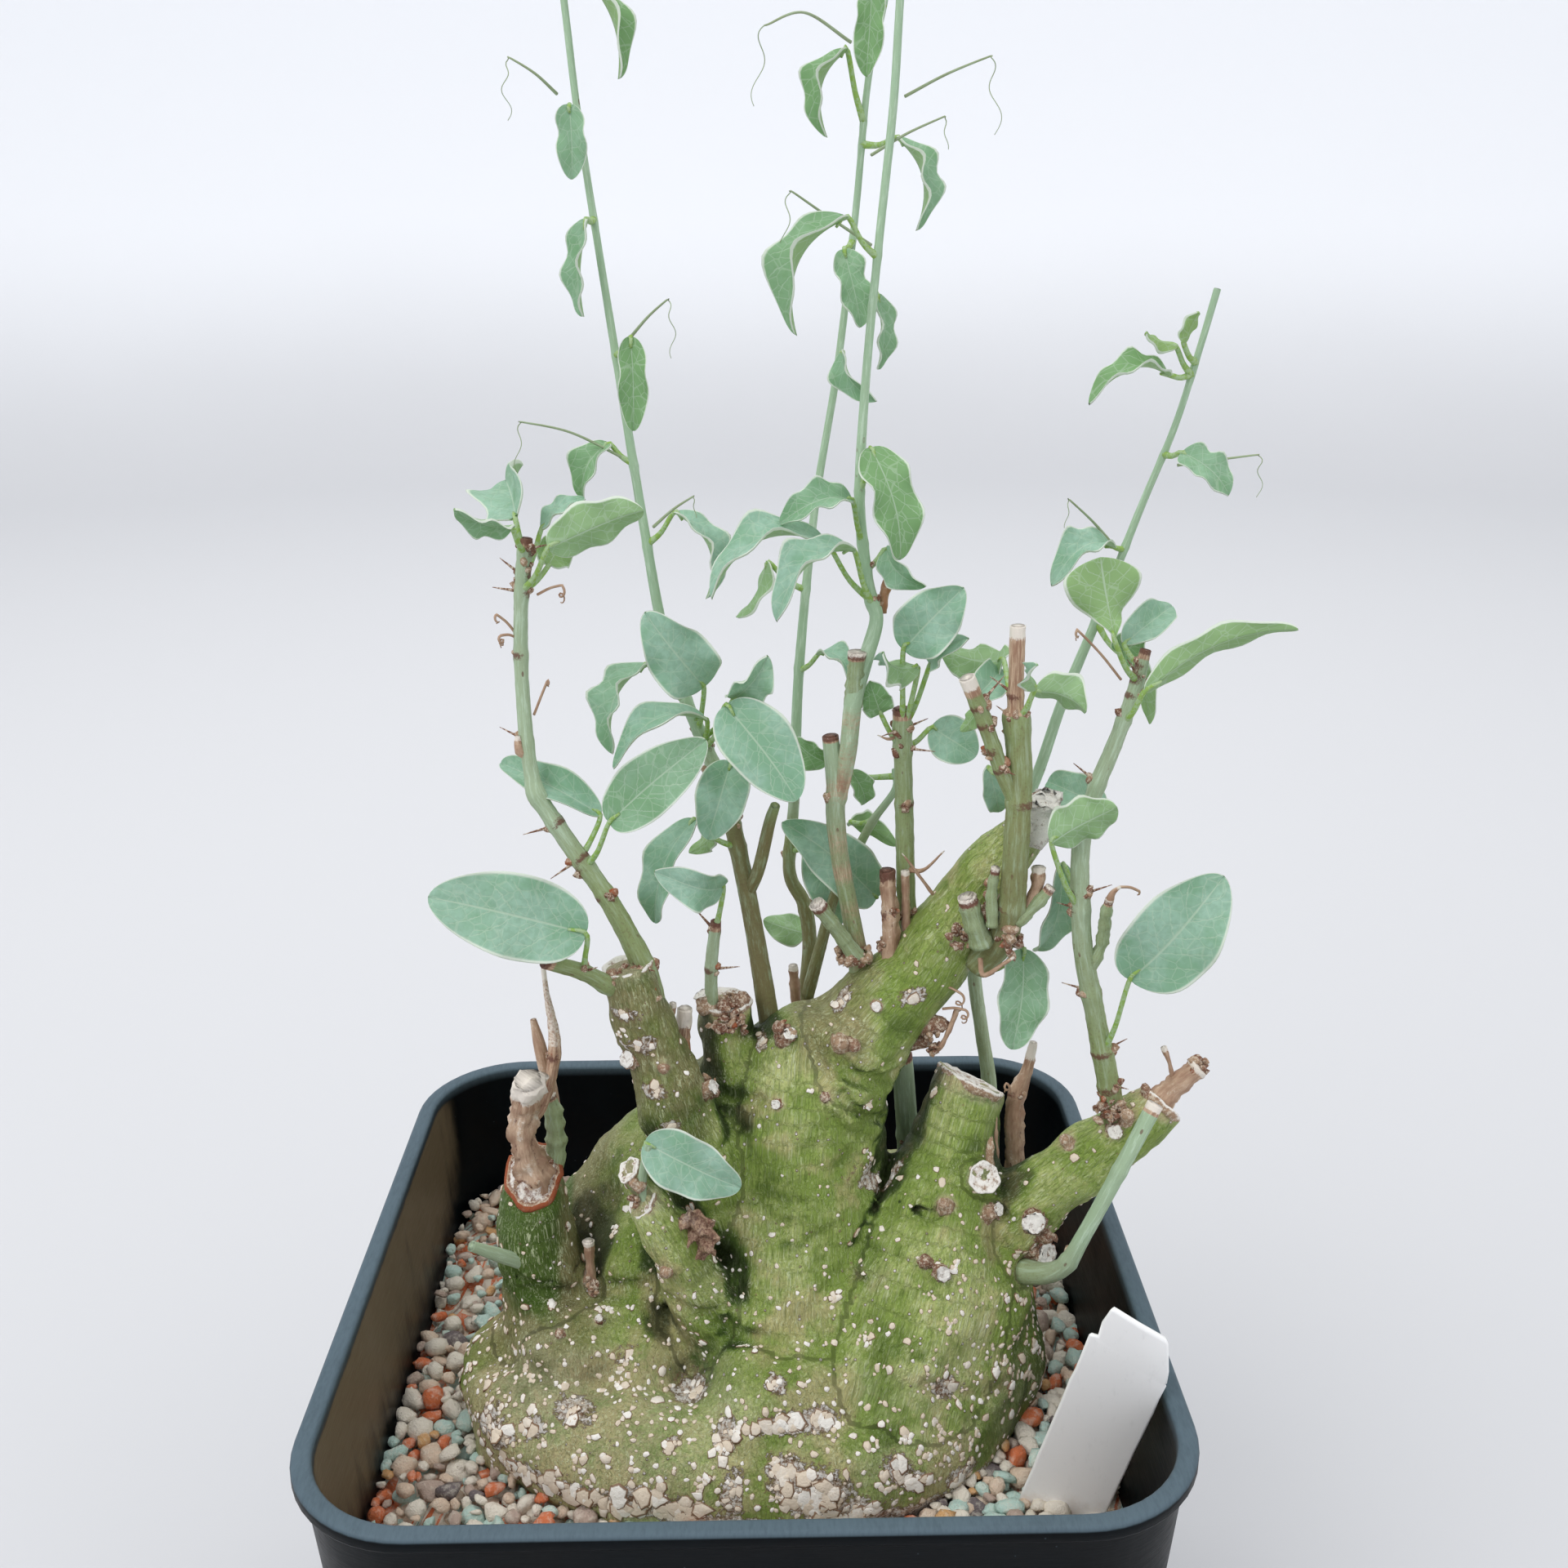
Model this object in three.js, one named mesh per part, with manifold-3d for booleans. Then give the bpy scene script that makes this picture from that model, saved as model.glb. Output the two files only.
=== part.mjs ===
// A potted caudiciform climber (Adenia spinosa): a swollen green caudex with cut branches, slender
// vines with leaves, a gravel top dressing over soil, a square black pot and a plain white plant label.
// Units are millimetres and +Z is up. The origin is the middle of the pot's underside, the front is -Y.
import * as THREE from "three";
import Module from "manifold-3d";
import { mergeVertices } from "three/addons/utils/BufferGeometryUtils.js";

const wasm = await Module();
wasm.setup();

// Driving dimensions
const POT_RIM = 150; // outside width over the rim
const POT_HEIGHT = 130;
const POT_CORNER = 22.5; // outside corner radius at the rim
const RIM_SKIRT = 3; // height of the turned-over rim
const RIM_TOP = 3.5; // width of the rim seen from above
const WALL_TAPER = 0.082; // inward lean of the wall per millimetre of depth
const WALL = 2;
const DRAIN_RADIUS = 4;
const DRAIN_RING = 42; // distance of the drain holes from the middle
const GAP = 0.35; // clearance round a piece that stands in another
const SOIL_TOP = 89.7;
const GRAVEL_BOTTOM = 90;
const GRAVEL_TOP = 101;
const STONE_PITCH = 6.4; // the gravel is drawn a little larger than life
const STONE_RISE = 2.2;
const BODY_CELL = 6.3; // lattice step of the caudex surface
const SLIM = 6.2; // a limb thinner than this radius is drawn as a plain round stem
const WART_COUNT = 10; // only the largest corky warts are raised here
const ROOT_TIP = 62; // height of the lowest point of the tap root
const BLADE = 0.8; // leaf thickness
const PETIOLE = 0.75; // leaf stalk radius
const LABEL_WIDTH = 15;
const LABEL_LENGTH = 76;
const LABEL_THICKNESS = 0.8;

// Swellings of the caudex: centre, radii, turn about Z in degrees, blend width
const SWELLINGS = [
  [[-30, -7, 114], [18, 15, 14], 20, 5],
  [[-33, -17, 117], [12, 8, 9], 15, 5],
  [[6, -24, 112], [15, 13, 15], 0, 4],
  [[8, -14, 124], [10, 9, 9], 0, 4],
  [[42, -4, 114], [17, 20, 21], 0, 5],
  [[-24, 20, 112], [24, 20, 20], 0, 6],
  [[4, 26, 112], [26, 20, 22], 0, 6],
  [[30, 20, 112], [24, 22, 22], 0, 6],
  [[1, 2, 108], [32, 24, 22], 0, 6],
  [[-21, -5, 126], [9, 9, 13], 0, 3],
  [[47, -9, 124], [10, 10, 12], 0, 4],
];

// Limbs of the caudex: route as x, y, z, radius; blend width; direction of the cut face, if it is cut
const LIMBS = [
  // low roll round the front
  [[[-45, -6, 106, 11], [-41, -18, 105, 12], [-29, -26, 104, 12.5], [-12, -30, 103, 13], [6, -31, 103, 13.5],
    [22, -29, 104, 13.5], [35, -20, 105, 13.5], [44, -8, 107, 13]], 5, null],
  // trunk
  [[[8, -12, 108, 19], [9, -4, 128, 17.8], [10, 2, 142, 16.8], [11, 5, 155, 15.8], [12, 6, 165, 13]], 5, null],
  // right stub, sawn off on the slant
  [[[28, -18, 112, 16], [34, -11, 124, 15.5], [38, -4, 136, 12.5], [40, 3, 147, 9.6], [44, 6, 162, 6.6]], 4,
    [0.45, -0.1, 0.9]],
  // slope at the back left
  [[[-6, 6, 158, 9], [-13, 9, 146, 12], [-21, 12, 133, 14], [-28, 14, 118, 17]], 5, null],
  // left branch
  [[[-6, -2, 138, 9.5], [-9, -5, 151, 8.2], [-14, -7.5, 168, 6.4], [-18.5, -8, 184, 5.1], [-21, -8, 194, 4.4]], 2.5,
    [-0.15, 0, 1]],
  // crown stub
  [[[-1, 4, 155, 9], [-3, 5, 168, 5.8], [-3.7, 5, 180.5, 4.8]], 3, [0, 0, 1]],
  // thick branch
  [[[11, 6, 156, 13.5], [16, 5, 166, 12], [23, 5, 175, 9.6], [33.7, 5, 188, 7.4], [43.9, 5, 204.3, 5.7],
    [54.2, 5, 218, 4.2]], 3.5, [0.6, 0, 0.8]],
  // right branch
  [[[42, -4, 122, 11], [48, -5, 133, 8.4], [56, -5, 142.5, 7], [66, -5, 152, 6], [78, -5, 163, 4.3]], 3,
    [0.9, 0, 0.4]],
  // left stub
  [[[-37, -8, 118, 10], [-39, -8, 130, 8.2], [-39.9, -8, 142, 7.2], [-39.9, -8, 151, 4.7]], 2, [0, 0, 1]],
  // two small stubs in front
  [[[-5, -12, 120, 9], [-8, -16, 130, 6.8], [-11.5, -18.5, 137.5, 5], [-14.7, -20, 146.2, 3.9],
    [-18.7, -20, 153, 2.9]], 2.5, [-0.6, -0.3, 0.7]],
  [[[-12, -16, 138, 4], [-15.5, -18, 150, 2.9], [-21, -19, 159, 2.3]], 1.5, [-0.6, -0.3, 0.7]],
];

// Leafy stems: routes as x, y, z, radius; the first route stands in the caudex, the others grow from it.
// A leaf is: start of its stalk, base of the blade, tip, width, turn about its own axis in degrees,
// fold of the two halves in degrees, arch of the midrib as a share of the length.
const STEMS = {
  stem_left: {
    colour: "oldStem",
    routes: [
      [[-17, -7.5, 176, 2.6], [-17, -6.5, 188, 2.5], [-24, -6, 205, 2.3], [-30, -4, 216, 2.2], [-35, -2, 224, 2.2],
        [-37, 0, 232, 1.9], [-38, 2, 242, 1.7], [-38, 3, 255, 1.7], [-36, 4, 270, 1.5]],
      [[-17, -7, 186, 1.8], [-21, -9, 189, 1.8], [-25, -12, 193, 1.6], [-28, -14, 196, 1.4], [-34, -18, 200, 1.3]],
    ],
    leaves: [
      [[-37, 4, 267], [-38, 4, 273], [-43, 24, 277], 14, 20, 35, 0],
      [[-37, 2, 267], [-38, -2, 272], [-45, -12, 276], 5, 60, 25, 0.05],
      [[-38, 3, 260], [-31, -2, 269], [-16, 0, 275], 9, 150, 20, 0.1],
      [[-38, 3, 261], [-33, 8, 264], [-31, 14, 269], 7, 170, 20, 0.1],
      [[-37, 3, 263], [-34, 10, 270], [-27, 12, 275], 4, 40, 20, 0.15],
      [[-28, -4, 213], [-26, -1, 221], [-44, 8, 228], 8, -25, 35, 0.12],
      [[-27, -5, 212], [-22, -10, 223], [-6, -14, 238], 11, 5, 12, 0.02],
      [[-28, -14, 196], [-28, -17, 205], [-52, -22, 214], 15, 0, 10, 0],
    ],
  },
  vine_left: {
    colour: "greenStem",
    routes: [
      [[6, 10, 162, 2.7], [5, 10, 171, 2.7], [2, 11, 192, 2.3], [-1, 12, 209, 2], [-3, 12, 218, 1.7],
        [-6, 13, 227, 1.5], [-10, 14, 237, 1.4], [-14, 15, 250, 1.2], [-17, 17, 269, 1.1], [-20, 18, 291, 1],
        [-23, 20, 313, 0.9], [-26, 22, 336, 0.8], [-28, 24, 357, 0.8], [-31, 27, 385, 0.7], [-36, 30, 410, 0.6]],
      [[1, 11.5, 200, 1.4], [3, 9, 206, 1.4], [5, 6, 216, 1.3], [6, 4, 220, 1]],
    ],
    leaves: [
      [[-28, 24, 356], [-23, 22, 357], [-18, 20, 343], 6, 60, 40, 0.12],
      [[-26, 22, 337], [-27, 17, 338], [-27, 16, 327], 6, 0, 18, 0.02],
      [[-24, 20, 319], [-25, 16, 320], [-27, 16, 305], 6, -50, 30, 0.05],
      [[-21, 19, 299], [-18, 14, 301], [-18, 13, 286], 6, 5, 15, 0.03],
      [[-18, 18, 280], [-23, 18, 283], [-28, 16, 274], 7, -30, 30, 0.25],
      [[-17, 17, 267], [-11, 15, 271], [-5, 12, 257], 7, 50, 35, 0.25],
      [[-8, 13, 232], [-7, 8, 242], [-16, 2, 256], 12, 0, 15, 0.12],
      [[-10, 14, 238], [-17, 12, 244], [-24, 6, 230], 9, -50, 35, 0.25],
      [[-7, 13, 228], [-7, 8, 235], [-23, 2, 229], 7, -50, 30, 0.28],
      [[-7, 13, 230], [-1, 6, 240], [5, 2, 248], 8, -30, 30, 0.15],
      [[-6, 13, 228], [-2, 2, 239], [10, -6, 225], 13, 5, 10, 0.03],
      [[-6, 12, 226], [-2, 4, 228], [-6, -2, 216], 10, 5, 18, 0.04],
      [[-2, 12, 214], [-6, 16, 210], [-10, 20, 205], 4, 150, 20, 0.1],
      [[-1, 12, 210], [-9, 6, 216], [-17, 4, 197], 8, -30, 30, 0.25],
      [[-30, 26, 376], [-36, 25, 379], [-40, 24, 368], 6, -40, 30, 0.2],
      [[-33, 28, 396], [-29, 27, 400], [-24, 26, 391], 5, 40, 30, 0.2],
      [[-36, 30, 409], [-38, 29, 413], [-42, 28, 410], 3, -30, 30, 0.2],
    ],
  },
  vine_back: {
    colour: "greenStem",
    routes: [
      [[12, 15, 150, 1.9], [12, 20, 157, 1.9], [12, 24, 168, 1.8], [13, 25, 182, 1.6], [12, 26, 191, 1.6],
        [9, 27, 198, 1.5], [10, 28, 213, 1.3], [11, 28, 239, 1], [14, 28, 270, 0.9], [18, 28, 295, 0.9],
        [21, 28, 321, 0.8], [23, 28, 343, 0.8], [26, 28, 358, 0.8], [31, 28, 395, 0.7], [34, 27, 430, 0.7],
        [33, 25, 456, 0.6]],
      [[12.5, 24, 172, 1.4], [15, 21, 184, 1.3], [18, 19, 197, 1.1], [22, 18, 206, 1.1], [25, 18, 212, 1],
        [29, 18, 218, 0.9], [29, 18, 222, 0.8]],
    ],
    leaves: [
      [[23, 28, 337], [19, 26, 347], [15, 24, 334], 7, -55, 40, 0.22],
      [[25, 28, 355], [23, 22, 356], [22, 20, 343], 6, 0, 18, 0.02],
      [[22, 28, 331], [28, 24, 333], [32, 20, 319], 7, 50, 35, 0.2],
      [[21, 28, 316], [19, 24, 315], [22, 20, 303], 7, 10, 15, 0.04],
      [[18, 28, 296], [19, 25, 298], [24, 20, 290], 6, -50, 40, 0.2],
      [[12, 28, 253], [5, 26, 260], [0, 24, 250], 5, 120, 20, 0.1],
      [[11, 28, 240], [15, 24, 243], [21, 18, 239], 6, 40, 25, 0.3],
      [[29, 18, 221], [16, 20, 223], [10, 22, 227], 6, 20, 25, 0.2],
      [[20, 19, 202], [25, 17, 197], [8, 14, 213], 12, 0, 25, 0.15],
      [[10, 27, 203], [14, 24, 205], [19, 22, 188], 9, 0, 15, 0.1],
      [[12, 26, 189], [12, 30, 183], [4, 34, 184], 7, 170, 15, 0.1],
      [[25, 18, 212], [21, 22, 210], [30, 26, 204], 5, 150, 20, 0.25],
      [[28, 28, 372], [34, 26, 376], [39, 24, 365], 7, 40, 30, 0.2],
      [[30, 28, 388], [25, 26, 393], [20, 24, 382], 7, -40, 30, 0.2],
      [[32, 28, 408], [37, 26, 412], [41, 24, 402], 6, 40, 30, 0.2],
      [[34, 27, 428], [30, 26, 433], [26, 25, 424], 5, -40, 30, 0.2],
      [[33, 25, 446], [37, 24, 450], [40, 23, 444], 4, 40, 30, 0.2],
      [[33, 25, 455], [31, 24, 459], [28, 23, 460], 3, -20, 30, 0.1],
    ],
  },
  vine_front: {
    colour: "greenStem",
    routes: [
      [[23, 8, 178, 2.4], [22, 7, 186, 2.3], [20, 6, 198, 2.1], [18, 5, 209, 2], [17, 4, 218, 1.9],
        [17, 4, 224, 1.9], [16, 4, 233, 1.8]],
      [[17, 4, 219, 1.4], [19, 3, 230, 1.6], [20, 3, 240, 1.7], [22, 4, 247, 1.6], [24, 5, 254, 1.4],
        [23, 6, 258, 1.3], [22, 7, 264, 1.1], [21, 8, 276, 1], [22, 9, 296, 0.8], [24, 10, 318, 0.8],
        [26, 11, 338, 0.8], [27, 12, 356, 0.8], [29, 14, 384, 0.7], [28, 16, 412, 0.7], [25, 17, 434, 0.6]],
    ],
    leaves: [
      [[23, 10, 316], [18, 7, 320], [9, 4, 303], 10, -50, 40, 0.25],
      [[23, 9.5, 307], [24, 13, 308], [25, 14, 296], 5, 50, 25, 0.1],
      [[21, 7, 267], [19, 5, 275], [7, 2, 272], 7, -30, 30, 0.25],
      [[21, 8, 276], [23, 6, 283], [28, 0, 266], 10, 10, 15, 0.12],
      [[22, 7, 263], [26, 8, 266], [32, 4, 260], 6, -40, 30, 0.25],
      [[23, 6, 257], [14, 4, 268], [-5, -2, 261], 9, -45, 30, 0.25],
      [[23, 5, 257], [19, 0, 267], [6, -8, 258], 9, -45, 35, 0.25],
      [[18, 5, 222], [20, 8, 225], [23, 10, 218], 5, 20, 25, 0.15],
      [[28, 13, 370], [33, 11, 373], [38, 8, 361], 7, 40, 30, 0.2],
      [[29, 14, 388], [24, 12, 393], [19, 9, 383], 6, -40, 30, 0.2],
      [[28, 16, 408], [33, 15, 411], [37, 13, 402], 5, 40, 30, 0.2],
      [[26, 17, 426], [22, 16, 430], [19, 15, 424], 4, -40, 30, 0.2],
      [[25, 17, 433], [26, 16, 438], [29, 15, 440], 3, 20, 30, 0.1],
    ],
  },
  stem_cut: {
    colour: "oldStem",
    routes: [[[32, 7, 184, 2], [31, 8, 193, 1.9], [30, 8, 215, 1.8], [29, 7, 237, 1.8]]],
    leaves: [
      [[29, 7, 235], [29, 2, 250], [38, -2, 261], 11, 0, 15, 0.05],
      [[29, 7, 230], [25, 6, 237], [23, 4, 243], 6, 0, 15, 0.1],
      [[29, 7, 234], [31, 3, 246], [24, -4, 250], 7, 140, 30, 0.15],
      [[29, 7, 233], [34, 6, 246], [39, 0, 252], 6, 20, 30, 0.2],
      [[30, 8, 228], [35, 9, 233], [43, 8, 228], 9, 0, 12, 0.05],
    ],
  },
  stem_thick: {
    colour: "oldStem",
    routes: [
      [[42, 2, 194, 2.4], [45, -3, 200, 2.5], [48, -8, 208, 2.5], [48, -9, 217, 2.4], [48, -9, 230, 2.3],
        [47, -9, 243, 2.1], [47, -9, 256, 1.6]],
      [[48, -9, 224, 1.6], [44, -10, 233, 1.5], [41, -11, 241, 1.5], [38, -12, 248, 1.5]],
    ],
    leaves: [
      [[47, -8, 241], [46, 4, 247], [37, 14, 246], 10, 160, 20, 0.2],
      [[40, -11, 243], [41, -2, 242], [47, 6, 245], 7, 0, 20, 0.1],
      [[41, -11, 240], [41, -6, 241], [39, -2, 236], 4, 150, 20, 0.1],
      [[48, -9, 238], [50, -10, 245], [58, -14, 243], 8, 140, 35, 0.3],
      [[48, -9, 240], [49, -14, 247], [47, -22, 253], 4, 140, 25, 0.1],
      [[44, -10, 232], [44, 0, 228], [47, 4, 218], 5, 0, 20, 0.1],
    ],
  },
  stem_right: {
    colour: "oldStem",
    routes: [
      [[70, -5, 154, 2.3], [69, -6, 162, 2.3], [67, -7, 171, 2.3], [64, -7, 184, 2.1], [61, -7, 198, 2.1],
        [60, -6, 215, 1.9], [62, -5, 225, 1.6], [65, -4, 233, 1.5], [68, -3, 242, 1.3], [70, -2, 250, 1]],
    ],
    leaves: [
      [[60.5, -6, 219], [66, 6, 219], [57, 14, 221], 8, 0, 20, 0.15],
      [[60.5, -7, 204], [54, -12, 219], [64, -14, 226], 9, 160, 20, 0.1],
      [[60.5, -7, 207], [58, 0, 209], [55, 4, 190], 7, 20, 25, 0.2],
      [[66, -7, 176], [69, -14, 194], [82, -18, 214], 16, 0, 12, 0.05],
      [[68, -3, 245], [63, -8, 254], [61, -2, 266], 14, 180, 15, 0.12],
      [[66, -4, 237], [70, -8, 245], [92, -12, 257], 6, 150, 25, 0.12],
      [[68, -3, 242], [70, 2, 247], [74, 6, 235], 4, 150, 20, 0.1],
      [[69, -2.5, 247], [68, 4, 250], [78, 12, 255], 7, 20, 25, 0.1],
    ],
  },
  vine_right: {
    colour: "greenStem",
    routes: [
      [[45, 19, 121, 1.9], [48, 21, 136, 1.9], [50, 22, 150, 1.9], [48, 22, 164, 1.8], [46, 22, 177, 1.7],
        [46, 22, 188, 1.6], [50, 21, 203, 1.6], [56, 20, 219, 1.5], [60, 18, 235, 1.4], [65, 16, 251, 1.3],
        [71, 14, 271, 1], [76, 13, 286, 0.9], [79, 12, 299, 0.8], [81, 11, 309, 0.8]],
    ],
    leaves: [
      [[46, 22, 178], [52, 2, 191], [50, -4, 174], 10, 10, 15, 0.08],
      [[69, 15, 264], [66, 13, 265], [55, 8, 260], 8, -40, 30, 0.3],
      [[65, 16, 252], [69, 12, 246], [72, 8, 250], 7, 0, 20, 0.1],
      [[75, 13, 281], [77, 9, 282], [84, 4, 276], 7, 0, 20, 0.2],
      [[78, 12.5, 294], [73, 10, 295], [59, 4, 292], 6, -40, 30, 0.25],
      [[78, 12, 296], [74, 9, 300], [68, 6, 302], 3, 150, 20, 0.1],
      [[78, 12, 297], [75, 7, 301], [76, 4, 306], 3, 150, 20, 0.05],
    ],
  },
  stem_short: {
    colour: "oldStem",
    routes: [[[-4, 4, 172, 1.3], [-6, 2.5, 181, 1.2], [-6, 1, 190, 1.2], [-5, 0, 199, 1]]],
    leaves: [[[-5, 0, 197], [-4, -2, 207], [-15, -8, 212], 8, 20, 20, 0.25]],
  },
  leaf_front: {
    colour: "greenStem",
    routes: [[[-16, -20, 148, 0.9], [-18, -20, 152.5, 0.9], [-18.5, -20.5, 158, 0.8], [-17, -22, 166, 0.8]]],
    leaves: [[[-17, -22, 165], [-17, -22, 166], [-1, -26, 159], 11, 0, 8, 0.02]],
  },
  shoot_right: {
    colour: "greenStem",
    routes: [
      [[46, -13, 131, 1.9], [52, -17, 134.5, 1.9], [58, -20, 138, 1.6], [61, -20, 145, 1.6], [68, -19, 158, 1.6],
        [74, -16, 169, 1.6]],
    ],
    leaves: [],
  },
  shoots_left_stub: {
    colour: "deadWood",
    routes: [
      [[-39, -7.5, 142, 2.3], [-39, -8, 150, 2.3], [-41, -10, 159, 2.1], [-41, -10, 164, 2.1], [-39, -11, 173, 2.4]],
      [[-39, -8, 149, 1.4], [-36, -4, 155, 1.4], [-37, -3, 165, 1.4], [-38, -3, 175, 1.4], [-39, -3, 181, 0.9]],
      [[-40.5, -9.5, 162, 1.3], [-37, -7, 167, 1.1], [-35, -5, 177, 1.1], [-36, -5, 188, 0.7], [-36, -5, 196, 0.6]],
    ],
    leaves: [],
  },
  stub_brown: {
    colour: "deadWood",
    routes: [[[-12.5, -3, 160, 1.4], [-12, -1.5, 170, 1.4], [-11, -1.5, 182, 1.4]]],
    leaves: [],
  },
  stub_grey: {
    colour: "deadWood",
    routes: [[[27, 5, 184, 1.6], [27.5, 4, 194, 1.6], [26.5, 4, 207, 1.4]]],
    leaves: [],
  },
  twig_right: {
    colour: "deadWood",
    routes: [[[49, 4, 125, 1.8], [53, 6, 138, 1.8], [53, 8, 156, 1.8], [55, 8, 163, 1.1], [56, 8, 169, 0.8]]],
    leaves: [],
  },
  shoot_behind: {
    colour: "greenStem",
    routes: [[[33, 17, 128, 2.3], [33, 16, 140, 2.3], [32, 14, 152, 2.2], [31, 12.5, 164, 2]]],
    leaves: [],
  },
  spur_left: {
    colour: "greenStem",
    routes: [[[-37, -11, 131, 1.5], [-42, -14, 136, 1.4], [-46, -17, 140, 1.3], [-50, -20, 144, 1]]],
    leaves: [],
  },
};

// Surface colours: hex colour, roughness
const MATERIALS = {
  plastic: [0x15181b, 0.45],
  soil: [0x4a3b2c, 0.95],
  gravel: [0xb79a82, 0.85],
  bark: [0x74863f, 0.6],
  oldStem: [0x7d8f64, 0.65],
  greenStem: [0x9fb58f, 0.55],
  deadWood: [0xa8907a, 0.85],
  label: [0xf1f0ec, 0.5],
};

// Seeded random numbers between 0 and 1
function randomFrom(seed) {
  let state = seed;
  return () => {
    state = (state + 0x6d2b79f5) | 0;
    let t = Math.imul(state ^ (state >>> 15), 1 | state);
    t = (t + Math.imul(t ^ (t >>> 7), 61 | t)) ^ t;
    return ((t ^ (t >>> 14)) >>> 0) / 4294967296;
  };
}

// Solids

// A three.js geometry as a solid for joining and cutting
function solid(geometry) {
  const bare = geometry.clone();
  bare.deleteAttribute("normal");
  bare.deleteAttribute("uv");
  const merged = mergeVertices(bare, 1e-4);
  return new wasm.Manifold(
    new wasm.Mesh({
      numProp: 3,
      vertProperties: merged.attributes.position.array,
      triVerts: new Uint32Array(merged.index.array),
    }),
  );
}

// A solid back as a three.js geometry
function geometryOf(body) {
  const mesh = body.getMesh();
  const geometry = new THREE.BufferGeometry();
  geometry.setAttribute("position", new THREE.BufferAttribute(mesh.vertProperties, 3));
  geometry.setIndex(new THREE.BufferAttribute(mesh.triVerts, 1));
  return geometry;
}

const join = (solids) => solids.reduce((sum, next) => sum.add(next));
const cut = (body, solids) => solids.reduce((rest, next) => rest.subtract(next), body);

// A closed skin over rings of points: the rings run anticlockwise seen from ahead, and flat caps close the
// ends. Quads from the index "turned" on are split along their other diagonal.
function loft(rings, turned = Infinity) {
  const count = rings[0].length;
  const index = [];
  for (let r = 0; r + 1 < rings.length; r++) {
    for (let i = 0; i < count; i++) {
      const next = (i + 1) % count;
      const low = r * count;
      const high = low + count;
      if (i < turned) index.push(low + i, low + next, high + next, low + i, high + next, high + i);
      else index.push(low + i, low + next, high + i, low + next, high + next, high + i);
    }
  }
  const last = (rings.length - 1) * count;
  for (let i = 1; i + 1 < count; i++) {
    index.push(0, i + 1, i);
    index.push(last, last + i, last + i + 1);
  }
  return new THREE.BufferGeometry().setFromPoints(rings.flat()).setIndex(index);
}

// A level ring in the form of a square with round corners
function squareRing(half, corner, z, steps = 4) {
  const ring = [];
  for (const [sx, sy, start] of [[1, -1, -90], [1, 1, 0], [-1, 1, 90], [-1, -1, 180]]) {
    for (let i = 0; i <= steps; i++) {
      const turn = THREE.MathUtils.degToRad(start + (90 * i) / steps);
      const x = sx * (half - corner) + corner * Math.cos(turn);
      const y = sy * (half - corner) + corner * Math.sin(turn);
      ring.push(new THREE.Vector3(x, y, z));
    }
  }
  return ring;
}

// A level circle
function roundRing(radius, z, sides, x = 0, y = 0) {
  return Array.from({ length: sides }, (_, i) => {
    const turn = (2 * Math.PI * i) / sides;
    return new THREE.Vector3(x + radius * Math.cos(turn), y + radius * Math.sin(turn), z);
  });
}

// Points and radii along a smooth curve through a route of x, y, z, radius
function smoothRoute(route, steps) {
  const spots = route.map(([x, y, z, r]) => new THREE.Vector4(x, y, z, r));
  const curve = (a, b, c, d, t) =>
    0.5 * (2 * b + (c - a) * t + (2 * a - 5 * b + 4 * c - d) * t * t + (3 * b - a - 3 * c + d) * t * t * t);
  const out = [];
  for (let i = 0; i + 1 < spots.length; i++) {
    const b = spots[i];
    const c = spots[i + 1];
    const a = spots[i - 1] ?? b.clone().multiplyScalar(2).sub(c);
    const d = spots[i + 2] ?? c.clone().multiplyScalar(2).sub(b);
    for (let s = 0; s < steps; s++) {
      const at = (axis) => curve(a[axis], b[axis], c[axis], d[axis], s / steps);
      out.push(new THREE.Vector4(at("x"), at("y"), at("z"), at("w")));
    }
  }
  out.push(spots[spots.length - 1]);
  return out;
}

// A closed round stem along a smooth route; extra widens it and lengthens it at both ends
function stem(route, sides = 5, steps = 1, extra = 0) {
  const spots = smoothRoute(route, steps);
  const centres = spots.map((s) => new THREE.Vector3(s.x, s.y, s.z));
  const last = centres.length - 1;
  if (extra > 0) {
    const tail = centres[0].clone().sub(centres[1]).setLength(extra);
    const head = centres[last].clone().sub(centres[last - 1]).setLength(extra);
    centres[0].add(tail);
    centres[last].add(head);
  }
  let across = null;
  const rings = centres.map((centre, i) => {
    const ahead = centres[Math.min(i + 1, last)].clone().sub(centres[Math.max(i - 1, 0)]).normalize();
    if (across === null) across = new THREE.Vector3(1, 0, 0);
    across.addScaledVector(ahead, -across.dot(ahead)).normalize();
    const up = ahead.clone().cross(across);
    return Array.from({ length: sides }, (_, k) => {
      const turn = (2 * Math.PI * k) / sides;
      const reach = spots[i].w + extra;
      return centre
        .clone()
        .addScaledVector(across, reach * Math.cos(turn))
        .addScaledVector(up, reach * Math.sin(turn));
    });
  });
  return loft(rings);
}

// Leaves

const TOWARDS_LIGHT = new THREE.Vector3(0, -0.94, 0.33); // the side that an unturned blade faces

const BLADE_ROWS = [0.08, 0.34, 0.68, 0.98]; // shares of the length at which a blade has a row of points

// Half width of a blade at a share of its length: broad above the base, drawn out to a point
const bladeHalfWidth = (width, share) => 0.5 * width * Math.sin(Math.PI * share ** 0.72) ** 0.8;

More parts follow.
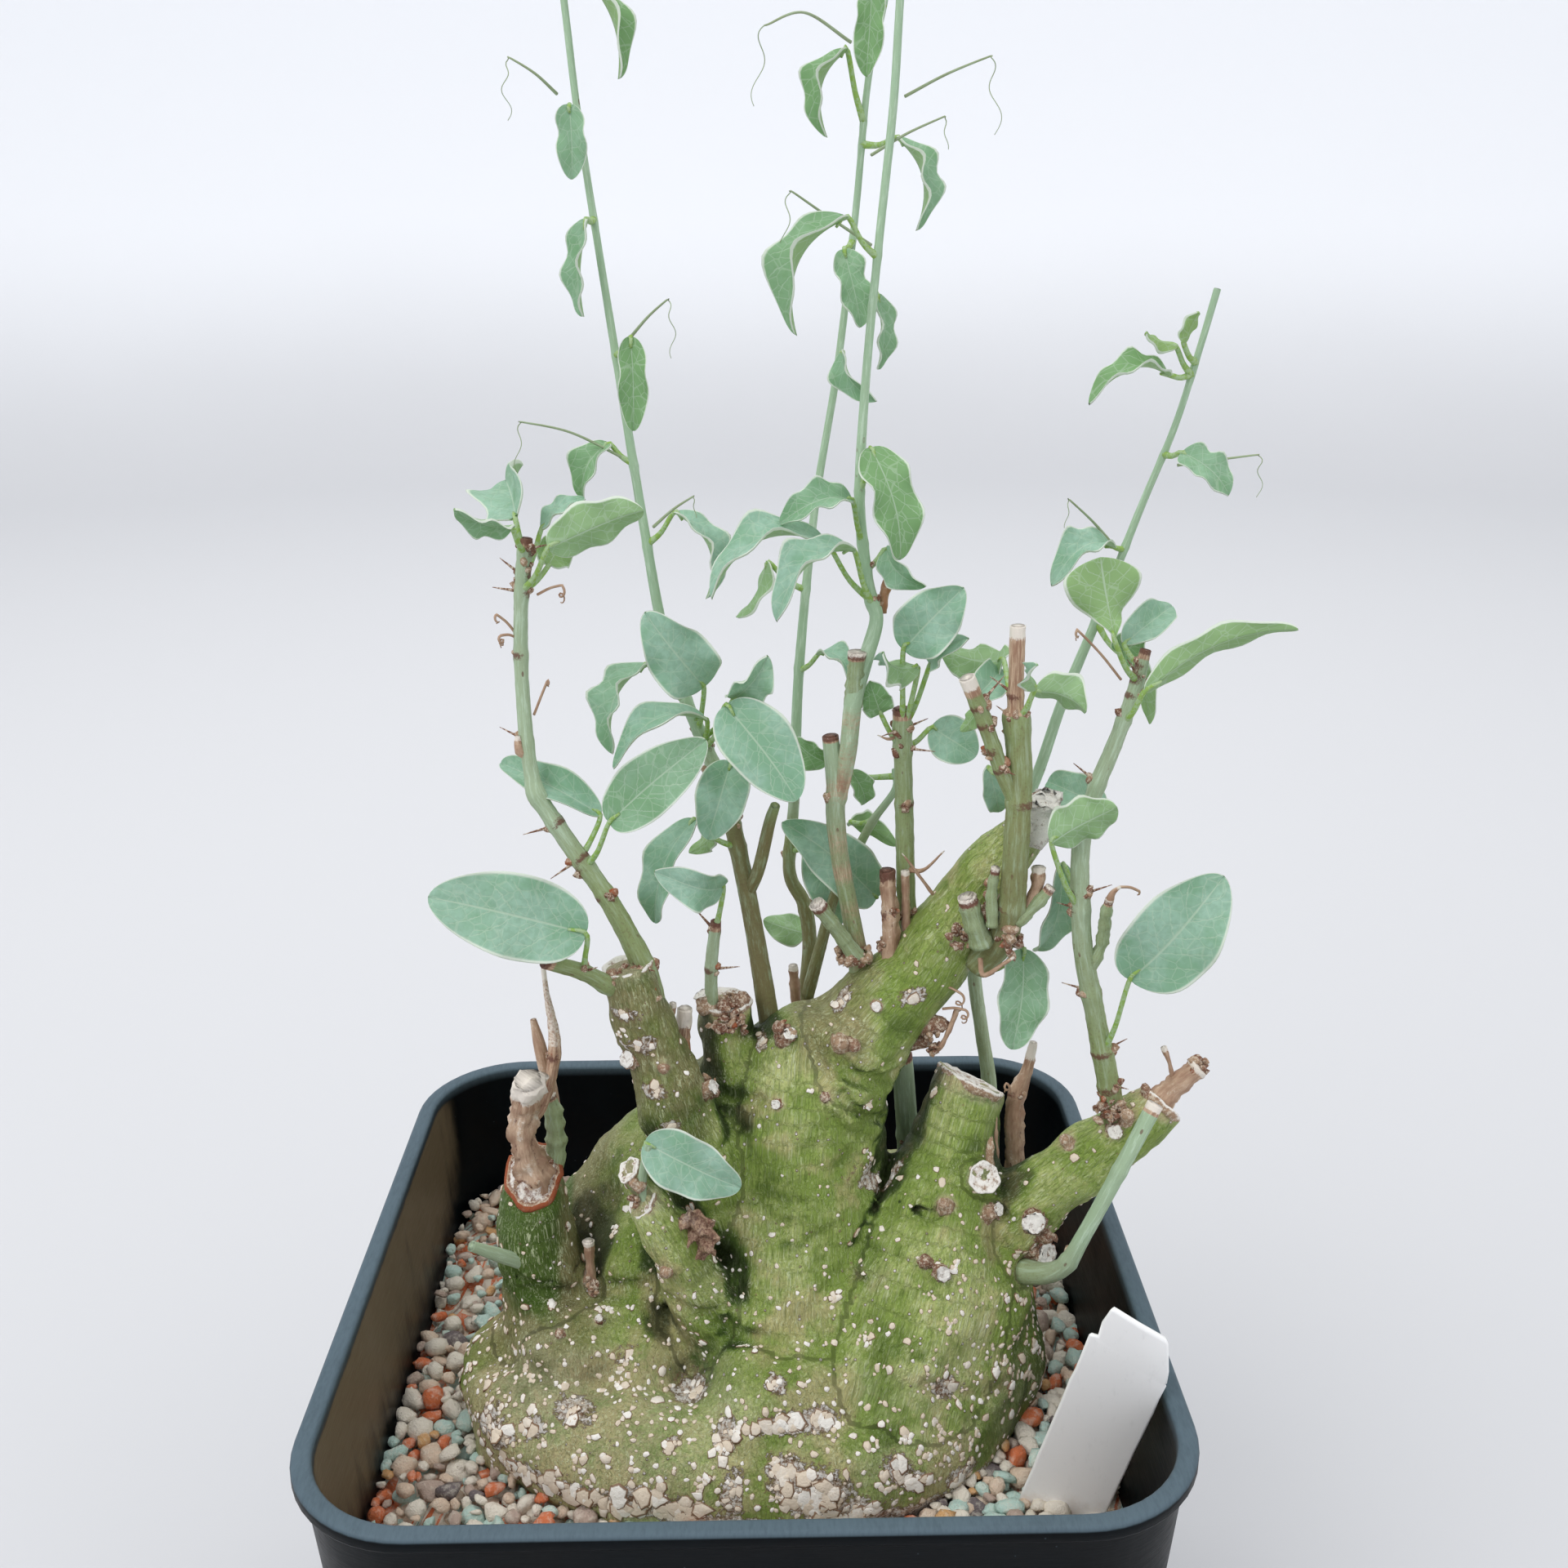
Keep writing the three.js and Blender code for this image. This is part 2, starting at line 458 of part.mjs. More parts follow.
// One leaf: a stalk that widens into two half blades folded along an arched midrib. Every ring has three
// points above and three below, and both faces are split into the same triangles.
function leaf(axes, [from, base, tip, width, turn, fold, arch]) {
  const hint = new THREE.Vector3(...from);
  const root = axes.reduce((best, p) => (p.distanceTo(hint) < best.distanceTo(hint) ? p : best));
  const start = new THREE.Vector3(...base);
  const along = new THREE.Vector3(...tip).sub(start);
  const length = along.length();
  along.normalize();
  const face = TOWARDS_LIGHT.clone().addScaledVector(along, -TOWARDS_LIGHT.dot(along)).normalize();
  face.applyAxisAngle(along, THREE.MathUtils.degToRad(-turn));
  const side = along.clone().cross(face);
  const lift = THREE.MathUtils.degToRad(fold);
  const stalk = start.clone().sub(root).normalize();
  const swing = new THREE.Quaternion().setFromUnitVectors(along, stalk);
  const stalkRing = (centre, share) => {
    const turned = new THREE.Quaternion().slerp(swing, share);
    return [150, 90, 30, -30, -90, -150].map((angle) => {
      const across = PETIOLE * Math.cos(THREE.MathUtils.degToRad(angle));
      const above = PETIOLE * Math.sin(THREE.MathUtils.degToRad(angle));
      const offset = side.clone().multiplyScalar(across).addScaledVector(face, above);
      return centre.clone().add(offset.applyQuaternion(turned));
    });
  };
  const bladeRing = (share) => {
    const half = bladeHalfWidth(width, share);
    const rise = 4 * arch * length * share * (1 - share);
    const spot = (across, depth) =>
      start
        .clone()
        .addScaledVector(along, share * length)
        .addScaledVector(side, across * half * Math.cos(lift))
        .addScaledVector(face, rise + Math.abs(across) * half * Math.sin(lift) - depth);
    return [spot(-1, 0), spot(0, 0), spot(1, 0), spot(1, BLADE), spot(0, BLADE), spot(-1, BLADE)];
  };
  return loft([stalkRing(root, 1), stalkRing(start, 0.5), ...BLADE_ROWS.map(bladeRing)], 3);
}

// A stem with its side shoots and leaves, grown together
function leafyStem({ routes, leaves }) {
  const axes = routes.flatMap((route) => smoothRoute(route, 6).map((s) => new THREE.Vector3(s.x, s.y, s.z)));
  const shoots = routes.map((route) => solid(stem(route)));
  return join([...shoots, ...leaves.map((plan) => solid(leaf(axes, plan)))]);
}

// The caudex

const smoothMin = (a, b, blend) => {
  const near = Math.max(blend - Math.abs(a - b), 0) / blend;
  return Math.min(a, b) - (near * near * blend) / 4;
};

// Distance to a stretched ball, close enough near its surface
function swellingDistance([centre, radii, turn], x, y, z) {
  const angle = THREE.MathUtils.degToRad(turn);
  const dx = x - centre[0];
  const dy = y - centre[1];
  const p = dx * Math.cos(angle) + dy * Math.sin(angle);
  const q = dy * Math.cos(angle) - dx * Math.sin(angle);
  const s = z - centre[2];
  const [a, b, c] = radii;
  const near = Math.hypot(p / a, q / b, s / c);
  const slope = Math.hypot(p / (a * a), q / (b * b), s / (c * c)) + 1e-9;
  return (near * (near - 1)) / slope;
}

// Distance to a tapering limb that may end in a flat cut
function limbDistance({ spots, facing }, x, y, z) {
  let least = Infinity;
  for (let i = 0; i + 1 < spots.length; i++) {
    const a = spots[i];
    const b = spots[i + 1];
    const dx = b.x - a.x;
    const dy = b.y - a.y;
    const dz = b.z - a.z;
    const share = ((x - a.x) * dx + (y - a.y) * dy + (z - a.z) * dz) / (dx * dx + dy * dy + dz * dz);
    const h = Math.min(1, Math.max(0, share));
    const gap = Math.hypot(x - a.x - h * dx, y - a.y - h * dy, z - a.z - h * dz);
    least = Math.min(least, gap - a.w - h * (b.w - a.w));
  }
  if (facing === null) return least;
  const end = spots[spots.length - 1];
  return Math.max(least, (x - end.x) * facing.x + (y - end.y) * facing.y + (z - end.z) * facing.z);
}

// The stout length of each limb is part of the field; the slim rest is a round stem joined on later
const limbs = LIMBS.map(([route, blend, facing]) => {
  const spots = smoothRoute(route, 4);
  const stout = spots.filter((s) => s.w >= SLIM);
  const cutHere = facing !== null && stout.length === spots.length;
  return { spots: stout, blend, facing: cutHere ? new THREE.Vector3(...facing).normalize() : null };
});

// The slim ends of the limbs
function slimLimbs() {
  return LIMBS.flatMap(([route]) => {
    const spots = smoothRoute(route, 1);
    const first = spots.findIndex((s) => s.w < SLIM);
    if (first < 1) return [];
    const start = spots.findIndex((s) => s.w < SLIM + 2);
    return [solid(stem(spots.slice(start).map((s) => s.toArray()), 7))];
  });
}

// Distance to the skin of the caudex: below zero inside
function bodyField(x, y, z) {
  let least = Infinity;
  for (const swelling of SWELLINGS) least = smoothMin(least, swellingDistance(swelling, x, y, z), swelling[3]);
  for (const limb of limbs) least = smoothMin(least, limbDistance(limb, x, y, z), limb.blend);
  const ripple = Math.sin(x * 0.21 + 1.3 * Math.sin(z * 0.13)) * Math.sin(y * 0.19 + 0.7);
  return least - 0.7 * ripple * Math.sin(z * 0.23 + x * 0.05);
}

// The outward direction of the field at a point
function fieldSlope(field, p) {
  const e = 0.3;
  return new THREE.Vector3(
    field(p.x + e, p.y, p.z) - field(p.x - e, p.y, p.z),
    field(p.x, p.y + e, p.z) - field(p.x, p.y - e, p.z),
    field(p.x, p.y, p.z + e) - field(p.x, p.y, p.z - e),
  ).normalize();
}

const CORNERS = [0, 1, 2, 3, 4, 5, 6, 7].map((n) => [n & 1, (n >> 1) & 1, (n >> 2) & 1]);
const EDGES = [];
for (let a = 0; a < 8; a++) {
  for (const bit of [1, 2, 4]) if (!(a & bit)) EDGES.push([a, a | bit]);
}
const FACES = [[0, 1, 3, 2], [4, 5, 7, 6], [0, 1, 5, 4], [2, 3, 7, 6], [0, 2, 6, 4], [1, 3, 7, 5]];

// True where a lattice cell holds one clean sheet of the surface
function cellIsClean(inside) {
  for (const [a, b, c, d] of FACES) {
    if (inside[a] === inside[c] && inside[b] === inside[d] && inside[a] !== inside[b]) return false;
  }
  for (const side of [true, false]) {
    const members = CORNERS.map((_, n) => n).filter((n) => inside[n] === side);
    const reached = new Set(members.slice(0, 1));
    for (let pass = 0; pass < 8; pass++) {
      for (const [a, b] of EDGES) {
        if (inside[a] !== side || inside[b] !== side) continue;
        if (reached.has(a)) reached.add(b);
        if (reached.has(b)) reached.add(a);
      }
    }
    if (reached.size !== members.length) return false;
  }
  return true;
}

// The zero surface of a field as a closed mesh: one vertex in each lattice cell that the surface crosses
function fieldSurface(field, low, high, cell) {
  const n = [0, 1, 2].map((k) => Math.ceil((high[k] - low[k]) / cell) + 1);
  const spot = (i, j, k) => i + n[0] * (j + n[1] * k);
  const value = new Float64Array(n[0] * n[1] * n[2]);
  const eachCell = (visit) => {
    for (let k = 0; k + 1 < n[2]; k++) {
      for (let j = 0; j + 1 < n[1]; j++) {
        for (let i = 0; i + 1 < n[0]; i++) visit(i, j, k);
      }
    }
  };
  for (let k = 0; k < n[2]; k++) {
    for (let j = 0; j < n[1]; j++) {
      for (let i = 0; i < n[0]; i++) {
        value[spot(i, j, k)] = field(low[0] + i * cell, low[1] + j * cell, low[2] + k * cell);
      }
    }
  }
  // fill the few cells whose corners could be joined in two ways
  let mended = true;
  while (mended) {
    mended = false;
    eachCell((i, j, k) => {
      const at = CORNERS.map(([a, b, c]) => spot(i + a, j + b, k + c));
      if (cellIsClean(at.map((m) => value[m] < 0))) return;
      for (const m of at) value[m] = Math.min(value[m], -0.02 * cell);
      mended = true;
    });
  }
  const vertexOf = new Map();
  const vertices = [];
  eachCell((i, j, k) => {
    const sum = new THREE.Vector3();
    let crossings = 0;
    for (const [a, b] of EDGES) {
      const [ai, aj, ak] = CORNERS[a];
      const [bi, bj, bk] = CORNERS[b];
      const va = value[spot(i + ai, j + aj, k + ak)];
      const vb = value[spot(i + bi, j + bj, k + bk)];
      if (va < 0 === vb < 0) continue;
      const t = va / (va - vb);
      sum.add(new THREE.Vector3(i + ai + t * (bi - ai), j + aj + t * (bj - aj), k + ak + t * (bk - ak)));
      crossings++;
    }
    if (crossings === 0) return;
    vertexOf.set(spot(i, j, k), vertices.length);
    vertices.push(sum.multiplyScalar(cell / crossings).add(new THREE.Vector3(...low)));
  });
  const index = [];
  const steps = [[1, 0, 0], [0, 1, 0], [0, 0, 1]];
  eachCell((i, j, k) => {
    for (let axis = 0; axis < 3; axis++) {
      const ahead = steps[axis];
      const u = steps[(axis + 1) % 3];
      const v = steps[(axis + 2) % 3];
      const here = value[spot(i, j, k)] < 0;
      const there = value[spot(i + ahead[0], j + ahead[1], k + ahead[2])] < 0;
      if (here === there) continue;
      const around = [[0, 0], [1, 0], [1, 1], [0, 1]].map(([a, b]) =>
        vertexOf.get(spot(i - a * u[0] - b * v[0], j - a * u[1] - b * v[1], k - a * u[2] - b * v[2])),
      );
      if (!here) around.reverse();
      const [p, q, r, s] = around;
      const split = vertices[p].distanceTo(vertices[r]) < vertices[q].distanceTo(vertices[s]);
      if (split) index.push(p, q, r, p, r, s);
      else index.push(q, r, s, q, s, p);
    }
  });
  // draw each vertex on to the true surface
  for (const vertex of vertices) {
    const home = vertex.clone();
    for (let pass = 0; pass < 3; pass++) {
      vertex.addScaledVector(fieldSlope(field, vertex), -field(vertex.x, vertex.y, vertex.z));
    }
    if (vertex.distanceTo(home) > 0.5 * cell) vertex.copy(home);
  }
  return new THREE.BufferGeometry().setFromPoints(vertices).setIndex(index);
}

// The tap root, a blunt cone that stands in the soil; extra widens it for the hole
function tapRoot(extra = 0) {
  const rings = [[4, 0], [7, 3], [11, 14], [17, 28.6]].map(([radius, rise]) =>
    roundRing(radius + extra, ROOT_TIP + rise, 16),
  );
  rings[0].forEach((p) => (p.z -= extra));
  return loft(rings);
}

// Where a ray from far outside towards the caudex meets its skin
function skinPoint(from, towards) {
  const point = from.clone();
  for (let i = 0; i < 60; i++) {
    const left = bodyField(point.x, point.y, point.z);
    if (left < 0.05) return point;
    point.addScaledVector(towards, left * 0.8);
  }
  return null;
}

// The largest corky warts, as low five-sided bumps sunk into the skin
function warts(count) {
  const random = randomFrom(7);
  const bumps = [];
  while (bumps.length < count) {
    const turn = 2 * Math.PI * random();
    const height = 108 + 45 * random() ** 1.6;
    const aim = new THREE.Vector3(4, 0, height);
    const from = new THREE.Vector3(80 * Math.cos(turn), 70 * Math.sin(turn), height + 20);
    const point = skinPoint(from, aim.sub(from).normalize());
    const size = 1 + 0.9 * random();
    if (point === null || point.z < 107) continue;
    const out = fieldSlope(bodyField, point);
    const at = (depth, radius) => {
      const spot = point.clone().addScaledVector(out, depth);
      return [spot.x, spot.y, spot.z, radius];
    };
    bumps.push(solid(stem([at(-0.8, size), at(0.25, size), at(0.8, size * 0.5)], 5)));
  }
  return bumps;
}

// The swollen body with its branches and stubs, less a hole for every stem that stands in it
function caudex() {
  const closedField = (x, y, z) => Math.max(bodyField(x, y, z), GRAVEL_BOTTOM - 4 - z);
  const skin = solid(fieldSurface(closedField, [-66, -54, 80], [90, 54, 230], BODY_CELL));
  const under = new THREE.BoxGeometry(200, 200, 40).translate(0, 0, GRAVEL_BOTTOM - 20);
  const routes = Object.values(STEMS).flatMap((plan) => plan.routes);
  const holes = routes.map((route) => solid(stem(route, 5, 1, GAP)));
  const body = cut(skin, [solid(under)]);
  return cut(join([body, solid(tapRoot()), ...slimLimbs(), ...warts(WART_COUNT)]), holes);
}

// Pot, soil, gravel and label

const innerHalf = (z) => POT_RIM / 2 - RIM_TOP - WALL_TAPER * (POT_HEIGHT - z);

// A square tapering pot with a turned-over rim and a ring of drain holes
function pot() {
  const outerHalf = (z) => innerHalf(z) + WALL;
  const ring = (half, z) => squareRing(half, POT_CORNER - POT_RIM / 2 + half, z);
  const body = solid(
    loft([
      ring(outerHalf(0), 0),
      ring(outerHalf(POT_HEIGHT - RIM_SKIRT), POT_HEIGHT - RIM_SKIRT),
      ring(POT_RIM / 2 - 0.3, POT_HEIGHT - RIM_SKIRT),
      ring(POT_RIM / 2, POT_HEIGHT - 0.6),
      ring(POT_RIM / 2 - 0.7, POT_HEIGHT),
      ring(innerHalf(POT_HEIGHT) + 0.7, POT_HEIGHT),
      ring(innerHalf(POT_HEIGHT), POT_HEIGHT - 0.7),
      ring(innerHalf(WALL), WALL),
    ]),
  );
  const drains = Array.from({ length: 8 }, (_, i) => {
    const turn = (Math.PI * (i + 0.5)) / 4;
    const x = DRAIN_RING * Math.cos(turn);
    const y = DRAIN_RING * Math.sin(turn);
    return solid(loft([roundRing(DRAIN_RADIUS, -1, 8, x, y), roundRing(DRAIN_RADIUS, WALL + 1, 8, x, y)]));
  });
  return cut(body, drains);
}

// Soil that fills the pot up to the gravel
function soil() {
  const ring = (z) => {
    const half = innerHalf(z) - GAP;
    return squareRing(half, POT_CORNER - POT_RIM / 2 + half, z);
  };
  const fill = solid(loft([ring(WALL + 0.3), ring(SOIL_TOP)]));
  return cut(fill, [solid(tapRoot(GAP)), solid(labelPlate(GAP))]);
}

// Height of the gravel at a place: each stone is a dome of its own height
function gravelHeight(stones, x, y) {
  let rise = 0;
  for (const stone of stones) {
    const reach = Math.hypot(x - stone.x, y - stone.y) / stone.radius;
    if (reach < 1) rise = Math.max(rise, stone.rise * Math.sqrt(1 - reach * reach));
  }
  return GRAVEL_TOP - STONE_RISE / 2 + rise;
}

// A ring of gravel between the pot and the caudex, with the stones as relief
function gravel() {
  const random = randomFrom(11);
  const stones = [];
  for (let y = -72; y < 72; y += STONE_PITCH * 0.87) {
    for (let x = -72; x < 72; x += STONE_PITCH) {
      stones.push({
        x: x + STONE_PITCH * random(),
        y: y + STONE_PITCH * 0.6 * random(),
        radius: STONE_PITCH * (0.5 + 0.3 * random()),
        rise: STONE_RISE * (0.4 + 0.6 * random()),
      });
    }
  }
  const angles = 84;
  const rows = 5;
  const centre = new THREE.Vector2(0, -2);
  const outer = (turn) => {
    const half = innerHalf(GRAVEL_BOTTOM) - GAP;
    const corner = POT_CORNER - POT_RIM / 2 + half;
    let low = 40;
    let high = 120;
    while (high - low > 0.01) {
      const middle = (low + high) / 2;
      const x = Math.abs(centre.x + middle * Math.cos(turn)) - half + corner;
      const y = Math.abs(centre.y + middle * Math.sin(turn)) - half + corner;
      const outside = Math.hypot(Math.max(x, 0), Math.max(y, 0)) - corner > 0 || Math.max(x, y) > corner;
      if (outside) high = middle;
      else low = middle;
    }
    return low;
  };
  const inner = (turn) => {
    let reach = 0;
    for (let z = GRAVEL_BOTTOM; z <= GRAVEL_TOP + 4; z += 2.5) {
      const from = new THREE.Vector3(centre.x + 75 * Math.cos(turn), centre.y + 75 * Math.sin(turn), z);
      const point = skinPoint(from, new THREE.Vector3(-Math.cos(turn), -Math.sin(turn), 0));
      if (point) reach = Math.max(reach, Math.hypot(point.x - centre.x, point.y - centre.y));
    }
    return reach + 0.9;
  };
  const points = [];
  for (let i = 0; i < angles; i++) {
    const turn = (2 * Math.PI * i) / angles;
    const near = inner(turn);
    const far = outer(turn);
    for (let j = 0; j <= rows; j++) {
      const reach = near + ((far - near) * j) / rows;
      const x = centre.x + reach * Math.cos(turn);
      const y = centre.y + reach * Math.sin(turn);
      points.push(new THREE.Vector3(x, y, gravelHeight(stones, x, y)));
    }
    for (const reach of [far, near]) {
      const x = centre.x + reach * Math.cos(turn);
      const y = centre.y + reach * Math.sin(turn);
      points.push(new THREE.Vector3(x, y, GRAVEL_BOTTOM));
    }
  }
  const around = rows + 3;
  const index = [];
  for (let i = 0; i < angles; i++) {
    const here = i * around;
    const next = ((i + 1) % angles) * around;
    for (let j = 0; j < around; j++) {
      const k = (j + 1) % around;
      index.push(here + j, here + k, next + k);
      index.push(here + j, next + k, next + j);
    }
  }
  const ring = new THREE.BufferGeometry().setFromPoints(points).setIndex(index);
  return cut(solid(ring), [solid(labelPlate(GAP))]);
}

// A blank plant label pushed in at a slant, its top corners clipped; extra widens it for the slot
function labelPlate(extra = 0) {
  const half = LABEL_WIDTH / 2 + extra;
  const shape = new THREE.Shape();
  shape.moveTo(0, -LABEL_LENGTH - extra);
  shape.lineTo(half, -LABEL_LENGTH + 9);
  shape.lineTo(half, -11.3);
  shape.lineTo(half - 3.4, -2.4);
  shape.lineTo(-half + 1.9, 0);
  shape.lineTo(-half, -5.3);
  shape.lineTo(-half, -LABEL_LENGTH + 9);
  shape.closePath();
  const depth = LABEL_THICKNESS + 2 * extra;
  const plate = new THREE.ExtrudeGeometry(shape, { depth, bevelEnabled: false });
  plate.translate(0, 0, -depth / 2);
  const up = new THREE.Vector3(0.21, -0.165, 0.963).normalize();
  const across = new THREE.Vector3(0.93, -0.26, -0.25);
  across.addScaledVector(up, -across.dot(up)).normalize();
  const facing = across.clone().cross(up);
  const top = new THREE.Vector3(66.7, -47.6, 147.3);
  return plate.applyMatrix4(new THREE.Matrix4().makeBasis(across, up, facing).setPosition(top));
}

// The whole thing
const group = new THREE.Group();
group.name = "potted_caudex_climber";

function add(name, body, colour) {
  const [hex, roughness] = MATERIALS[colour];
  const material = new THREE.MeshStandardMaterial({ color: hex, roughness, metalness: 0 });
  const mesh = new THREE.Mesh(geometryOf(body), material);
  mesh.name = name;
  group.add(mesh);
}

add("pot", pot(), "plastic");
add("soil", soil(), "soil");
add("gravel", gravel(), "gravel");
add("plant_label", solid(labelPlate()), "label");
add("caudex", caudex(), "bark");
for (const [name, plan] of Object.entries(STEMS)) add(name, leafyStem(plan), plan.colour);

export default group;
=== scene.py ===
"""A potted caudex climber: swollen green body with cut branches, thin vines with blue-green leaves and
tendrils, coloured gravel, a square black pot and a blank white plant label. Lengths in the data are in
millimetres; meshes are in metres, +Z up, with the origin in the middle of the pot's underside."""

import bpy
import numpy as np
from bpy.props import FloatProperty, FloatVectorProperty, IntProperty, PointerProperty
from mathutils import Matrix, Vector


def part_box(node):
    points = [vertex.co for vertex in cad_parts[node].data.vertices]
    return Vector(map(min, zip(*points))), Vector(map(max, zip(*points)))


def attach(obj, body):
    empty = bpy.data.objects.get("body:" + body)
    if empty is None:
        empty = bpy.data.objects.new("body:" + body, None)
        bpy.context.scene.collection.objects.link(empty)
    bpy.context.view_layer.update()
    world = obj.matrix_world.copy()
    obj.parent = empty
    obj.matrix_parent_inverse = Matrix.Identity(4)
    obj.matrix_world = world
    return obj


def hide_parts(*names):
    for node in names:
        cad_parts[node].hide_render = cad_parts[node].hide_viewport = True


bl_info = {
    "name": "Potted caudex climber",
    "version": (1, 0, 0),
    "blender": (4, 5, 0),
    "location": "View3D > Sidebar > Caudex climber",
    "description": "Builds a potted caudex plant with vines, leaves, gravel, pot and label",
    "category": "Add Mesh",
}

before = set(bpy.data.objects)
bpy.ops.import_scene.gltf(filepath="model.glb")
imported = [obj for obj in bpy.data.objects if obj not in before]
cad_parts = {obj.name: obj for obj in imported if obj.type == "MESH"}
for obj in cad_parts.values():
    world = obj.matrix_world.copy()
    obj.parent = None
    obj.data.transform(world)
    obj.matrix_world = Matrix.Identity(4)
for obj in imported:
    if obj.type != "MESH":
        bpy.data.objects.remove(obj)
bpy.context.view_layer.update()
POT_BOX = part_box("pot")
MM = 0.001
GRAVEL_TOP = 101.0  # height of the gravel in the pot
GRAVEL_DEPTH = 29  # how far it lies below the rim
WALL_CORNER = 19  # radius of its corners
TAPER = 0.082  # inward lean of the pot's wall for each unit of depth

# Swellings of the body: centre, radii, turn about Z in degrees, blend width
SWELLINGS = [
    [(-30, -7, 114), (18, 15, 14), 20, 5],
    [(-33, -17, 117), (12, 8, 9), 15, 5],
    [(6, -24, 112), (15, 13, 15), 0, 4],
    [(8, -14, 124), (10, 9, 9), 0, 4],
    [(40.7, -4, 114), (16.3, 20, 21), 0, 5],
    [(-24, 20, 112), (24, 20, 20), 0, 6],
    [(4, 26, 112), (26, 20, 22), 0, 6],
    [(30, 20, 112), (24, 22, 22), 0, 6],
    [(1, 2, 108), (32, 24, 22), 0, 6],
    [(-21, -5, 126), (9, 9, 13), 0, 3],
    [(44, -9, 124), (9.3, 10, 12), 0, 4],
    [(-18.5, -15.5, 116), (8, 8.5, 8), 0, 5],
]

# Limbs of the body: route as x, y, z, radius; blend width; direction of the cut face, if it is cut
LIMBS = [
    ([(-45, -6, 106, 11), (-41, -18, 105, 12), (-29, -26, 104, 12.5), (-12, -30, 103, 13), (6, -31, 103, 13.5),
      (22, -29, 104, 13.5), (35, -20, 105, 13.5), (44, -8, 107, 13)], 5, None),
    ([(8, -12, 108, 19), (9, -4, 128, 17.8), (10, 2, 142, 16.8), (11, 5, 155, 15.8), (12, 6, 165, 13)], 5, None),
    ([(26.5, -18, 112, 16), (32, -12, 124, 15.5), (36, -5, 136, 12.5), (39.5, 2.5, 147, 9.6), (44, 6, 162, 6.6)], 4,
     (0.45, 0.3, 0.84)),
    ([(-6, 6, 158, 9), (-13, 9, 146, 12), (-21, 12, 133, 14), (-28, 14, 118, 17)], 5, None),
    ([(-6, -2, 138, 9.5), (-9, -5, 151, 8.2), (-14, -7.5, 168, 6.4), (-18.5, -8, 184, 5.1), (-21, -8, 194, 4.4)],
     2.5, (-0.15, 0, 1)),
    ([(-1, 4, 155, 9), (-3, 5, 168, 5.8), (-3.7, 5, 180.5, 4.8)], 3, (0, 0, 1)),
    ([(11, 6, 156, 13.5), (16, 5, 166, 12), (23, 5, 175, 9.6), (33.7, 5, 188, 7.4), (43.9, 5, 204.3, 5.7),
      (54.2, 5, 218, 4.2)], 3.5, (0.6, 0, 0.8)),
    ([(41, -4, 122, 11), (46.5, -5, 133, 7.8), (55, -5, 142.5, 6.9), (66, -5, 152, 6), (78, -5, 163, 4.3)], 3,
     (0.7, 0.3, 0.65)),
    ([(-37, -8, 118, 10), (-39, -8, 130, 8.2), (-39.9, -8, 142, 7.2), (-39.9, -8, 151, 4.7)], 2,
     (-0.05, -0.6, 0.8)),
    ([(-5, -12, 120, 9), (-8, -16, 130, 6.8), (-11.5, -18.5, 137.5, 5), (-14.7, -20, 146.2, 3.9),
      (-18.7, -20, 153, 2.9)], 2.5, (-0.6, -0.3, 0.7)),
    ([(-12, -16, 138, 4), (-15.5, -18, 150, 2.9), (-21, -19, 159, 2.3)], 1.5, (-0.6, -0.3, 0.7)),
    ([(42, -3, 138, 5), (43.2, -5, 145, 3.8), (43.9, -7.4, 148.6, 3.2), (44.6, -10.5, 150.8, 2.9)], 2.5,
     (0.15, -0.8, 0.58)),
    ([(0, 0, 94, 17), (0, 0, 76, 11), (0, 0, 66, 4.5)], 1, None),
]
TRUNK, LEFT_STUB = 1, 8  # places of these limbs in the list

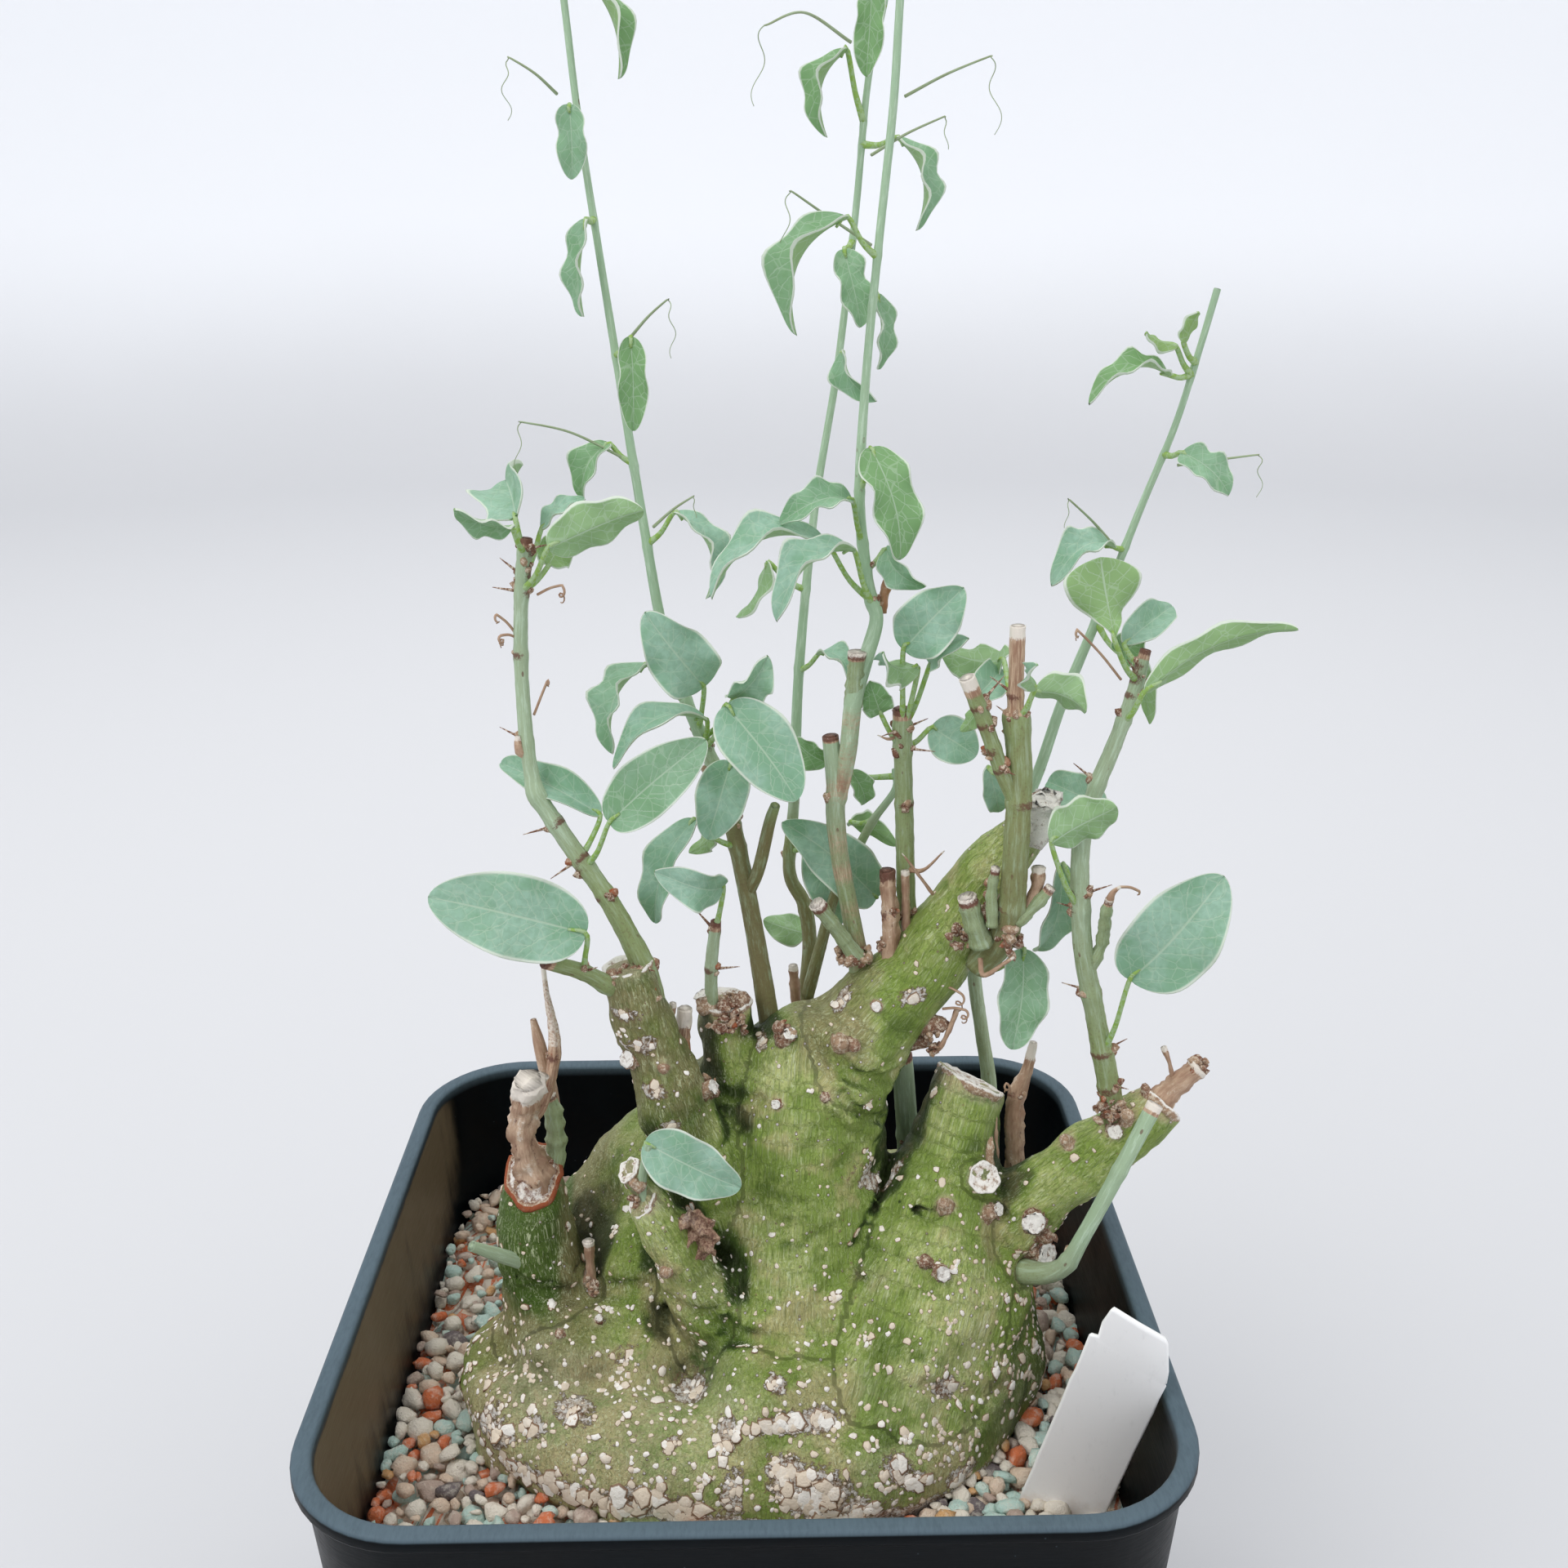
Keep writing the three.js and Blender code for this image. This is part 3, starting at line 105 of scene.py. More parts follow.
# Folds pressed into the skin: half width, depth, route
FOLDS = [
    (1.0, 0.7, [(27.5, 0, 148), (25.7, -4.5, 145), (23.5, -9, 142.5), (21.8, -12.5, 140.8), (20.4, -14.6, 138.6),
                (18.4, -17, 135.8), (15.8, -19.4, 134.2), (13, -21.3, 133)]),
    (1.3, 0.9, [(-14, -21, 133), (-10, -23, 131), (-4, -22, 128), (-2, -24, 126), (3, -26, 127), (7, -29, 126)]),
    (2.6, 1.1, [(-49, -15, 116), (-41, -23, 119.5), (-34, -26, 118), (-27, -25.5, 118)]),
    (1.5, 1.2, [(-40, -16, 131), (-33, -14.6, 129), (-25.6, -12.8, 129), (-18, -14, 130)]),
    (0.5, 1.0, [(-47, -10, 134), (-42, -16, 134), (-39, -16, 133), (-35, -14, 133), (-31, -10, 133)]),
    (0.9, 1.4, [(29.5, -8.5, 144.6), (32.4, -11.5, 144.7), (34.5, -13.3, 144.3), (36, -13, 145)]),
    (0.9, 1.3, [(48, -9, 143), (50, -12, 141), (52, -13, 138)]),
    (1.8, 0.6, [(24, -29, 124), (22, -30, 122), (21, -34, 117)]),
    (1.1, 0.9, [(32, -31, 121), (36, -30, 118), (43, -28, 115), (48, -24, 114)]),
    (0.8, 0.9, [(-6, -2, 165), (-2, -3, 164), (3, -5, 165)]),
    (1.0, 1.3, [(18, -8, 167), (20, -7, 164), (23, -5, 161), (26, 0, 157)]),
    (1.3, 2.0, [(13, -3, 180), (15, -4, 176), (17, -6, 173), (20, -6, 170), (24, -5, 168), (29, 0, 167)]),
    (0.8, 0.9, [(9, -9.5, 170), (14, -9, 166), (18, -9, 160), (23, -6, 156)]),
    (0.7, 0.7, [(6, -10, 167), (12, -11, 162), (17, -11, 157)]),
    (0.9, 0.9, [(-1, -12, 149), (5, -14, 148), (11, -14, 148)]),
    (0.8, 0.8, [(0, -12, 156), (8, -13, 154.5), (15, -12, 155)]),
]

# Crusts of white cork: middle, reach along, reach across, number of grains, grain radius
CRUSTS = [
    ((7, -37, 117.5), 7.5, 0.9, 46, 1.1), ((13.5, -36.5, 117.5), 1.8, 1.2, 14, 1.2),
    ((-10, -24.5, 115.5), 2.6, 1.2, 16, 1.0), ((12, -43.5, 108), 4.6, 3.2, 60, 1.2),
    ((16, -44, 104), 5.5, 2.2, 46, 1.2), ((7, -42, 110.5), 2.6, 2.2, 22, 1.0),
    ((-4, -37.5, 115.5), 1.8, 1.6, 12, 0.8), ((-14, -37.5, 114), 0.6, 0.6, 3, 1.0),
    ((37, -29.5, 119), 0.9, 1.6, 9, 0.9), ((27, -40, 110), 1.5, 1.6, 14, 0.9), ((30, -40, 107), 1.7, 1.0, 12, 0.9),
    ((25.5, -5, 148), 0.3, 3.0, 9, 0.7), ((-40, -31.5, 113), 1.6, 1.0, 12, 1.0), ((-46, -29, 110), 2.6, 1.6, 16, 0.9),
    ((-32, -30.5, 116), 2.6, 1.0, 12, 0.9), ((-41, -34, 105), 5.5, 1.2, 40, 1.2),
    ((-30, -38.5, 104.5), 5.5, 1.3, 44, 1.2), ((-19, -42, 105), 6.0, 1.8, 56, 1.3),
    ((-12, -42.5, 103.5), 4.0, 1.8, 34, 1.2), ((-3, -44, 108), 1.3, 2.6, 14, 0.8),
    ((5, -32.5, 123), 1.1, 0.7, 5, 0.7), ((-22, -21, 120), 1.0, 1.5, 8, 0.7), ((-48.5, -26, 111), 1.4, 2.0, 10, 0.8),
    ((40, -36, 104), 3.0, 1.4, 18, 0.8), ((-16, -14, 172), 0.5, 1.0, 3, 0.8), ((-19, -12, 181), 0.4, 1.2, 3, 0.8),
    ((-13, -14, 164), 0.4, 0.8, 3, 0.7), ((-21, -12, 187), 0.6, 0.8, 3, 0.8), ((-12.5, -14, 157), 0.4, 0.6, 3, 0.7),
    ((31, -3, 185), 0.8, 1.0, 5, 0.8), ((18, 1, 182.5), 0.8, 1.2, 4, 1.0), ((3, 1, 173.5), 0.5, 0.7, 3, 0.8),
]

# Knobs, buds and short sawn stubs on the body: foot, direction, radius, length, and kind: 0 a bud, 1 a sawn
# stub, 2 a white knob that stands right at its foot
KNOBS = [
    ((-7.5, -9, 169.5), (0.7, -0.4, 0.5), 1.3, 2.2, 1), ((-6.5, -7, 167.5), (0.8, -0.3, 0.3), 1.2, 2.0, 0),
    ((-14, -22.5, 141), (-0.3, -0.9, 0.1), 1.3, 1.6, 0), ((-31, -11, 130), (0.5, -0.5, 0.7), 1.0, 1.8, 0),
    ((-28, -18, 126), (0.2, -0.4, 0.9), 0.7, 0.7, 1), ((-35, -20.5, 124.5), (-0.1, -0.6, 0.8), 1.1, 0.9, 0),
    ((37, -12, 146), (-0.4, -0.6, 0.8), 1.5, 2.4, 0), ((45.5, -10.5, 143), (0.3, -0.7, 0.6), 1.7, 2.0, 0),
    ((47.5, -10, 143.5), (0.6, -0.6, 0.5), 1.2, 1.8, 1), ((54, -11.5, 142), (-0.1, -0.9, 0.4), 2.0, 2.8, 1),
    ((56.5, -11.5, 138.5), (0.4, -0.9, 0.1), 1.6, 2.4, 0), ((56, -10.5, 132.5), (0.6, -0.8, 0.2), 2.3, 3.4, 1),
    ((54.5, -11, 134.5), (0.2, -0.9, 0.4), 1.3, 2.0, 0), ((33, -18.5, 138), (-0.2, -0.8, 0.6), 1.4, 2.2, 0),
    ((35.5, -18, 136), (0.2, -0.9, 0.4), 1.4, 2.2, 1), ((71, -8, 162), (-0.2, -0.7, 0.7), 1.7, 2.6, 0),
    ((69, -8.5, 159.5), (-0.2, -0.9, 0.3), 1.3, 1.8, 1), ((61, -6, 155), (-0.6, -0.3, 0.8), 1.4, 2.2, 0),
    ((24.5, -3, 183), (-0.2, -0.9, 0.3), 0.9, 0.9, 1), ((18, -4, 176), (0, -0.9, 0.5), 1.7, 2.2, 0),
    ((19.5, -4.3, 175.5), (0.4, -0.9, 0.2), 1.3, 1.6, 0), ((7, 0, 176), (-0.3, -0.4, 0.9), 1.6, 3.2, 0),
    ((8.5, -0.5, 175.5), (0.3, -0.5, 0.8), 1.3, 2.2, 1), ((15, -8, 167), (0, -0.9, 0.3), 0.9, 0.6, 0),
    ((6, -7, 165), (-0.4, -0.8, 0.4), 0.9, 0.9, 1), ((35, 1.5, 177), (0.9, -0.4, 0.1), 2.0, 3.6, 0),
    ((36, 1, 170.5), (0.9, -0.4, 0.3), 1.8, 3.4, 0), ((-7, 3, 181), (-0.5, 0, 0.9), 1.7, 2.4, 1),
    ((-1, 4, 181), (0.5, -0.3, 0.9), 1.8, 2.6, 0), ((-4, 1.5, 180.5), (0, -0.6, 0.8), 1.6, 2.0, 0),
    ((45.6, -4, 149.5), (0.1, 0.3, 0.95), 1.0, 5.0, 0), ((-19.5, -20, 157), (-0.7, -0.2, 0.6), 1.2, 1.8, 0),
    ((75, -6, 166), (-0.3, 0.1, 0.9), 1.0, 2.0, 0), ((-23.5, -12, 176), (-0.5, -0.8, 0.3), 1.5, 1.2, 1),
    ((-9, -12, 157), (0.3, -0.9, 0.2), 0.8, 0.8, 0), ((-14.5, -13, 176), (0.2, -0.9, 0.3), 1.0, 1.0, 0),
    ((53.6, -2, 219), (0.06, -0.3, 0.95), 3.0, 4.6, 2),
]

# Heaps of brown bud scales and crumbs: middle, reach, number, grain radius
SCALES = [
    ((-20.5, -9, 192), (3.6, 2.6, 2.6), 46, 0.9), ((-18, -11, 188), (3, 1.5, 3), 26, 0.8),
    ((-3.7, 3, 180.5), (4.2, 3.8, 1.2), 40, 0.7), ((-3.5, 0, 178), (4.2, 1.2, 2.0), 22, 0.7),
    ((42, -1, 197), (5.5, 3.5, 2.0), 54, 0.9), ((48, -7, 198), (2.6, 1.6, 3.5), 26, 0.9),
    ((44, -5, 204), (1.2, 1.0, 5), 20, 0.7), ((20.5, 4, 190), (3.6, 3.0, 1.6), 34, 0.8),
    ((27.5, 5, 191.5), (3.0, 2.2, 1.6), 30, 0.8), ((54.6, 0, 216.6), (2.2, 2.0, 1.2), 10, 0.6),
    ((68, -7.5, 164), (3.0, 2.0, 2.6), 36, 0.8), ((84.6, -5, 170.8), (1.8, 1.8, 1.6), 26, 0.7),
    ((56, -9.5, 136.5), (3.0, 1.6, 3.0), 24, 0.8), ((54.5, -10, 142.5), (2.2, 1.6, 1.6), 16, 0.8),
    ((-39.9, -8.5, 150.8), (3.6, 3.4, 1.2), 40, 0.7), ((46, -10, 143), (1.8, 1.2, 1.6), 12, 0.7),
    ((34, -18, 137.5), (1.6, 1.2, 1.6), 10, 0.7), ((-19, -20, 153.5), (2.0, 2.0, 1.2), 16, 0.6),
    ((-7, -7, 169), (1.8, 1.2, 2.4), 14, 0.6), ((18.5, -4, 176), (2.4, 1.0, 1.4), 14, 0.6),
    ((7.5, -1, 177), (1.8, 1.2, 2.0), 16, 0.6), ((35.5, 0, 174), (1.6, 1.6, 3.0), 14, 0.7),
    ((-29, -13, 129), (1.4, 1.0, 2.0), 8, 0.6), ((30, 14, 165), (2.0, 2.0, 1.2), 12, 0.6),
]

# Kinds of stem: slot, roughness, darkness of its nodes, length of its dry end, scales at each node
KINDS = {"old": ("old_stem", 1.2, 0.9, 2.2, 3), "green": ("green_stem", 0.6, 0.4, 1.2, 2),
         "dead": ("dead_wood", 3.5, 0.9, 4.0, 3)}

# Stems, one for each CAD node: kind, routes (x, y, z, radius; the first stands in the body), leaves (start of
# the stalk, base of the blade, tip, width, turn in degrees, fold in degrees, arch as a share of the length,
# and where it isn't 0.8 the power of the blade's outline)
STEMS = {
    "stem_left": ("old", [
        [(-17, -7.5, 176, 2.5), (-17, -6.8, 190, 2.2), (-23.3, -5.6, 205, 1.75), (-29.8, -4, 215, 1.65),
         (-34.6, -2.5, 222.3, 1.65),
         (-36.2, -2, 225, 1.85), (-36.9, -1, 228, 1.4), (-37.6, 0, 234, 1.3), (-38.1, 2, 245, 1.25),
         (-37.8, 3, 256, 1.25), (-36.4, 4, 269, 1.2)],
        [(-17, -7, 186, 1.8), (-21, -9, 189, 1.8), (-25, -12, 193, 1.6), (-28, -14, 196, 1.4),
         (-34, -18, 200, 1.3)],
    ], [
        [(-37, 4, 267), (-38, 4, 273), (-43, 24, 277), 14, 20, 35, 0],
        [(-37, 2, 267), (-38, -2, 272), (-45, -12, 276), 5, 60, 25, 0.05],
        [(-38, 3, 260), (-31, -2, 269), (-16, 0, 275), 9, 150, 20, 0.1],
        [(-38, 3, 261), (-33, 8, 264), (-31, 14, 269), 7, 170, 20, 0.1],
        [(-37, 3, 263), (-34, 10, 270), (-27, 12, 275), 4, 40, 20, 0.15],
        [(-28, -4, 213), (-26, -1, 221), (-44, 8, 228), 8, -25, 35, 0.12],
        [(-27, -5, 212), (-22, -10, 223), (-6, -14, 238), 11, 5, 12, 0.02],
        [(-28, -14, 196), (-28, -17, 205), (-52, -22, 214), 15, 0, 10, 0],
    ]),
    "vine_left": ("green", [
        [(6, 10, 162, 2.2), (5, 10, 171, 2.1), (2, 11, 192, 1.8), (-1, 12, 209, 1.65), (-3, 12, 218, 1.55),
         (-6, 13, 227, 1.3), (-10, 14, 237, 1.15), (-14, 15, 250, 1), (-17, 17, 269, 0.85), (-20, 18, 291, 0.75),
         (-23, 20, 313, 0.66), (-26, 22, 336, 0.62), (-28, 24, 357, 0.6), (-31, 27, 385, 0.55),
         (-36, 30, 410, 0.5)],
        [(1, 11.5, 200, 1.2), (3, 9, 206, 1.2), (5, 6, 216, 1.1), (6, 4, 220, 0.9)],
    ], [
        [(-28, 24, 356), (-23, 22, 357), (-18, 20, 343), 6, 60, 40, 0.12],
        [(-26, 22, 337), (-27, 17, 338), (-27, 16, 327), 6, 0, 18, 0.02],
        [(-24, 20, 319), (-25, 16, 320), (-27, 16, 305), 6, -50, 30, 0.05],
        [(-21, 19, 299), (-18, 14, 301), (-18, 13, 286), 6, 5, 15, 0.03],
        [(-18, 18, 280), (-23, 18, 283), (-28, 16, 274), 7, -30, 30, 0.25],
        [(-17, 17, 267), (-11, 15, 271), (-5, 12, 257), 7, 50, 35, 0.25],
        [(-8, 13, 232), (-7, 8, 242), (-16, 2, 256), 12, 0, 15, 0.12],
        [(-10, 14, 238), (-17, 12, 244), (-24, 6, 230), 9, -50, 35, 0.25],
        [(-7, 13, 228), (-7, 8, 235), (-23, 2, 229), 7, -50, 30, 0.28],
        [(-7, 13, 230), (-1, 6, 240), (5, 2, 248), 8, -30, 30, 0.15],
        [(-6, 13, 228), (-2, 2, 239), (10, -6, 225), 13, 5, 10, 0.03],
        [(-6, 12, 226), (-2, 4, 228), (-6, -2, 216), 10, 5, 18, 0.04],
        [(-2, 12, 214), (-6, 16, 210), (-10, 20, 205), 4, 150, 20, 0.1],
        [(-1, 12, 210), (-9, 6, 216), (-17, 4, 197), 8, -30, 30, 0.25],
        [(-30, 26, 376), (-36, 25, 379), (-40, 24, 368), 6, -40, 30, 0.2],
        [(-33, 28, 396), (-29, 27, 400), (-24, 26, 391), 5, 40, 30, 0.2],
        [(-36, 30, 409), (-38, 29, 413), (-42, 28, 410), 3, -30, 30, 0.2],
    ]),
    "vine_back": ("green", [
        [(12, 15, 150, 1.8), (12, 20, 157, 1.8), (12, 24, 168, 1.7), (13, 25, 182, 1.5), (12, 26, 191, 1.45),
         (9, 27, 198, 1.3), (10, 28, 213, 1.1), (11, 28, 239, 0.95), (14, 28, 270, 0.75), (18, 28, 295, 0.66),
         (21, 28, 321, 0.62), (23, 28, 343, 0.6), (26, 28, 358, 0.6), (31, 28, 395, 0.55), (34, 27, 430, 0.5),
         (33, 25, 456, 0.5)],
        [(12.5, 24, 172, 1.4), (15, 21, 184, 1.2), (18, 19, 197, 1), (22, 18, 206, 0.9), (25, 18, 212, 0.8),
         (29, 18, 218, 0.7), (29, 18, 222, 0.7)],
    ], [
        [(23, 28, 337), (19, 26, 347), (15, 24, 334), 7, -55, 40, 0.22],
        [(25, 28, 355), (23, 22, 356), (22, 20, 343), 6, 0, 18, 0.02],
        [(22, 28, 331), (28, 24, 333), (32, 20, 319), 7, 50, 35, 0.2],
        [(21, 28, 316), (19, 24, 315), (22, 20, 303), 7, 10, 15, 0.04],
        [(18, 28, 296), (19, 25, 298), (24, 20, 290), 6, -50, 40, 0.2],
        [(12, 28, 253), (5, 26, 260), (0, 24, 250), 5, 120, 20, 0.1],
        [(11, 28, 240), (15, 24, 243), (21, 18, 239), 6, 40, 25, 0.3],
        [(29, 18, 221), (16, 20, 223), (10, 22, 227), 6, 20, 25, 0.2],
        [(20, 19, 202), (25, 17, 197), (8, 14, 213), 12, 0, 25, 0.15],
        [(10, 27, 203), (14, 24, 205), (19, 22, 188), 9, 0, 15, 0.1],
        [(12, 26, 189), (12, 30, 183), (4, 34, 184), 7, 170, 15, 0.1],
        [(25, 18, 212), (21, 22, 210), (30, 26, 204), 5, 150, 20, 0.25],
        [(28, 28, 372), (34, 26, 376), (39, 24, 365), 7, 40, 30, 0.2],
        [(30, 28, 388), (25, 26, 393), (20, 24, 382), 7, -40, 30, 0.2],
        [(32, 28, 408), (37, 26, 412), (41, 24, 402), 6, 40, 30, 0.2],
        [(34, 27, 428), (30, 26, 433), (26, 25, 424), 5, -40, 30, 0.2],
        [(33, 25, 446), (37, 24, 450), (40, 23, 444), 4, 40, 30, 0.2],
        [(33, 25, 455), (31, 24, 459), (28, 23, 460), 3, -20, 30, 0.1],
    ]),
    "vine_front": ("green", [
        [(23, 8, 178, 2.3), (22, 7, 186, 2.1), (20, 6, 198, 1.7), (18, 5, 209, 1.7), (17, 4, 218, 1.75),
         (17, 4, 224, 1.7), (16, 4, 233, 1.5)],
        [(17, 4, 219, 1.4), (19, 3, 230, 1.6), (20, 3, 240, 1.6), (22, 4, 247, 1.4), (24, 5, 254, 1.25),
         (23, 6, 258, 1.15), (22, 7, 264, 1), (21, 8, 276, 0.9), (22, 9, 296, 0.75), (24, 10, 318, 0.7),
         (26, 11, 338, 0.68), (27, 12, 356, 0.65), (29, 14, 384, 0.6), (28, 16, 412, 0.55), (25, 17, 434, 0.5)],
    ], [
        [(23, 10, 316), (18, 7, 320), (9, 4, 303), 10, -50, 40, 0.25],
        [(23, 9.5, 307), (24, 13, 308), (25, 14, 296), 5, 50, 25, 0.1],
        [(21, 7, 267), (19, 5, 275), (7, 2, 272), 7, -30, 30, 0.25],
        [(21, 8, 276), (23, 6, 283), (28, 0, 266), 10, 10, 15, 0.12],
        [(22, 7, 263), (26, 8, 266), (32, 4, 260), 6, -40, 30, 0.25],
        [(23, 6, 257), (14, 4, 268), (-5, -2, 261), 9, -45, 30, 0.25],
        [(23, 5, 257), (19, 0, 267), (6, -8, 258), 9, -45, 35, 0.25],
        [(18, 5, 222), (20, 8, 225), (23, 10, 218), 5, 20, 25, 0.15],
        [(28, 13, 370), (33, 11, 373), (38, 8, 361), 7, 40, 30, 0.2],
        [(29, 14, 388), (24, 12, 393), (19, 9, 383), 6, -40, 30, 0.2],
        [(28, 16, 408), (33, 15, 411), (37, 13, 402), 5, 40, 30, 0.2],
        [(26, 17, 426), (22, 16, 430), (19, 15, 424), 4, -40, 30, 0.2],
        [(25, 17, 433), (26, 16, 438), (29, 15, 440), 3, 20, 30, 0.1],
    ]),
    "stem_cut": ("old", [[(32, 7, 184, 2), (31, 8, 193, 1.75), (30, 8, 215, 1.7), (29, 7, 237, 1.7)]], [
        [(29, 7, 235), (29, 2, 250), (38, -2, 261), 11, 0, 15, 0.05],
        [(29, 7, 230), (25, 6, 237), (23, 4, 243), 6, 0, 15, 0.1],
        [(29, 7, 234), (31, 3, 246), (24, -4, 250), 7, 140, 30, 0.15],
        [(29, 7, 233), (34, 6, 246), (39, 0, 252), 6, 20, 30, 0.2],
        [(30, 8, 228), (35, 9, 233), (43, 8, 228), 9, 0, 12, 0.05],
    ]),
    "stem_thick": ("old", [
        [(44, 1, 190, 2.6), (47, -4, 197, 2.6), (48, -7, 205, 2.45), (48, -9, 217, 2.3), (48, -9, 230, 2.2),
         (47, -9, 241, 2.1), (47, -9, 241.6, 1.8), (46.8, -9, 243, 1.35), (46.6, -9, 256, 1.3)],
        [(48, -9, 224, 1.5), (44, -10, 233, 1.35), (41, -11, 241, 1.35), (38, -12, 248, 1.4)],
    ], [
        [(47, -8, 241), (46, 4, 247), (37, 14, 246), 10, 160, 20, 0.2],
        [(40, -11, 243), (41, -2, 242), (47, 6, 245), 7, 0, 20, 0.1],
        [(41, -11, 240), (41, -6, 241), (39, -2, 236), 4, 150, 20, 0.1],
        [(48, -9, 238), (50, -10, 245), (58, -14, 243), 8, 140, 35, 0.3],
        [(48, -9, 240), (49, -14, 247), (47, -22, 253), 4, 140, 25, 0.1],
        [(44, -10, 232), (44, 0, 228), (47, 4, 218), 5, 0, 20, 0.1],
    ]),
    "stem_right": ("old", [
        [(70, -5, 154, 2.4), (69, -6, 162, 2.3), (67, -7, 171, 2.0), (64, -7, 184, 1.85), (61, -7, 198, 1.8),
         (60, -6, 215, 1.65), (62, -5, 225, 1.5), (65, -4, 233, 1.4), (68, -3, 242, 1.2), (70, -2, 250, 1)],
    ], [
        [(60.5, -6, 219), (66, 6, 219), (57, 14, 221), 8, 0, 20, 0.15],
        [(60.5, -7, 204), (54, -12, 219), (64, -14, 226), 9, 160, 20, 0.1],
        [(60.5, -7, 207), (58, 0, 209), (55, 4, 190), 7, 20, 25, 0.2],
        [(66, -7, 176), (69, -14, 194), (82, -18, 214), 16, 0, 12, 0.05],
        [(68, -3, 245), (63, -8, 254), (61, -2, 266), 14, 180, 15, 0.12, 2.4],
        [(66, -4, 237), (70, -8, 245), (92, -12, 257), 6, 150, 25, 0.12],
        [(68, -3, 242), (70, 2, 247), (74, 6, 235), 4, 150, 20, 0.1],
        [(69, -2.5, 247), (68, 4, 250), (78, 12, 255), 7, 20, 25, 0.1],
    ]),
    "vine_right": ("green", [
        [(45, 19, 121, 1.8), (48, 21, 136, 1.8), (50, 22, 150, 1.6), (48, 22, 164, 1.4), (46, 22, 177, 1.4),
         (46, 22, 188, 1.3), (50, 21, 203, 1.2), (56, 20, 219, 1.1), (60, 18, 235, 1), (65, 16, 251, 0.85),
         (71, 14, 271, 0.68), (76, 13, 286, 0.6), (79, 12, 299, 0.58), (81, 11, 309, 0.62)],
    ], [
        [(46, 22, 178), (52, 2, 191), (50, -4, 174), 10, 10, 15, 0.08],
        [(69, 15, 264), (66, 13, 265), (55, 8, 260), 8, -40, 30, 0.3],
        [(65, 16, 252), (69, 12, 246), (72, 8, 250), 7, 0, 20, 0.1],
        [(75, 13, 281), (77, 9, 282), (84, 4, 276), 7, 0, 20, 0.2],
        [(78, 12.5, 294), (73, 10, 295), (59, 4, 292), 6, -40, 30, 0.25],
        [(78, 12, 296), (74, 9, 300), (68, 6, 302), 3, 150, 20, 0.1],
        [(78, 12, 297), (75, 7, 301), (76, 4, 306), 3, 150, 20, 0.05],
    ]),
    "stem_short": ("old", [[(-4, 4, 172, 1.3), (-6, 2.5, 181, 1.2), (-6, 1, 190, 1.2), (-5, 0, 199, 1)]],
                   [[(-5, 0, 197), (-4, -2, 207), (-15, -8, 212), 8, 20, 20, 0.25]]),
    "leaf_front": ("green", [[(-16, -20, 148, 0.9), (-18, -20, 152.5, 0.9), (-18.5, -20.5, 158, 0.8),
                              (-17, -22, 166, 0.8)]],
                   [[(-17, -22, 165), (-17, -22, 166), (-1, -26, 159), 11, 0, 8, 0.02]]),
    "shoot_right": ("green", [[(53, -12, 131, 2.0), (56, -16, 133.5, 1.9), (59, -19, 137.5, 1.7),
                               (62, -20, 145, 1.45),
                               (68, -19, 158, 1.4), (74, -16, 169, 1.5)]], []),
    "shoots_left_stub": ("dead", [
        [(-39, -7.5, 142, 3.2), (-39.5, -8.5, 151, 3.4), (-41, -10, 158, 2.5), (-41, -10, 164, 2.5),
         (-39.9, -11, 169.5, 2.7),
         (-39.2, -12.3, 173, 2.9)],
        [(-39, -8, 149, 1.4), (-36, -4, 155, 1.2), (-36.5, -3, 165, 1.4), (-38, -3, 175, 1.2), (-39, -3, 181, 0.6)],
        [(-40.5, -9.5, 162, 1.2), (-37, -7, 167, 1.0), (-35, -5, 177, 1.1), (-36, -5, 188, 0.5),
         (-36.4, -5, 196, 0.35)],
    ], []),
    "stub_brown": ("dead", [[(-12.5, -3, 160, 1.4), (-12, -1.5, 170, 1.4), (-11, -1.5, 182, 1.4)]], []),
    "stub_grey": ("dead", [[(27, 5, 184, 1.6), (27.5, 4, 194, 1.6), (26.5, 4, 207, 1.4)]], []),
    "twig_right": ("dead", [[(49, 4, 125, 1.8), (53, 6, 138, 1.8), (53, 8, 156, 1.8), (55, 8, 163, 1.1),
                             (56, 8, 169, 0.8)]], []),
    "shoot_behind": ("green", [[(33, 17, 128, 2.3), (33, 16, 140, 2.3), (32, 14, 152, 2.2), (31, 12.5, 164, 2)]],
                     []),
    "spur_left": ("green", [[(-37, -11, 131, 1.5), (-42, -14, 136, 1.4), (-46, -17, 140, 1.3), (-50, -20, 144, 1)]],
                  []),
}

# Age of the bark: height up to which it is old, height from which it is young, its age above and below, and
# the share of dry wood below
AGES = {
    "stem_left": (205, 225, 0.35, 0.75, 0), "vine_left": (212, 236, 0.05, 1.0, 0),
    "vine_back": (195, 225, 0.05, 0.95, 0),
    "vine_front": (195, 262, 0.05, 0.7, 0.3), "stem_cut": (200, 240, 0.6, 0.75, 0.1),
    "stem_thick": (195, 240, 0.78, 0.92, 0),
    "stem_right": (160, 215, 0.4, 0.8, 0), "vine_right": (165, 220, 0.05, 0.5, 0),
    "stem_short": (175, 200, 0.4, 0.6, 0.1),
    "shoot_right": (130, 145, 0.2, 0.6, 0.3), "shoot_behind": (130, 150, 0.35, 0.6, 0.1),
    "other": (130, 170, 0.2, 0.4, 0.1),
}
DRY_TOP = STEMS["stem_thick"][1][0][-1]  # this stem is dry wood near its end
CREAM_ENDS = ("stem_thick", "stub_brown", "shoots_left_stub", "twig_right", "shoot_right", "spur_left")

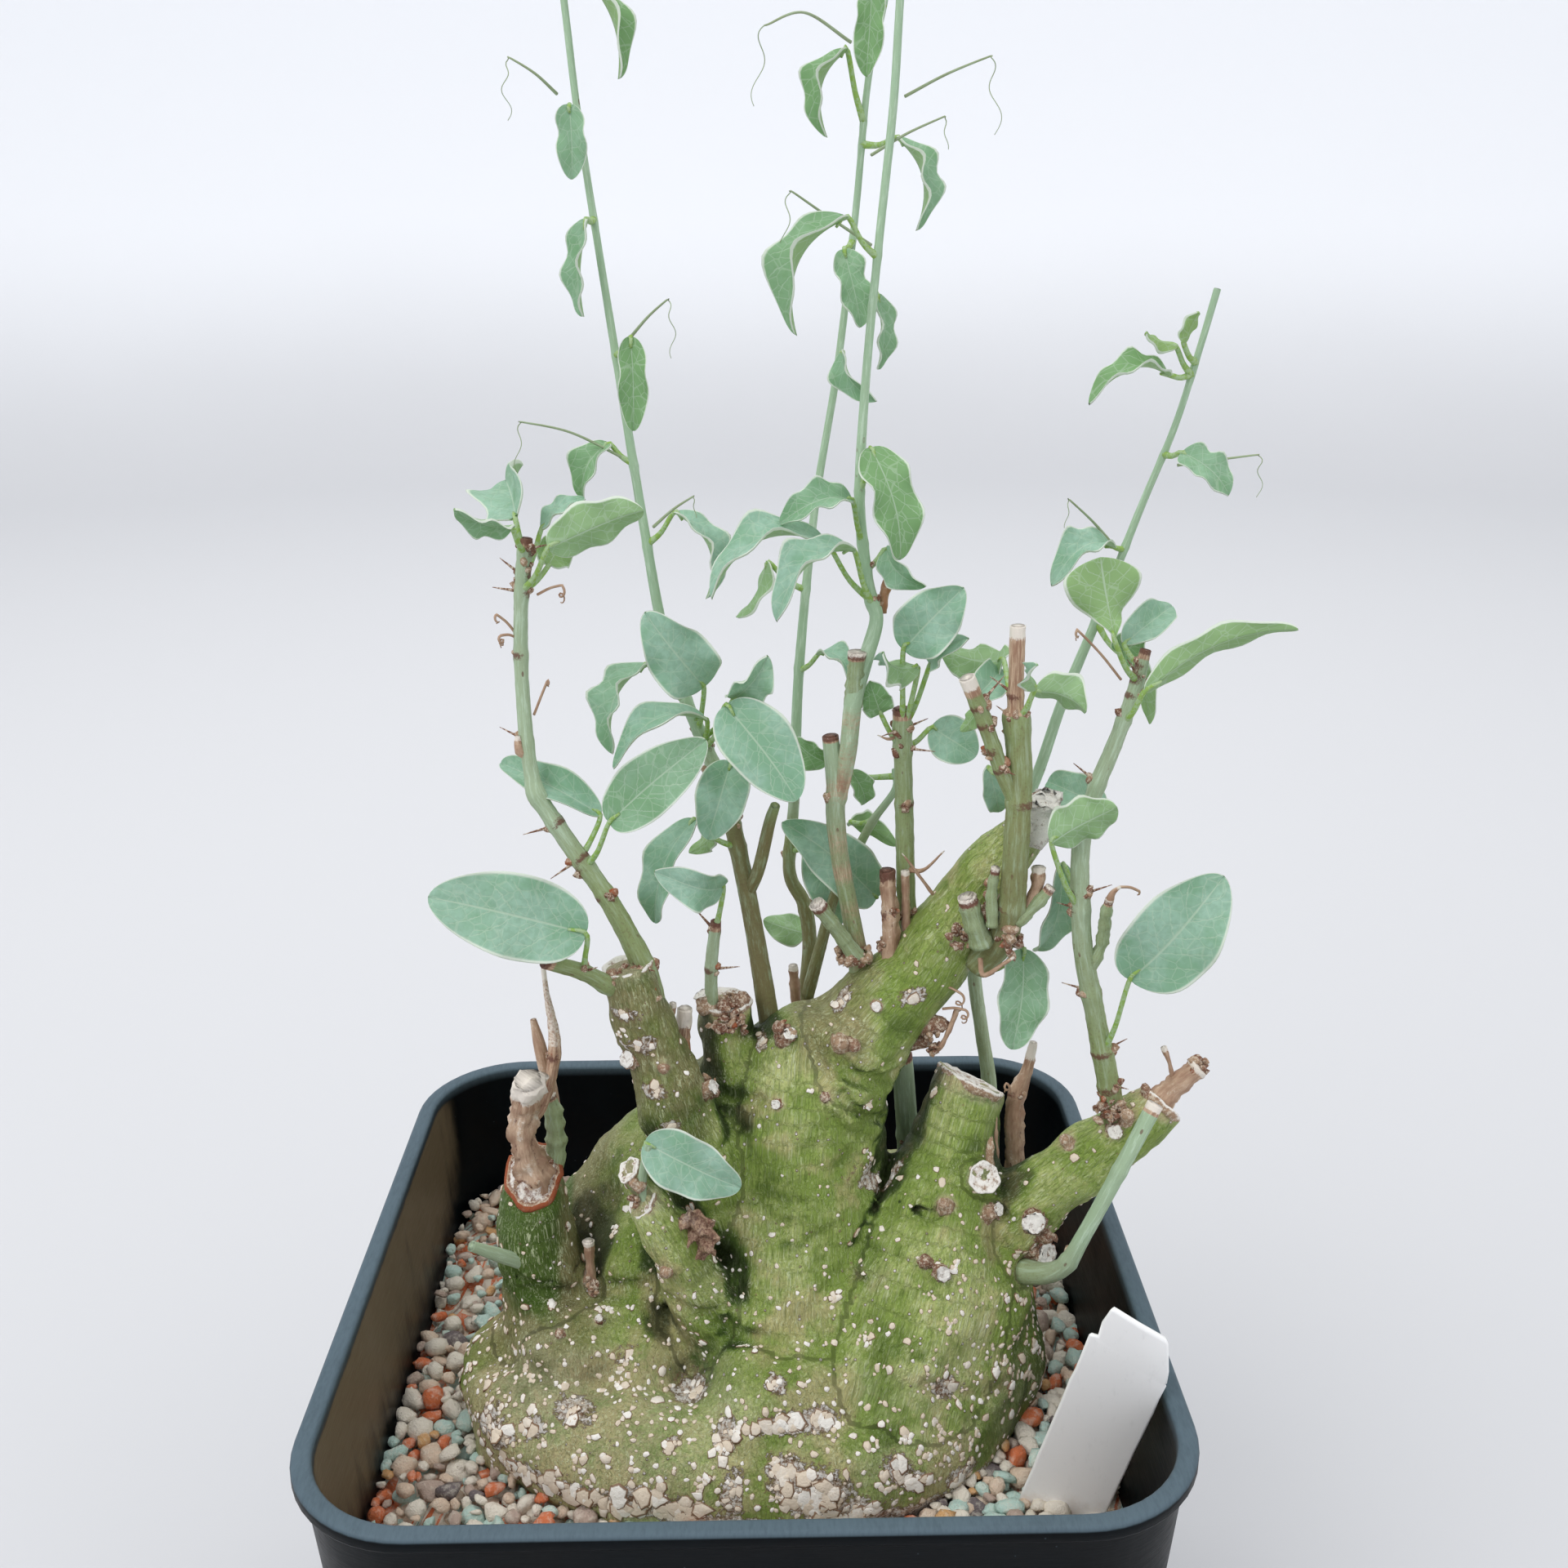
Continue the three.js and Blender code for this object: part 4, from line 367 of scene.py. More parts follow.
# Tendrils: straight part as a route, then a loose curl that drops from its end: reach and number of turns
TENDRILS = [
    ([(-19.6, 18, 280.4), (-28.8, 14, 285.7), (-36.6, 10, 288)], 3.5, 0.6),
    ([(-30, 27, 340.8), (-33.1, 23.5, 343.7), (-37, 22, 346)], 4, 1.2),
    ([(-18.4, 20, 301.3), (-11.6, 14, 307.7)], 4, 1.1), ([(-15.1, 14, 269.2), (-7.8, 8, 275.4)], 1.5, 0.5),
    ([(19.3, 16, 347.6), (11.6, 10, 351.3), (5.7, 9.3, 349.5)], 5, 0.6),
    ([(29.3, 28, 340.3), (42.3, 20, 345.7)], 5, 0.7), ([(22.7, 14, 330.4), (33.6, 6, 335.7)], 2, 0.5),
    ([(22.9, 14, 316.3), (14.9, 10, 321.2), (9.5, 6, 324.6)], 5, 0.8),
    ([(67.6, 16, 264.6), (57.5, 8, 274.3)], 2, 0.5), ([(77, 13, 279.5), (84, 9.5, 281), (89, 7, 282)], 3, 0.8),
]

# Dried tendrils: start, tip from which the thread curls down, reach of the curl, number of turns
DRY_CURLS = [
    ((-38.8, 3, 252.7), (-41.6, 1, 256.6), 1.0, 1.2), ((-38.8, 2.5, 252.2), (-41.1, 1, 252.9), 1.1, 2.4),
    ((-34.7, 3, 259.6), (-30.2, 0, 261.8), 1.6, 1.7), ((-36.2, 1, 238.6), (-33.4, 0, 245), 0.6, 1.3),
    ((65.6, -4, 245.4), (57.3, -6, 254.6), 0.9, 1.4), ((36, -0.5, 186), (40, -2, 185), 2.0, 1.5),
    ((37, -0.5, 181), (41, -2, 181.5), 1.6, 1.8), ((51.5, 4.5, 160), (50.5, 4, 162.5), 1.2, 1.3),
    ((66.5, -10, 209.3), (69.8, -10, 208.5), 0.5, 0.8),
]

# Short side shoots that are still green, then dry twigs and thorns, all as routes
GREEN_TWIGS = [
    [(21.5, 4, 189, 1.7), (18, 2.5, 195, 1.6), (13.6, 0, 202.3, 1.55)],
    [(43.2, -5, 196.5, 2.1), (41.5, -6, 201, 1.9), (40.0, -6.5, 206, 1.7)],
    [(44.6, -7.5, 201, 1.1), (44.2, -8, 208, 1.0), (44.6, -8.5, 212.5, 0.8)],
    [(49, -7.5, 201.5, 1.2), (52.4, -8, 205.5, 1.1), (54.6, -8, 208.4, 1.1)],
    [(-38, -6.5, 147, 1.6), (-36, -4.8, 154, 1.9), (-36, -4.2, 161, 1.8), (-36.8, -4, 166, 1.4)],
    [(62, -7, 191, 1.3), (64.4, -7.5, 197, 1.2), (64.5, -9, 203.6, 1.1), (64.8, -9.8, 206.8, 0.8)],
    [(20.0, 3.4, 239, 1.65), (20.3, 3.2, 244, 1.75), (20.5, 3, 248.6, 1.6)],
]
DRY_TWIGS = [
    [(-29.5, -12, 127, 1.0), (-29.8, -11, 133, 0.85), (-30, -10.5, 138, 1.2)],
    [(37.9, 0, 198.3, 0.5), (37.7, 0, 190, 0.5), (36.3, 0, 185, 0.4)],
    [(39.8, 0, 180.8, 0.5), (39.1, 0, 178.2, 0.5), (37.1, 0, 173.1, 0.5), (35.5, 1, 171, 0.7)],
    [(48, 2, 157.7, 0.6), (48.2, 1, 153, 0.5), (48.3, 0, 147, 0.8)],
    [(76, -5, 161, 3.4), (78.4, -5, 164, 2.6), (81, -5, 167, 2.15), (84.6, -5, 170.5, 2.0)],
    [(80.1, -5, 168, 0.6), (79.2, -5, 171.5, 0.4), (77.9, -5, 174.7, 0.6)],
    [(25, 7, 255, 1.0), (25.4, 7, 258, 0.9), (26.8, 7, 262.8, 0.95)],
    [(50.3, -7.5, 203, 1.0), (52.4, -6.5, 208, 1.2), (52.6, -6.2, 211.4, 1.5)],
    [(30.6, 4.5, 185, 0.9), (30.4, 5, 196, 0.8), (30.0, 5.2, 206.5, 0.75)],
    [(43, -5, 193.5, 0.45), (43.5, -7, 191, 0.45), (46.8, -8.5, 194, 0.35), (48.5, -9, 195.5, 0.2)],
    [(-13, -8, 169, 1.0), (-13.4, -8.5, 171, 1.1), (-13.2, -9, 173, 0.7)],
    [(-13, -3, 172, 1.3), (-14, -4, 176, 1.3), (-15, -5, 181, 1.0), (-16, -6, 184, 0.9)],
    [(-14, -4, 176, 0.8), (-13.6, -4.5, 181, 0.6), (-13, -5, 185, 0.7)],
    [(10.5, 20, 163, 1.2), (10, 19, 174, 1.1), (9.5, 18.5, 181, 1.0)],
    [(-40, -9.6, 166, 0.7), (-38, -9, 170, 0.9), (-37, -8.7, 172.5, 1.2)],
    [(64.8, -9.8, 206.4, 0.8), (65.2, -10, 208.2, 0.5), (66.5, -10, 209.3, 0.3)],
    [(31, 7, 206, 0.5), (33.3, 3, 207.7, 0.35), (36.5, 0, 212.5, 0.12)],
    [(34.9, 2, 203.2, 0.35), (30.9, 0, 209.4, 0.28), (28.8, -1, 212.5, 0.1)],
    [(29, 8, 233, 0.4), (26.9, 6, 231.9, 0.3), (24.6, 6, 232.7, 0.1)],
    [(-37.6, 0, 231.5, 0.9), (-38.8, -1, 232.6, 0.9), (-39, -1, 235.2, 0.6)],
]
AMBER_TWIG = 6  # place of the orange-brown twig in the list


# ---------------------------------------------------------------- shapes


def unit(vectors):
    """Each vector divided by its own length."""
    vectors = np.asarray(vectors, float)
    return vectors / (np.linalg.norm(vectors, axis=-1, keepdims=True) + 1e-12)


def circle(sides):
    """The angles of a ring's points."""
    return np.arange(sides) * 2 * np.pi / sides


def spokes(turn, side, up):
    """The directions cos a side + sin a up, one for each angle."""
    return np.cos(turn)[:, None] * side + np.sin(turn)[:, None] * up


def facing_frame(facing, hint):
    """Unit vectors along a direction, across it, and square to both; the hint is any direction off it."""
    ahead = unit(facing)
    side = unit(np.cross(ahead, hint))
    return ahead, side, np.cross(ahead, side)


def smooth_step(value, low, high):
    """0 below low, 1 above high, and 3t2 - 2t3 between them."""
    t = np.clip((value - low) / (high - low), 0, 1)
    return t * t * (3 - 2 * t)


def waves(points, size, seed, octaves=2):
    """Smooth relief between about -1 and 1: the sum of eight sine waves that run in random directions, one
    wave about every size millimetres, and for each further octave half as long and half as high."""
    random = np.random.default_rng(seed)
    total = np.zeros(len(points))
    for octave in range(octaves):
        run = unit(random.normal(size=(8, 3))) * 2 * np.pi / size * 2**octave
        total += np.sin(points @ run.T + random.uniform(0, 2 * np.pi, 8)).sum(1) / 2**octave
    return total / 4


def smooth_route(route, steps):
    """Points on the cubic through a route's points whose slope at each is half the span of its neighbours;
    the ends are carried on by their own last step."""
    rows = np.array(route, float)
    rows = np.vstack([2 * rows[0] - rows[1], rows, 2 * rows[-1] - rows[-2]])
    a, b, c, d = (rows[i : len(rows) - 3 + i, None] for i in range(4))
    t = (np.arange(steps) / steps)[None, :, None]
    curve = 0.5 * (2 * b + (c - a) * t + (2 * a - 5 * b + 4 * c - d) * t**2 + (3 * b - a - 3 * c + d) * t**3)
    return np.vstack([curve.reshape(-1, rows.shape[1]), rows[-2]])


def length_run(points):
    """The length run along a path at each of its points: the sum of the steps before it."""
    return np.append(0, np.cumsum(np.linalg.norm(np.diff(points[:, :3], axis=0), axis=1)))


def even_route(route, step):
    """The smooth route in even steps, with the length along it at each of its points."""
    dense = smooth_route(route, 10)
    run = length_run(dense)
    along = np.linspace(0, run[-1], max(int(run[-1] / step), 2) + 1)
    return np.stack([np.interp(along, run, column) for column in dense.T], 1), along


def cross_frame(centres):
    """At each point of a path its direction and two unit vectors square to it, the first of them the
    direction that the whole path runs along least."""
    ahead = unit(np.gradient(centres, axis=0))
    least = np.linalg.eigh(ahead.T @ ahead)[1][:, 0]
    across = unit(least - (ahead @ least)[:, None] * ahead)
    return ahead, across, np.cross(ahead, across)


def part(points, quads, threes=None, finish=0, **traits):
    """One closed surface: points, four-sided and three-sided faces, number of its finish, and traits that
    its finish reads at each point."""
    if threes is None:
        threes = np.zeros((0, 3), int)
    return {"points": points, "quads": quads, "threes": threes, "finish": finish, "traits": traits}


def ring_faces(rows, sides):
    """The numbers of the points of stacked rings, the same numbers one side on, and the faces between each
    ring and the next."""
    grid = np.arange(rows * sides).reshape(rows, sides)
    turned = np.roll(grid, -1, 1)
    return grid, turned, np.stack([grid[:-1], turned[:-1], turned[1:], grid[1:]], -1).reshape(-1, 4)


def copies(faces, count, size):
    """The same faces for each of a number of like shapes that have size points and follow one another."""
    return (faces + (np.arange(count) * size)[:, None, None]).reshape(-1, faces.shape[-1])


def loft(rings, finish=0, **traits):
    """A closed skin over rings of points (rings, sides, 3) that run anticlockwise seen from ahead; a fan
    about its own middle closes each end. A trait is one number, one for each ring or point, or a vector
    for each point."""
    rows, sides = rings.shape[:2]
    grid, turned, quads = ring_faces(rows, sides)
    tail = np.full(sides, rows * sides)
    fans = [np.stack([turned[0], grid[0], tail], -1), np.stack([grid[-1], turned[-1], tail + 1], -1)]
    closed = {}
    for name, trait in dict(traits, points=rings).items():
        trait = np.asarray(trait, float)
        single = trait.ndim < 3
        flat = (np.broadcast_to(trait, (rows, sides)) if single else trait).reshape(rows * sides, -1)
        closed[name] = np.vstack([flat, flat[:sides].mean(0), flat[-sides:].mean(0)])
        if single:
            closed[name] = closed[name][:, 0]
    return part(closed.pop("points"), quads, np.vstack(fans), finish, **closed)


def tube(centres, radii, sides, finish=0, relief=0.0, **traits):
    """A round skin along a path: centre + radius (cos a across + sin a up), with the radius times
    1 + relief. Its grain trait is (R cos a, R sin a, length run), so a pattern follows it."""
    _, across, up = cross_frame(centres)
    turn = circle(sides)
    reach = np.asarray(radii, float)[:, None] * (1 + relief)
    rings = centres[:, None] + reach[..., None] * spokes(turn, across[:, None], up[:, None])
    round_grain = np.mean(radii) * np.array([np.cos(turn), np.sin(turn)])
    grain = np.stack(np.broadcast_arrays(*round_grain, length_run(centres)[:, None]), -1)
    return loft(rings, finish, grain=grain, **traits)


def square_ring(half, corner, z, steps, middles):
    """A level square with round corners, anticlockwise: each corner an arc in steps, each side in middles."""
    turn = np.linspace(0, np.pi / 2, steps + 1)
    side = np.linspace(-1, 1, middles + 2)[1:-1] * (half - corner)
    quarter = np.stack([np.append(np.full(middles, half), half - corner + corner * np.cos(turn)),
                        np.append(side, half - corner + corner * np.sin(turn))], 1)
    turned = [quarter @ np.array([[c, s], [-s, c]]) for c, s in ((1, 0), (0, 1), (-1, 0), (0, -1))]
    return np.column_stack([np.vstack(turned), np.full(len(quarter) * 4, z)])


def mesh_object(name, points, faces, finishes):
    """A smooth object in metres from points in millimetres, lists of their numbers for its faces, and finishes."""
    if not np.isfinite(points).all():
        raise RuntimeError(f"{name} has a point without a place")
    mesh = bpy.data.meshes.new(name)
    mesh.from_pydata((points * MM).tolist(), [], faces)
    mesh.polygons.foreach_set("use_smooth", np.full(len(faces), True))
    for finish in finishes:
        mesh.materials.append(finish)
    made = bpy.data.objects.new(name, mesh)
    bpy.context.scene.collection.objects.link(made)
    return made


def make_piece(name, parts, finishes, nodes=()):
    """Joins parts into one object with their traits, and puts it in the frame."""
    start = np.cumsum([0] + [len(p["points"]) for p in parts])
    groups = [(p["finish"], p[kind] + s) for kind in ("quads", "threes") for p, s in zip(parts, start)]
    faces = [face for _, group in groups for face in group.tolist()]
    piece = mesh_object(name, np.concatenate([p["points"] for p in parts]), faces, finishes)
    mesh = piece.data
    numbers = np.concatenate([np.full(len(group), number) for number, group in groups])
    mesh.polygons.foreach_set("material_index", numbers)
    for trait in sorted({key for p in parts for key in p["traits"]}):
        shape = next(p["traits"][trait].shape[1:] for p in parts if trait in p["traits"])
        values = [p["traits"].get(trait, np.zeros((len(p["points"]), *shape))) for p in parts]
        layer = mesh.attributes.new(trait, "FLOAT_VECTOR" if shape else "FLOAT", "POINT")
        layer.data.foreach_set("vector" if shape else "value", np.concatenate(values).astype(np.float32).ravel())
    mesh.update()
    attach(piece, "root")
    if nodes:
        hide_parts(*nodes)


# ---------------------------------------------------------------- the body's surface


def smooth_min(a, b, blend):
    """The lesser of two distances, rounded off where they differ by less than blend."""
    near = np.maximum(blend - np.abs(a - b), 0) / blend
    return np.minimum(a, b) - near * near * blend / 4


def swelling_distance(points, centre, radii, turn):
    """Distance to a stretched ball: k (k - 1) / slope, where k is how many radii out a point lies."""
    angle = np.radians(turn)
    x, y, z = (points - centre).T
    local = np.stack([x * np.cos(angle) + y * np.sin(angle), y * np.cos(angle) - x * np.sin(angle), z], 1) / radii
    near = np.linalg.norm(local, axis=1)
    return near * (near - 1) / (np.linalg.norm(local / radii, axis=1) + 1e-9)


def path_distance(points, spots):
    """Distance to a path less its own radius (fourth column), and the place of the nearest point along it."""
    least, where = np.full(len(points), 1e9), np.zeros(len(points))
    run = 0.0
    for a, b in zip(spots[:-1], spots[1:]):
        step = b[:3] - a[:3]
        share = np.clip((points - a[:3]) @ step / (step @ step), 0, 1)
        gap = np.linalg.norm(points - a[:3] - share[:, None] * step, axis=1) - a[3] - share * (b[3] - a[3])
        where = np.where(gap < least, run + share * np.linalg.norm(step), where)
        least = np.minimum(least, gap)
        run += np.linalg.norm(step)
    return least, where


def limb_distance(points, spots, facing, margin=12):
    """Distance to a tapering limb with a flat cut end; far points get a plain lower bound."""
    low = (spots[:, :3] - spots[:, 3:]).min(0) - margin
    high = (spots[:, :3] + spots[:, 3:]).max(0) + margin
    out = margin + np.linalg.norm(np.maximum(np.maximum(low - points, points - high), 0), axis=1)
    near = out <= margin
    gap, _ = path_distance(points[near], spots)
    if facing is not None:
        gap = np.maximum(gap, (points[near] - spots[-1, :3]) @ unit(facing))
    out[near] = gap
    return out


BODY_LIMBS = [(smooth_route(route, 4), blend, facing) for route, blend, facing in LIMBS]


def plain_distance(points):
    """Distance to the smooth body: all swellings and limbs melted together, and a slow ripple."""
    least = np.full(len(points), 1e3)
    for centre, radii, turn, blend in SWELLINGS:
        least = smooth_min(least, swelling_distance(points, centre, radii, turn), blend)
    for spots, blend, facing in BODY_LIMBS:
        least = smooth_min(least, limb_distance(points, spots, facing), blend)
    x, y, z = points.T
    ripple = np.sin(x * 0.21 + 1.3 * np.sin(z * 0.13)) * np.sin(y * 0.19 + 0.7)
    return least - 0.7 * ripple * np.sin(z * 0.23 + x * 0.05)


def skin_distance(points):
    """Distance to the body's skin: the smooth body with lumps, wrinkles round the trunk and pressed folds."""
    least = plain_distance(points)
    close = np.abs(least) < 4
    near = points[close]
    x, y, z = near.T
    trunk = smooth_step(z, 118, 135) * smooth_step(26 - np.abs(x - 10), 0, 8)
    wrinkle = np.sin((z + 1.8 * waves(near, 24, 3, 1) - 0.25 * (x - 10)) * np.pi / 5.2)
    crease = -np.exp(-((wrinkle / 0.28) ** 2)) * smooth_step(waves(near, 17, 11), -0.35, 0.35)
    relief = 0.5 * waves(near, 15, 1) + 0.2 * waves(near, 5, 2) + trunk * (0.2 * np.abs(wrinkle) + 0.5 * crease)
    for width, depth, route in FOLDS:
        path = np.column_stack([np.array(route, float), np.zeros(len(route))])
        gap = limb_distance(near, path, None, 6)
        relief -= 1.45 * depth * (np.exp(-((gap / width) ** 2)) - 0.25 * np.exp(-(((gap - 2.2 * width) / width) ** 2)))
    least[close] = least[close] - relief * smooth_step(4 - np.abs(least[close]), 0, 1.5)
    return least


def field_surface(field, low, high, cell, block=4):
    """The zero surface of a distance as a mesh: one point in each lattice cell that it crosses, at the mean
    of the cell's crossed edges, and a face for each lattice edge that it crosses. The distance is worked out
    on a coarse lattice first and then only close to the surface."""
    count = (np.ceil((np.array(high) - low) / cell / block).astype(int) + 1) * block
    ticks = [low[k] + cell * np.arange(0, count[k], block) + cell * (block - 1) / 2 for k in range(3)]
    coarse = field(np.stack(np.meshgrid(*ticks, indexing="ij"), -1).reshape(-1, 3)).reshape(count // block)
    value = coarse.repeat(block, 0).repeat(block, 1).repeat(block, 2)
    close = np.argwhere(np.abs(value) < cell * block * 1.4)
    value[tuple(close.T)] = field(np.array(low) + cell * close)
    inside = value < 0
    corners = np.array([(i, j, k) for i in (0, 1) for j in (0, 1) for k in (0, 1)])
    edges = [(a, b) for a in range(8) for b in range(a + 1, 8) if np.abs(corners[a] - corners[b]).sum() == 1]
    size = np.array(inside.shape) - 1
    full = sum(inside[tuple(slice(c, c + s) for c, s in zip(corner, size))].astype(np.int8) for corner in corners)
    cells = np.argwhere((full > 0) & (full < 8))
    at = [value[tuple((cells + corner).T)] for corner in corners]
    total, crossed = np.zeros((len(cells), 3)), np.zeros(len(cells))
    for a, b in edges:
        hit = (at[a] < 0) != (at[b] < 0)
        share = np.where(hit, at[a] / np.where(hit, at[a] - at[b], 1), 0)
        total += hit[:, None] * (corners[a] + share[:, None] * (corners[b] - corners[a]))
        crossed += hit
    points = np.array(low) + cell * (cells + total / crossed[:, None])
    number = np.full(inside.shape, -1)
    number[tuple(cells.T)] = np.arange(len(cells))
    faces = []
    for axis in range(3):
        u, v = np.eye(3, dtype=int)[[(axis + 1) % 3, (axis + 2) % 3]]
        here = np.take(inside, np.arange(inside.shape[axis] - 1), axis)
        there = np.take(inside, np.arange(1, inside.shape[axis]), axis)
        edge = np.argwhere(here != there)
        around = np.stack([number[tuple((edge - a * u - b * v).T)] for a, b in ((0, 0), (1, 0), (1, 1), (0, 1))], 1)
        outwards = here[tuple(edge.T)]
        faces.append(np.where(outwards[:, None], around, around[:, ::-1]))
    return points, np.concatenate(faces)


def surface_normals(points, quads):
    """Unit normals of a four-sided mesh at its points: the sum of its faces' diagonal cross products."""
    cross = np.cross(points[quads[:, 2]] - points[quads[:, 0]], points[quads[:, 3]] - points[quads[:, 1]])
    total = np.stack([np.bincount(quads.ravel(), np.repeat(cross[:, k], 4), len(points)) for k in range(3)], 1)
    return unit(total)


def limb_grain(points):
    """For each point a vector in millimetres that runs slowly along its nearest limb and fast round it."""
    reach = 3  # a limb gives the grain up to this far from its surface
    best = np.full(len(points), 7.0)
    grain = points * [1, 1, 0.45]
    for number, (spots, _, facing) in enumerate(BODY_LIMBS):
        if facing is None and number != TRUNK:
            continue
        gap, where = path_distance(points, spots)
        axis = np.stack([np.interp(where, length_run(spots), spots[:, k]) for k in range(3)], 1)
        ahead = unit(spots[-1, :3] - spots[0, :3])
        off = points - axis
        off = off - (off @ ahead)[:, None] * ahead
        pick = gap < np.minimum(best, reach)
        grain[pick] = (off + ahead * (0.3 * where)[:, None])[pick]
        best = np.where(pick, gap, best)
    return grain


def stuck_on(points, normals, radii, heights, seed, finish=0, tone=0.0):
    """Low lumps sunk into a skin, one at each point: four rings of seven, a brown skirt that lies on the skin
    and a pale crown, each ring point drawn in or out at random, and a point on top."""
    random = np.random.default_rng(seed)
    count, rows, sides = len(points), 4, 7
    side = unit(np.cross(normals, unit(random.normal(size=(count, 3)))))
    up = np.cross(normals, side)
    turn = circle(sides)
    radii, heights = radii[:, None, None], heights[:, None, None]
    wobble = 1 + 0.22 * random.normal(size=(count, 1, sides)).clip(-1.5, 1.5)
    reach = np.array([1.3, 1.18, 0.86, 0.42])[:, None] * wobble * radii
    rise = np.array([-0.5, 0.14, 0.62, 0.95])[:, None] * heights * (1 + 0.1 * random.normal(size=(count, rows, sides)))
    stretch = (1 + 0.5 * random.random(count) ** 2)[:, None, None]
    rings = (points[:, None, None] + (reach * stretch * np.cos(turn))[..., None] * side[:, None, None]
             + (reach * np.sin(turn))[..., None] * up[:, None, None] + rise[..., None] * normals[:, None, None])
    grid, turned, quads = ring_faces(rows, sides)
    top = np.full(sides, rows * sides)
    fans = np.vstack([np.stack([grid[-1], turned[-1], top], -1), np.stack([turned[0], grid[0], top + 1], -1)])
    ends = [points[:, None] + normals[:, None] * heights, points[:, None] - normals[:, None] * heights * 0.5]
    size = rows * sides + 2
    tones = np.tile(np.append(np.repeat([1.0, 1.0, 0.15, 0.0], sides), [0.0, 1.0]), count) + tone
    cloud = np.concatenate([rings.reshape(count, -1, 3), *ends], 1)
    return part(cloud.reshape(-1, 3), copies(quads, count, size), copies(fans, count, size), finish,
                tone=tones, tint=np.repeat(random.random(count), size))


# ---------------------------------------------------------------- finishes


def colour(code):
    """A screen colour such as #80a060 as linear red, green, blue and alpha."""
    shares = np.array([int(code[i : i + 2], 16) / 255 for i in (1, 3, 5)])
    return (*np.where(shares > 0.04045, ((shares + 0.055) / 1.055) ** 2.4, shares / 12.92).tolist(), 1.0)


class Signal:
    """A number, colour or vector inside a finish; sums on it add Math nodes."""

    def __init__(self, finish, socket):
        self.finish, self.socket = finish, socket

    def __add__(self, other):
        return self.finish.maths("ADD", self, other)

    def __sub__(self, other):
        return self.finish.maths("SUBTRACT", self, other)

    def __mul__(self, other):
        return self.finish.maths("MULTIPLY", self, other)

    def __radd__(self, other):
        return self.finish.maths("ADD", other, self)

    def __rsub__(self, other):
        return self.finish.maths("SUBTRACT", other, self)

    def __rmul__(self, other):
        return self.finish.maths("MULTIPLY", other, self)


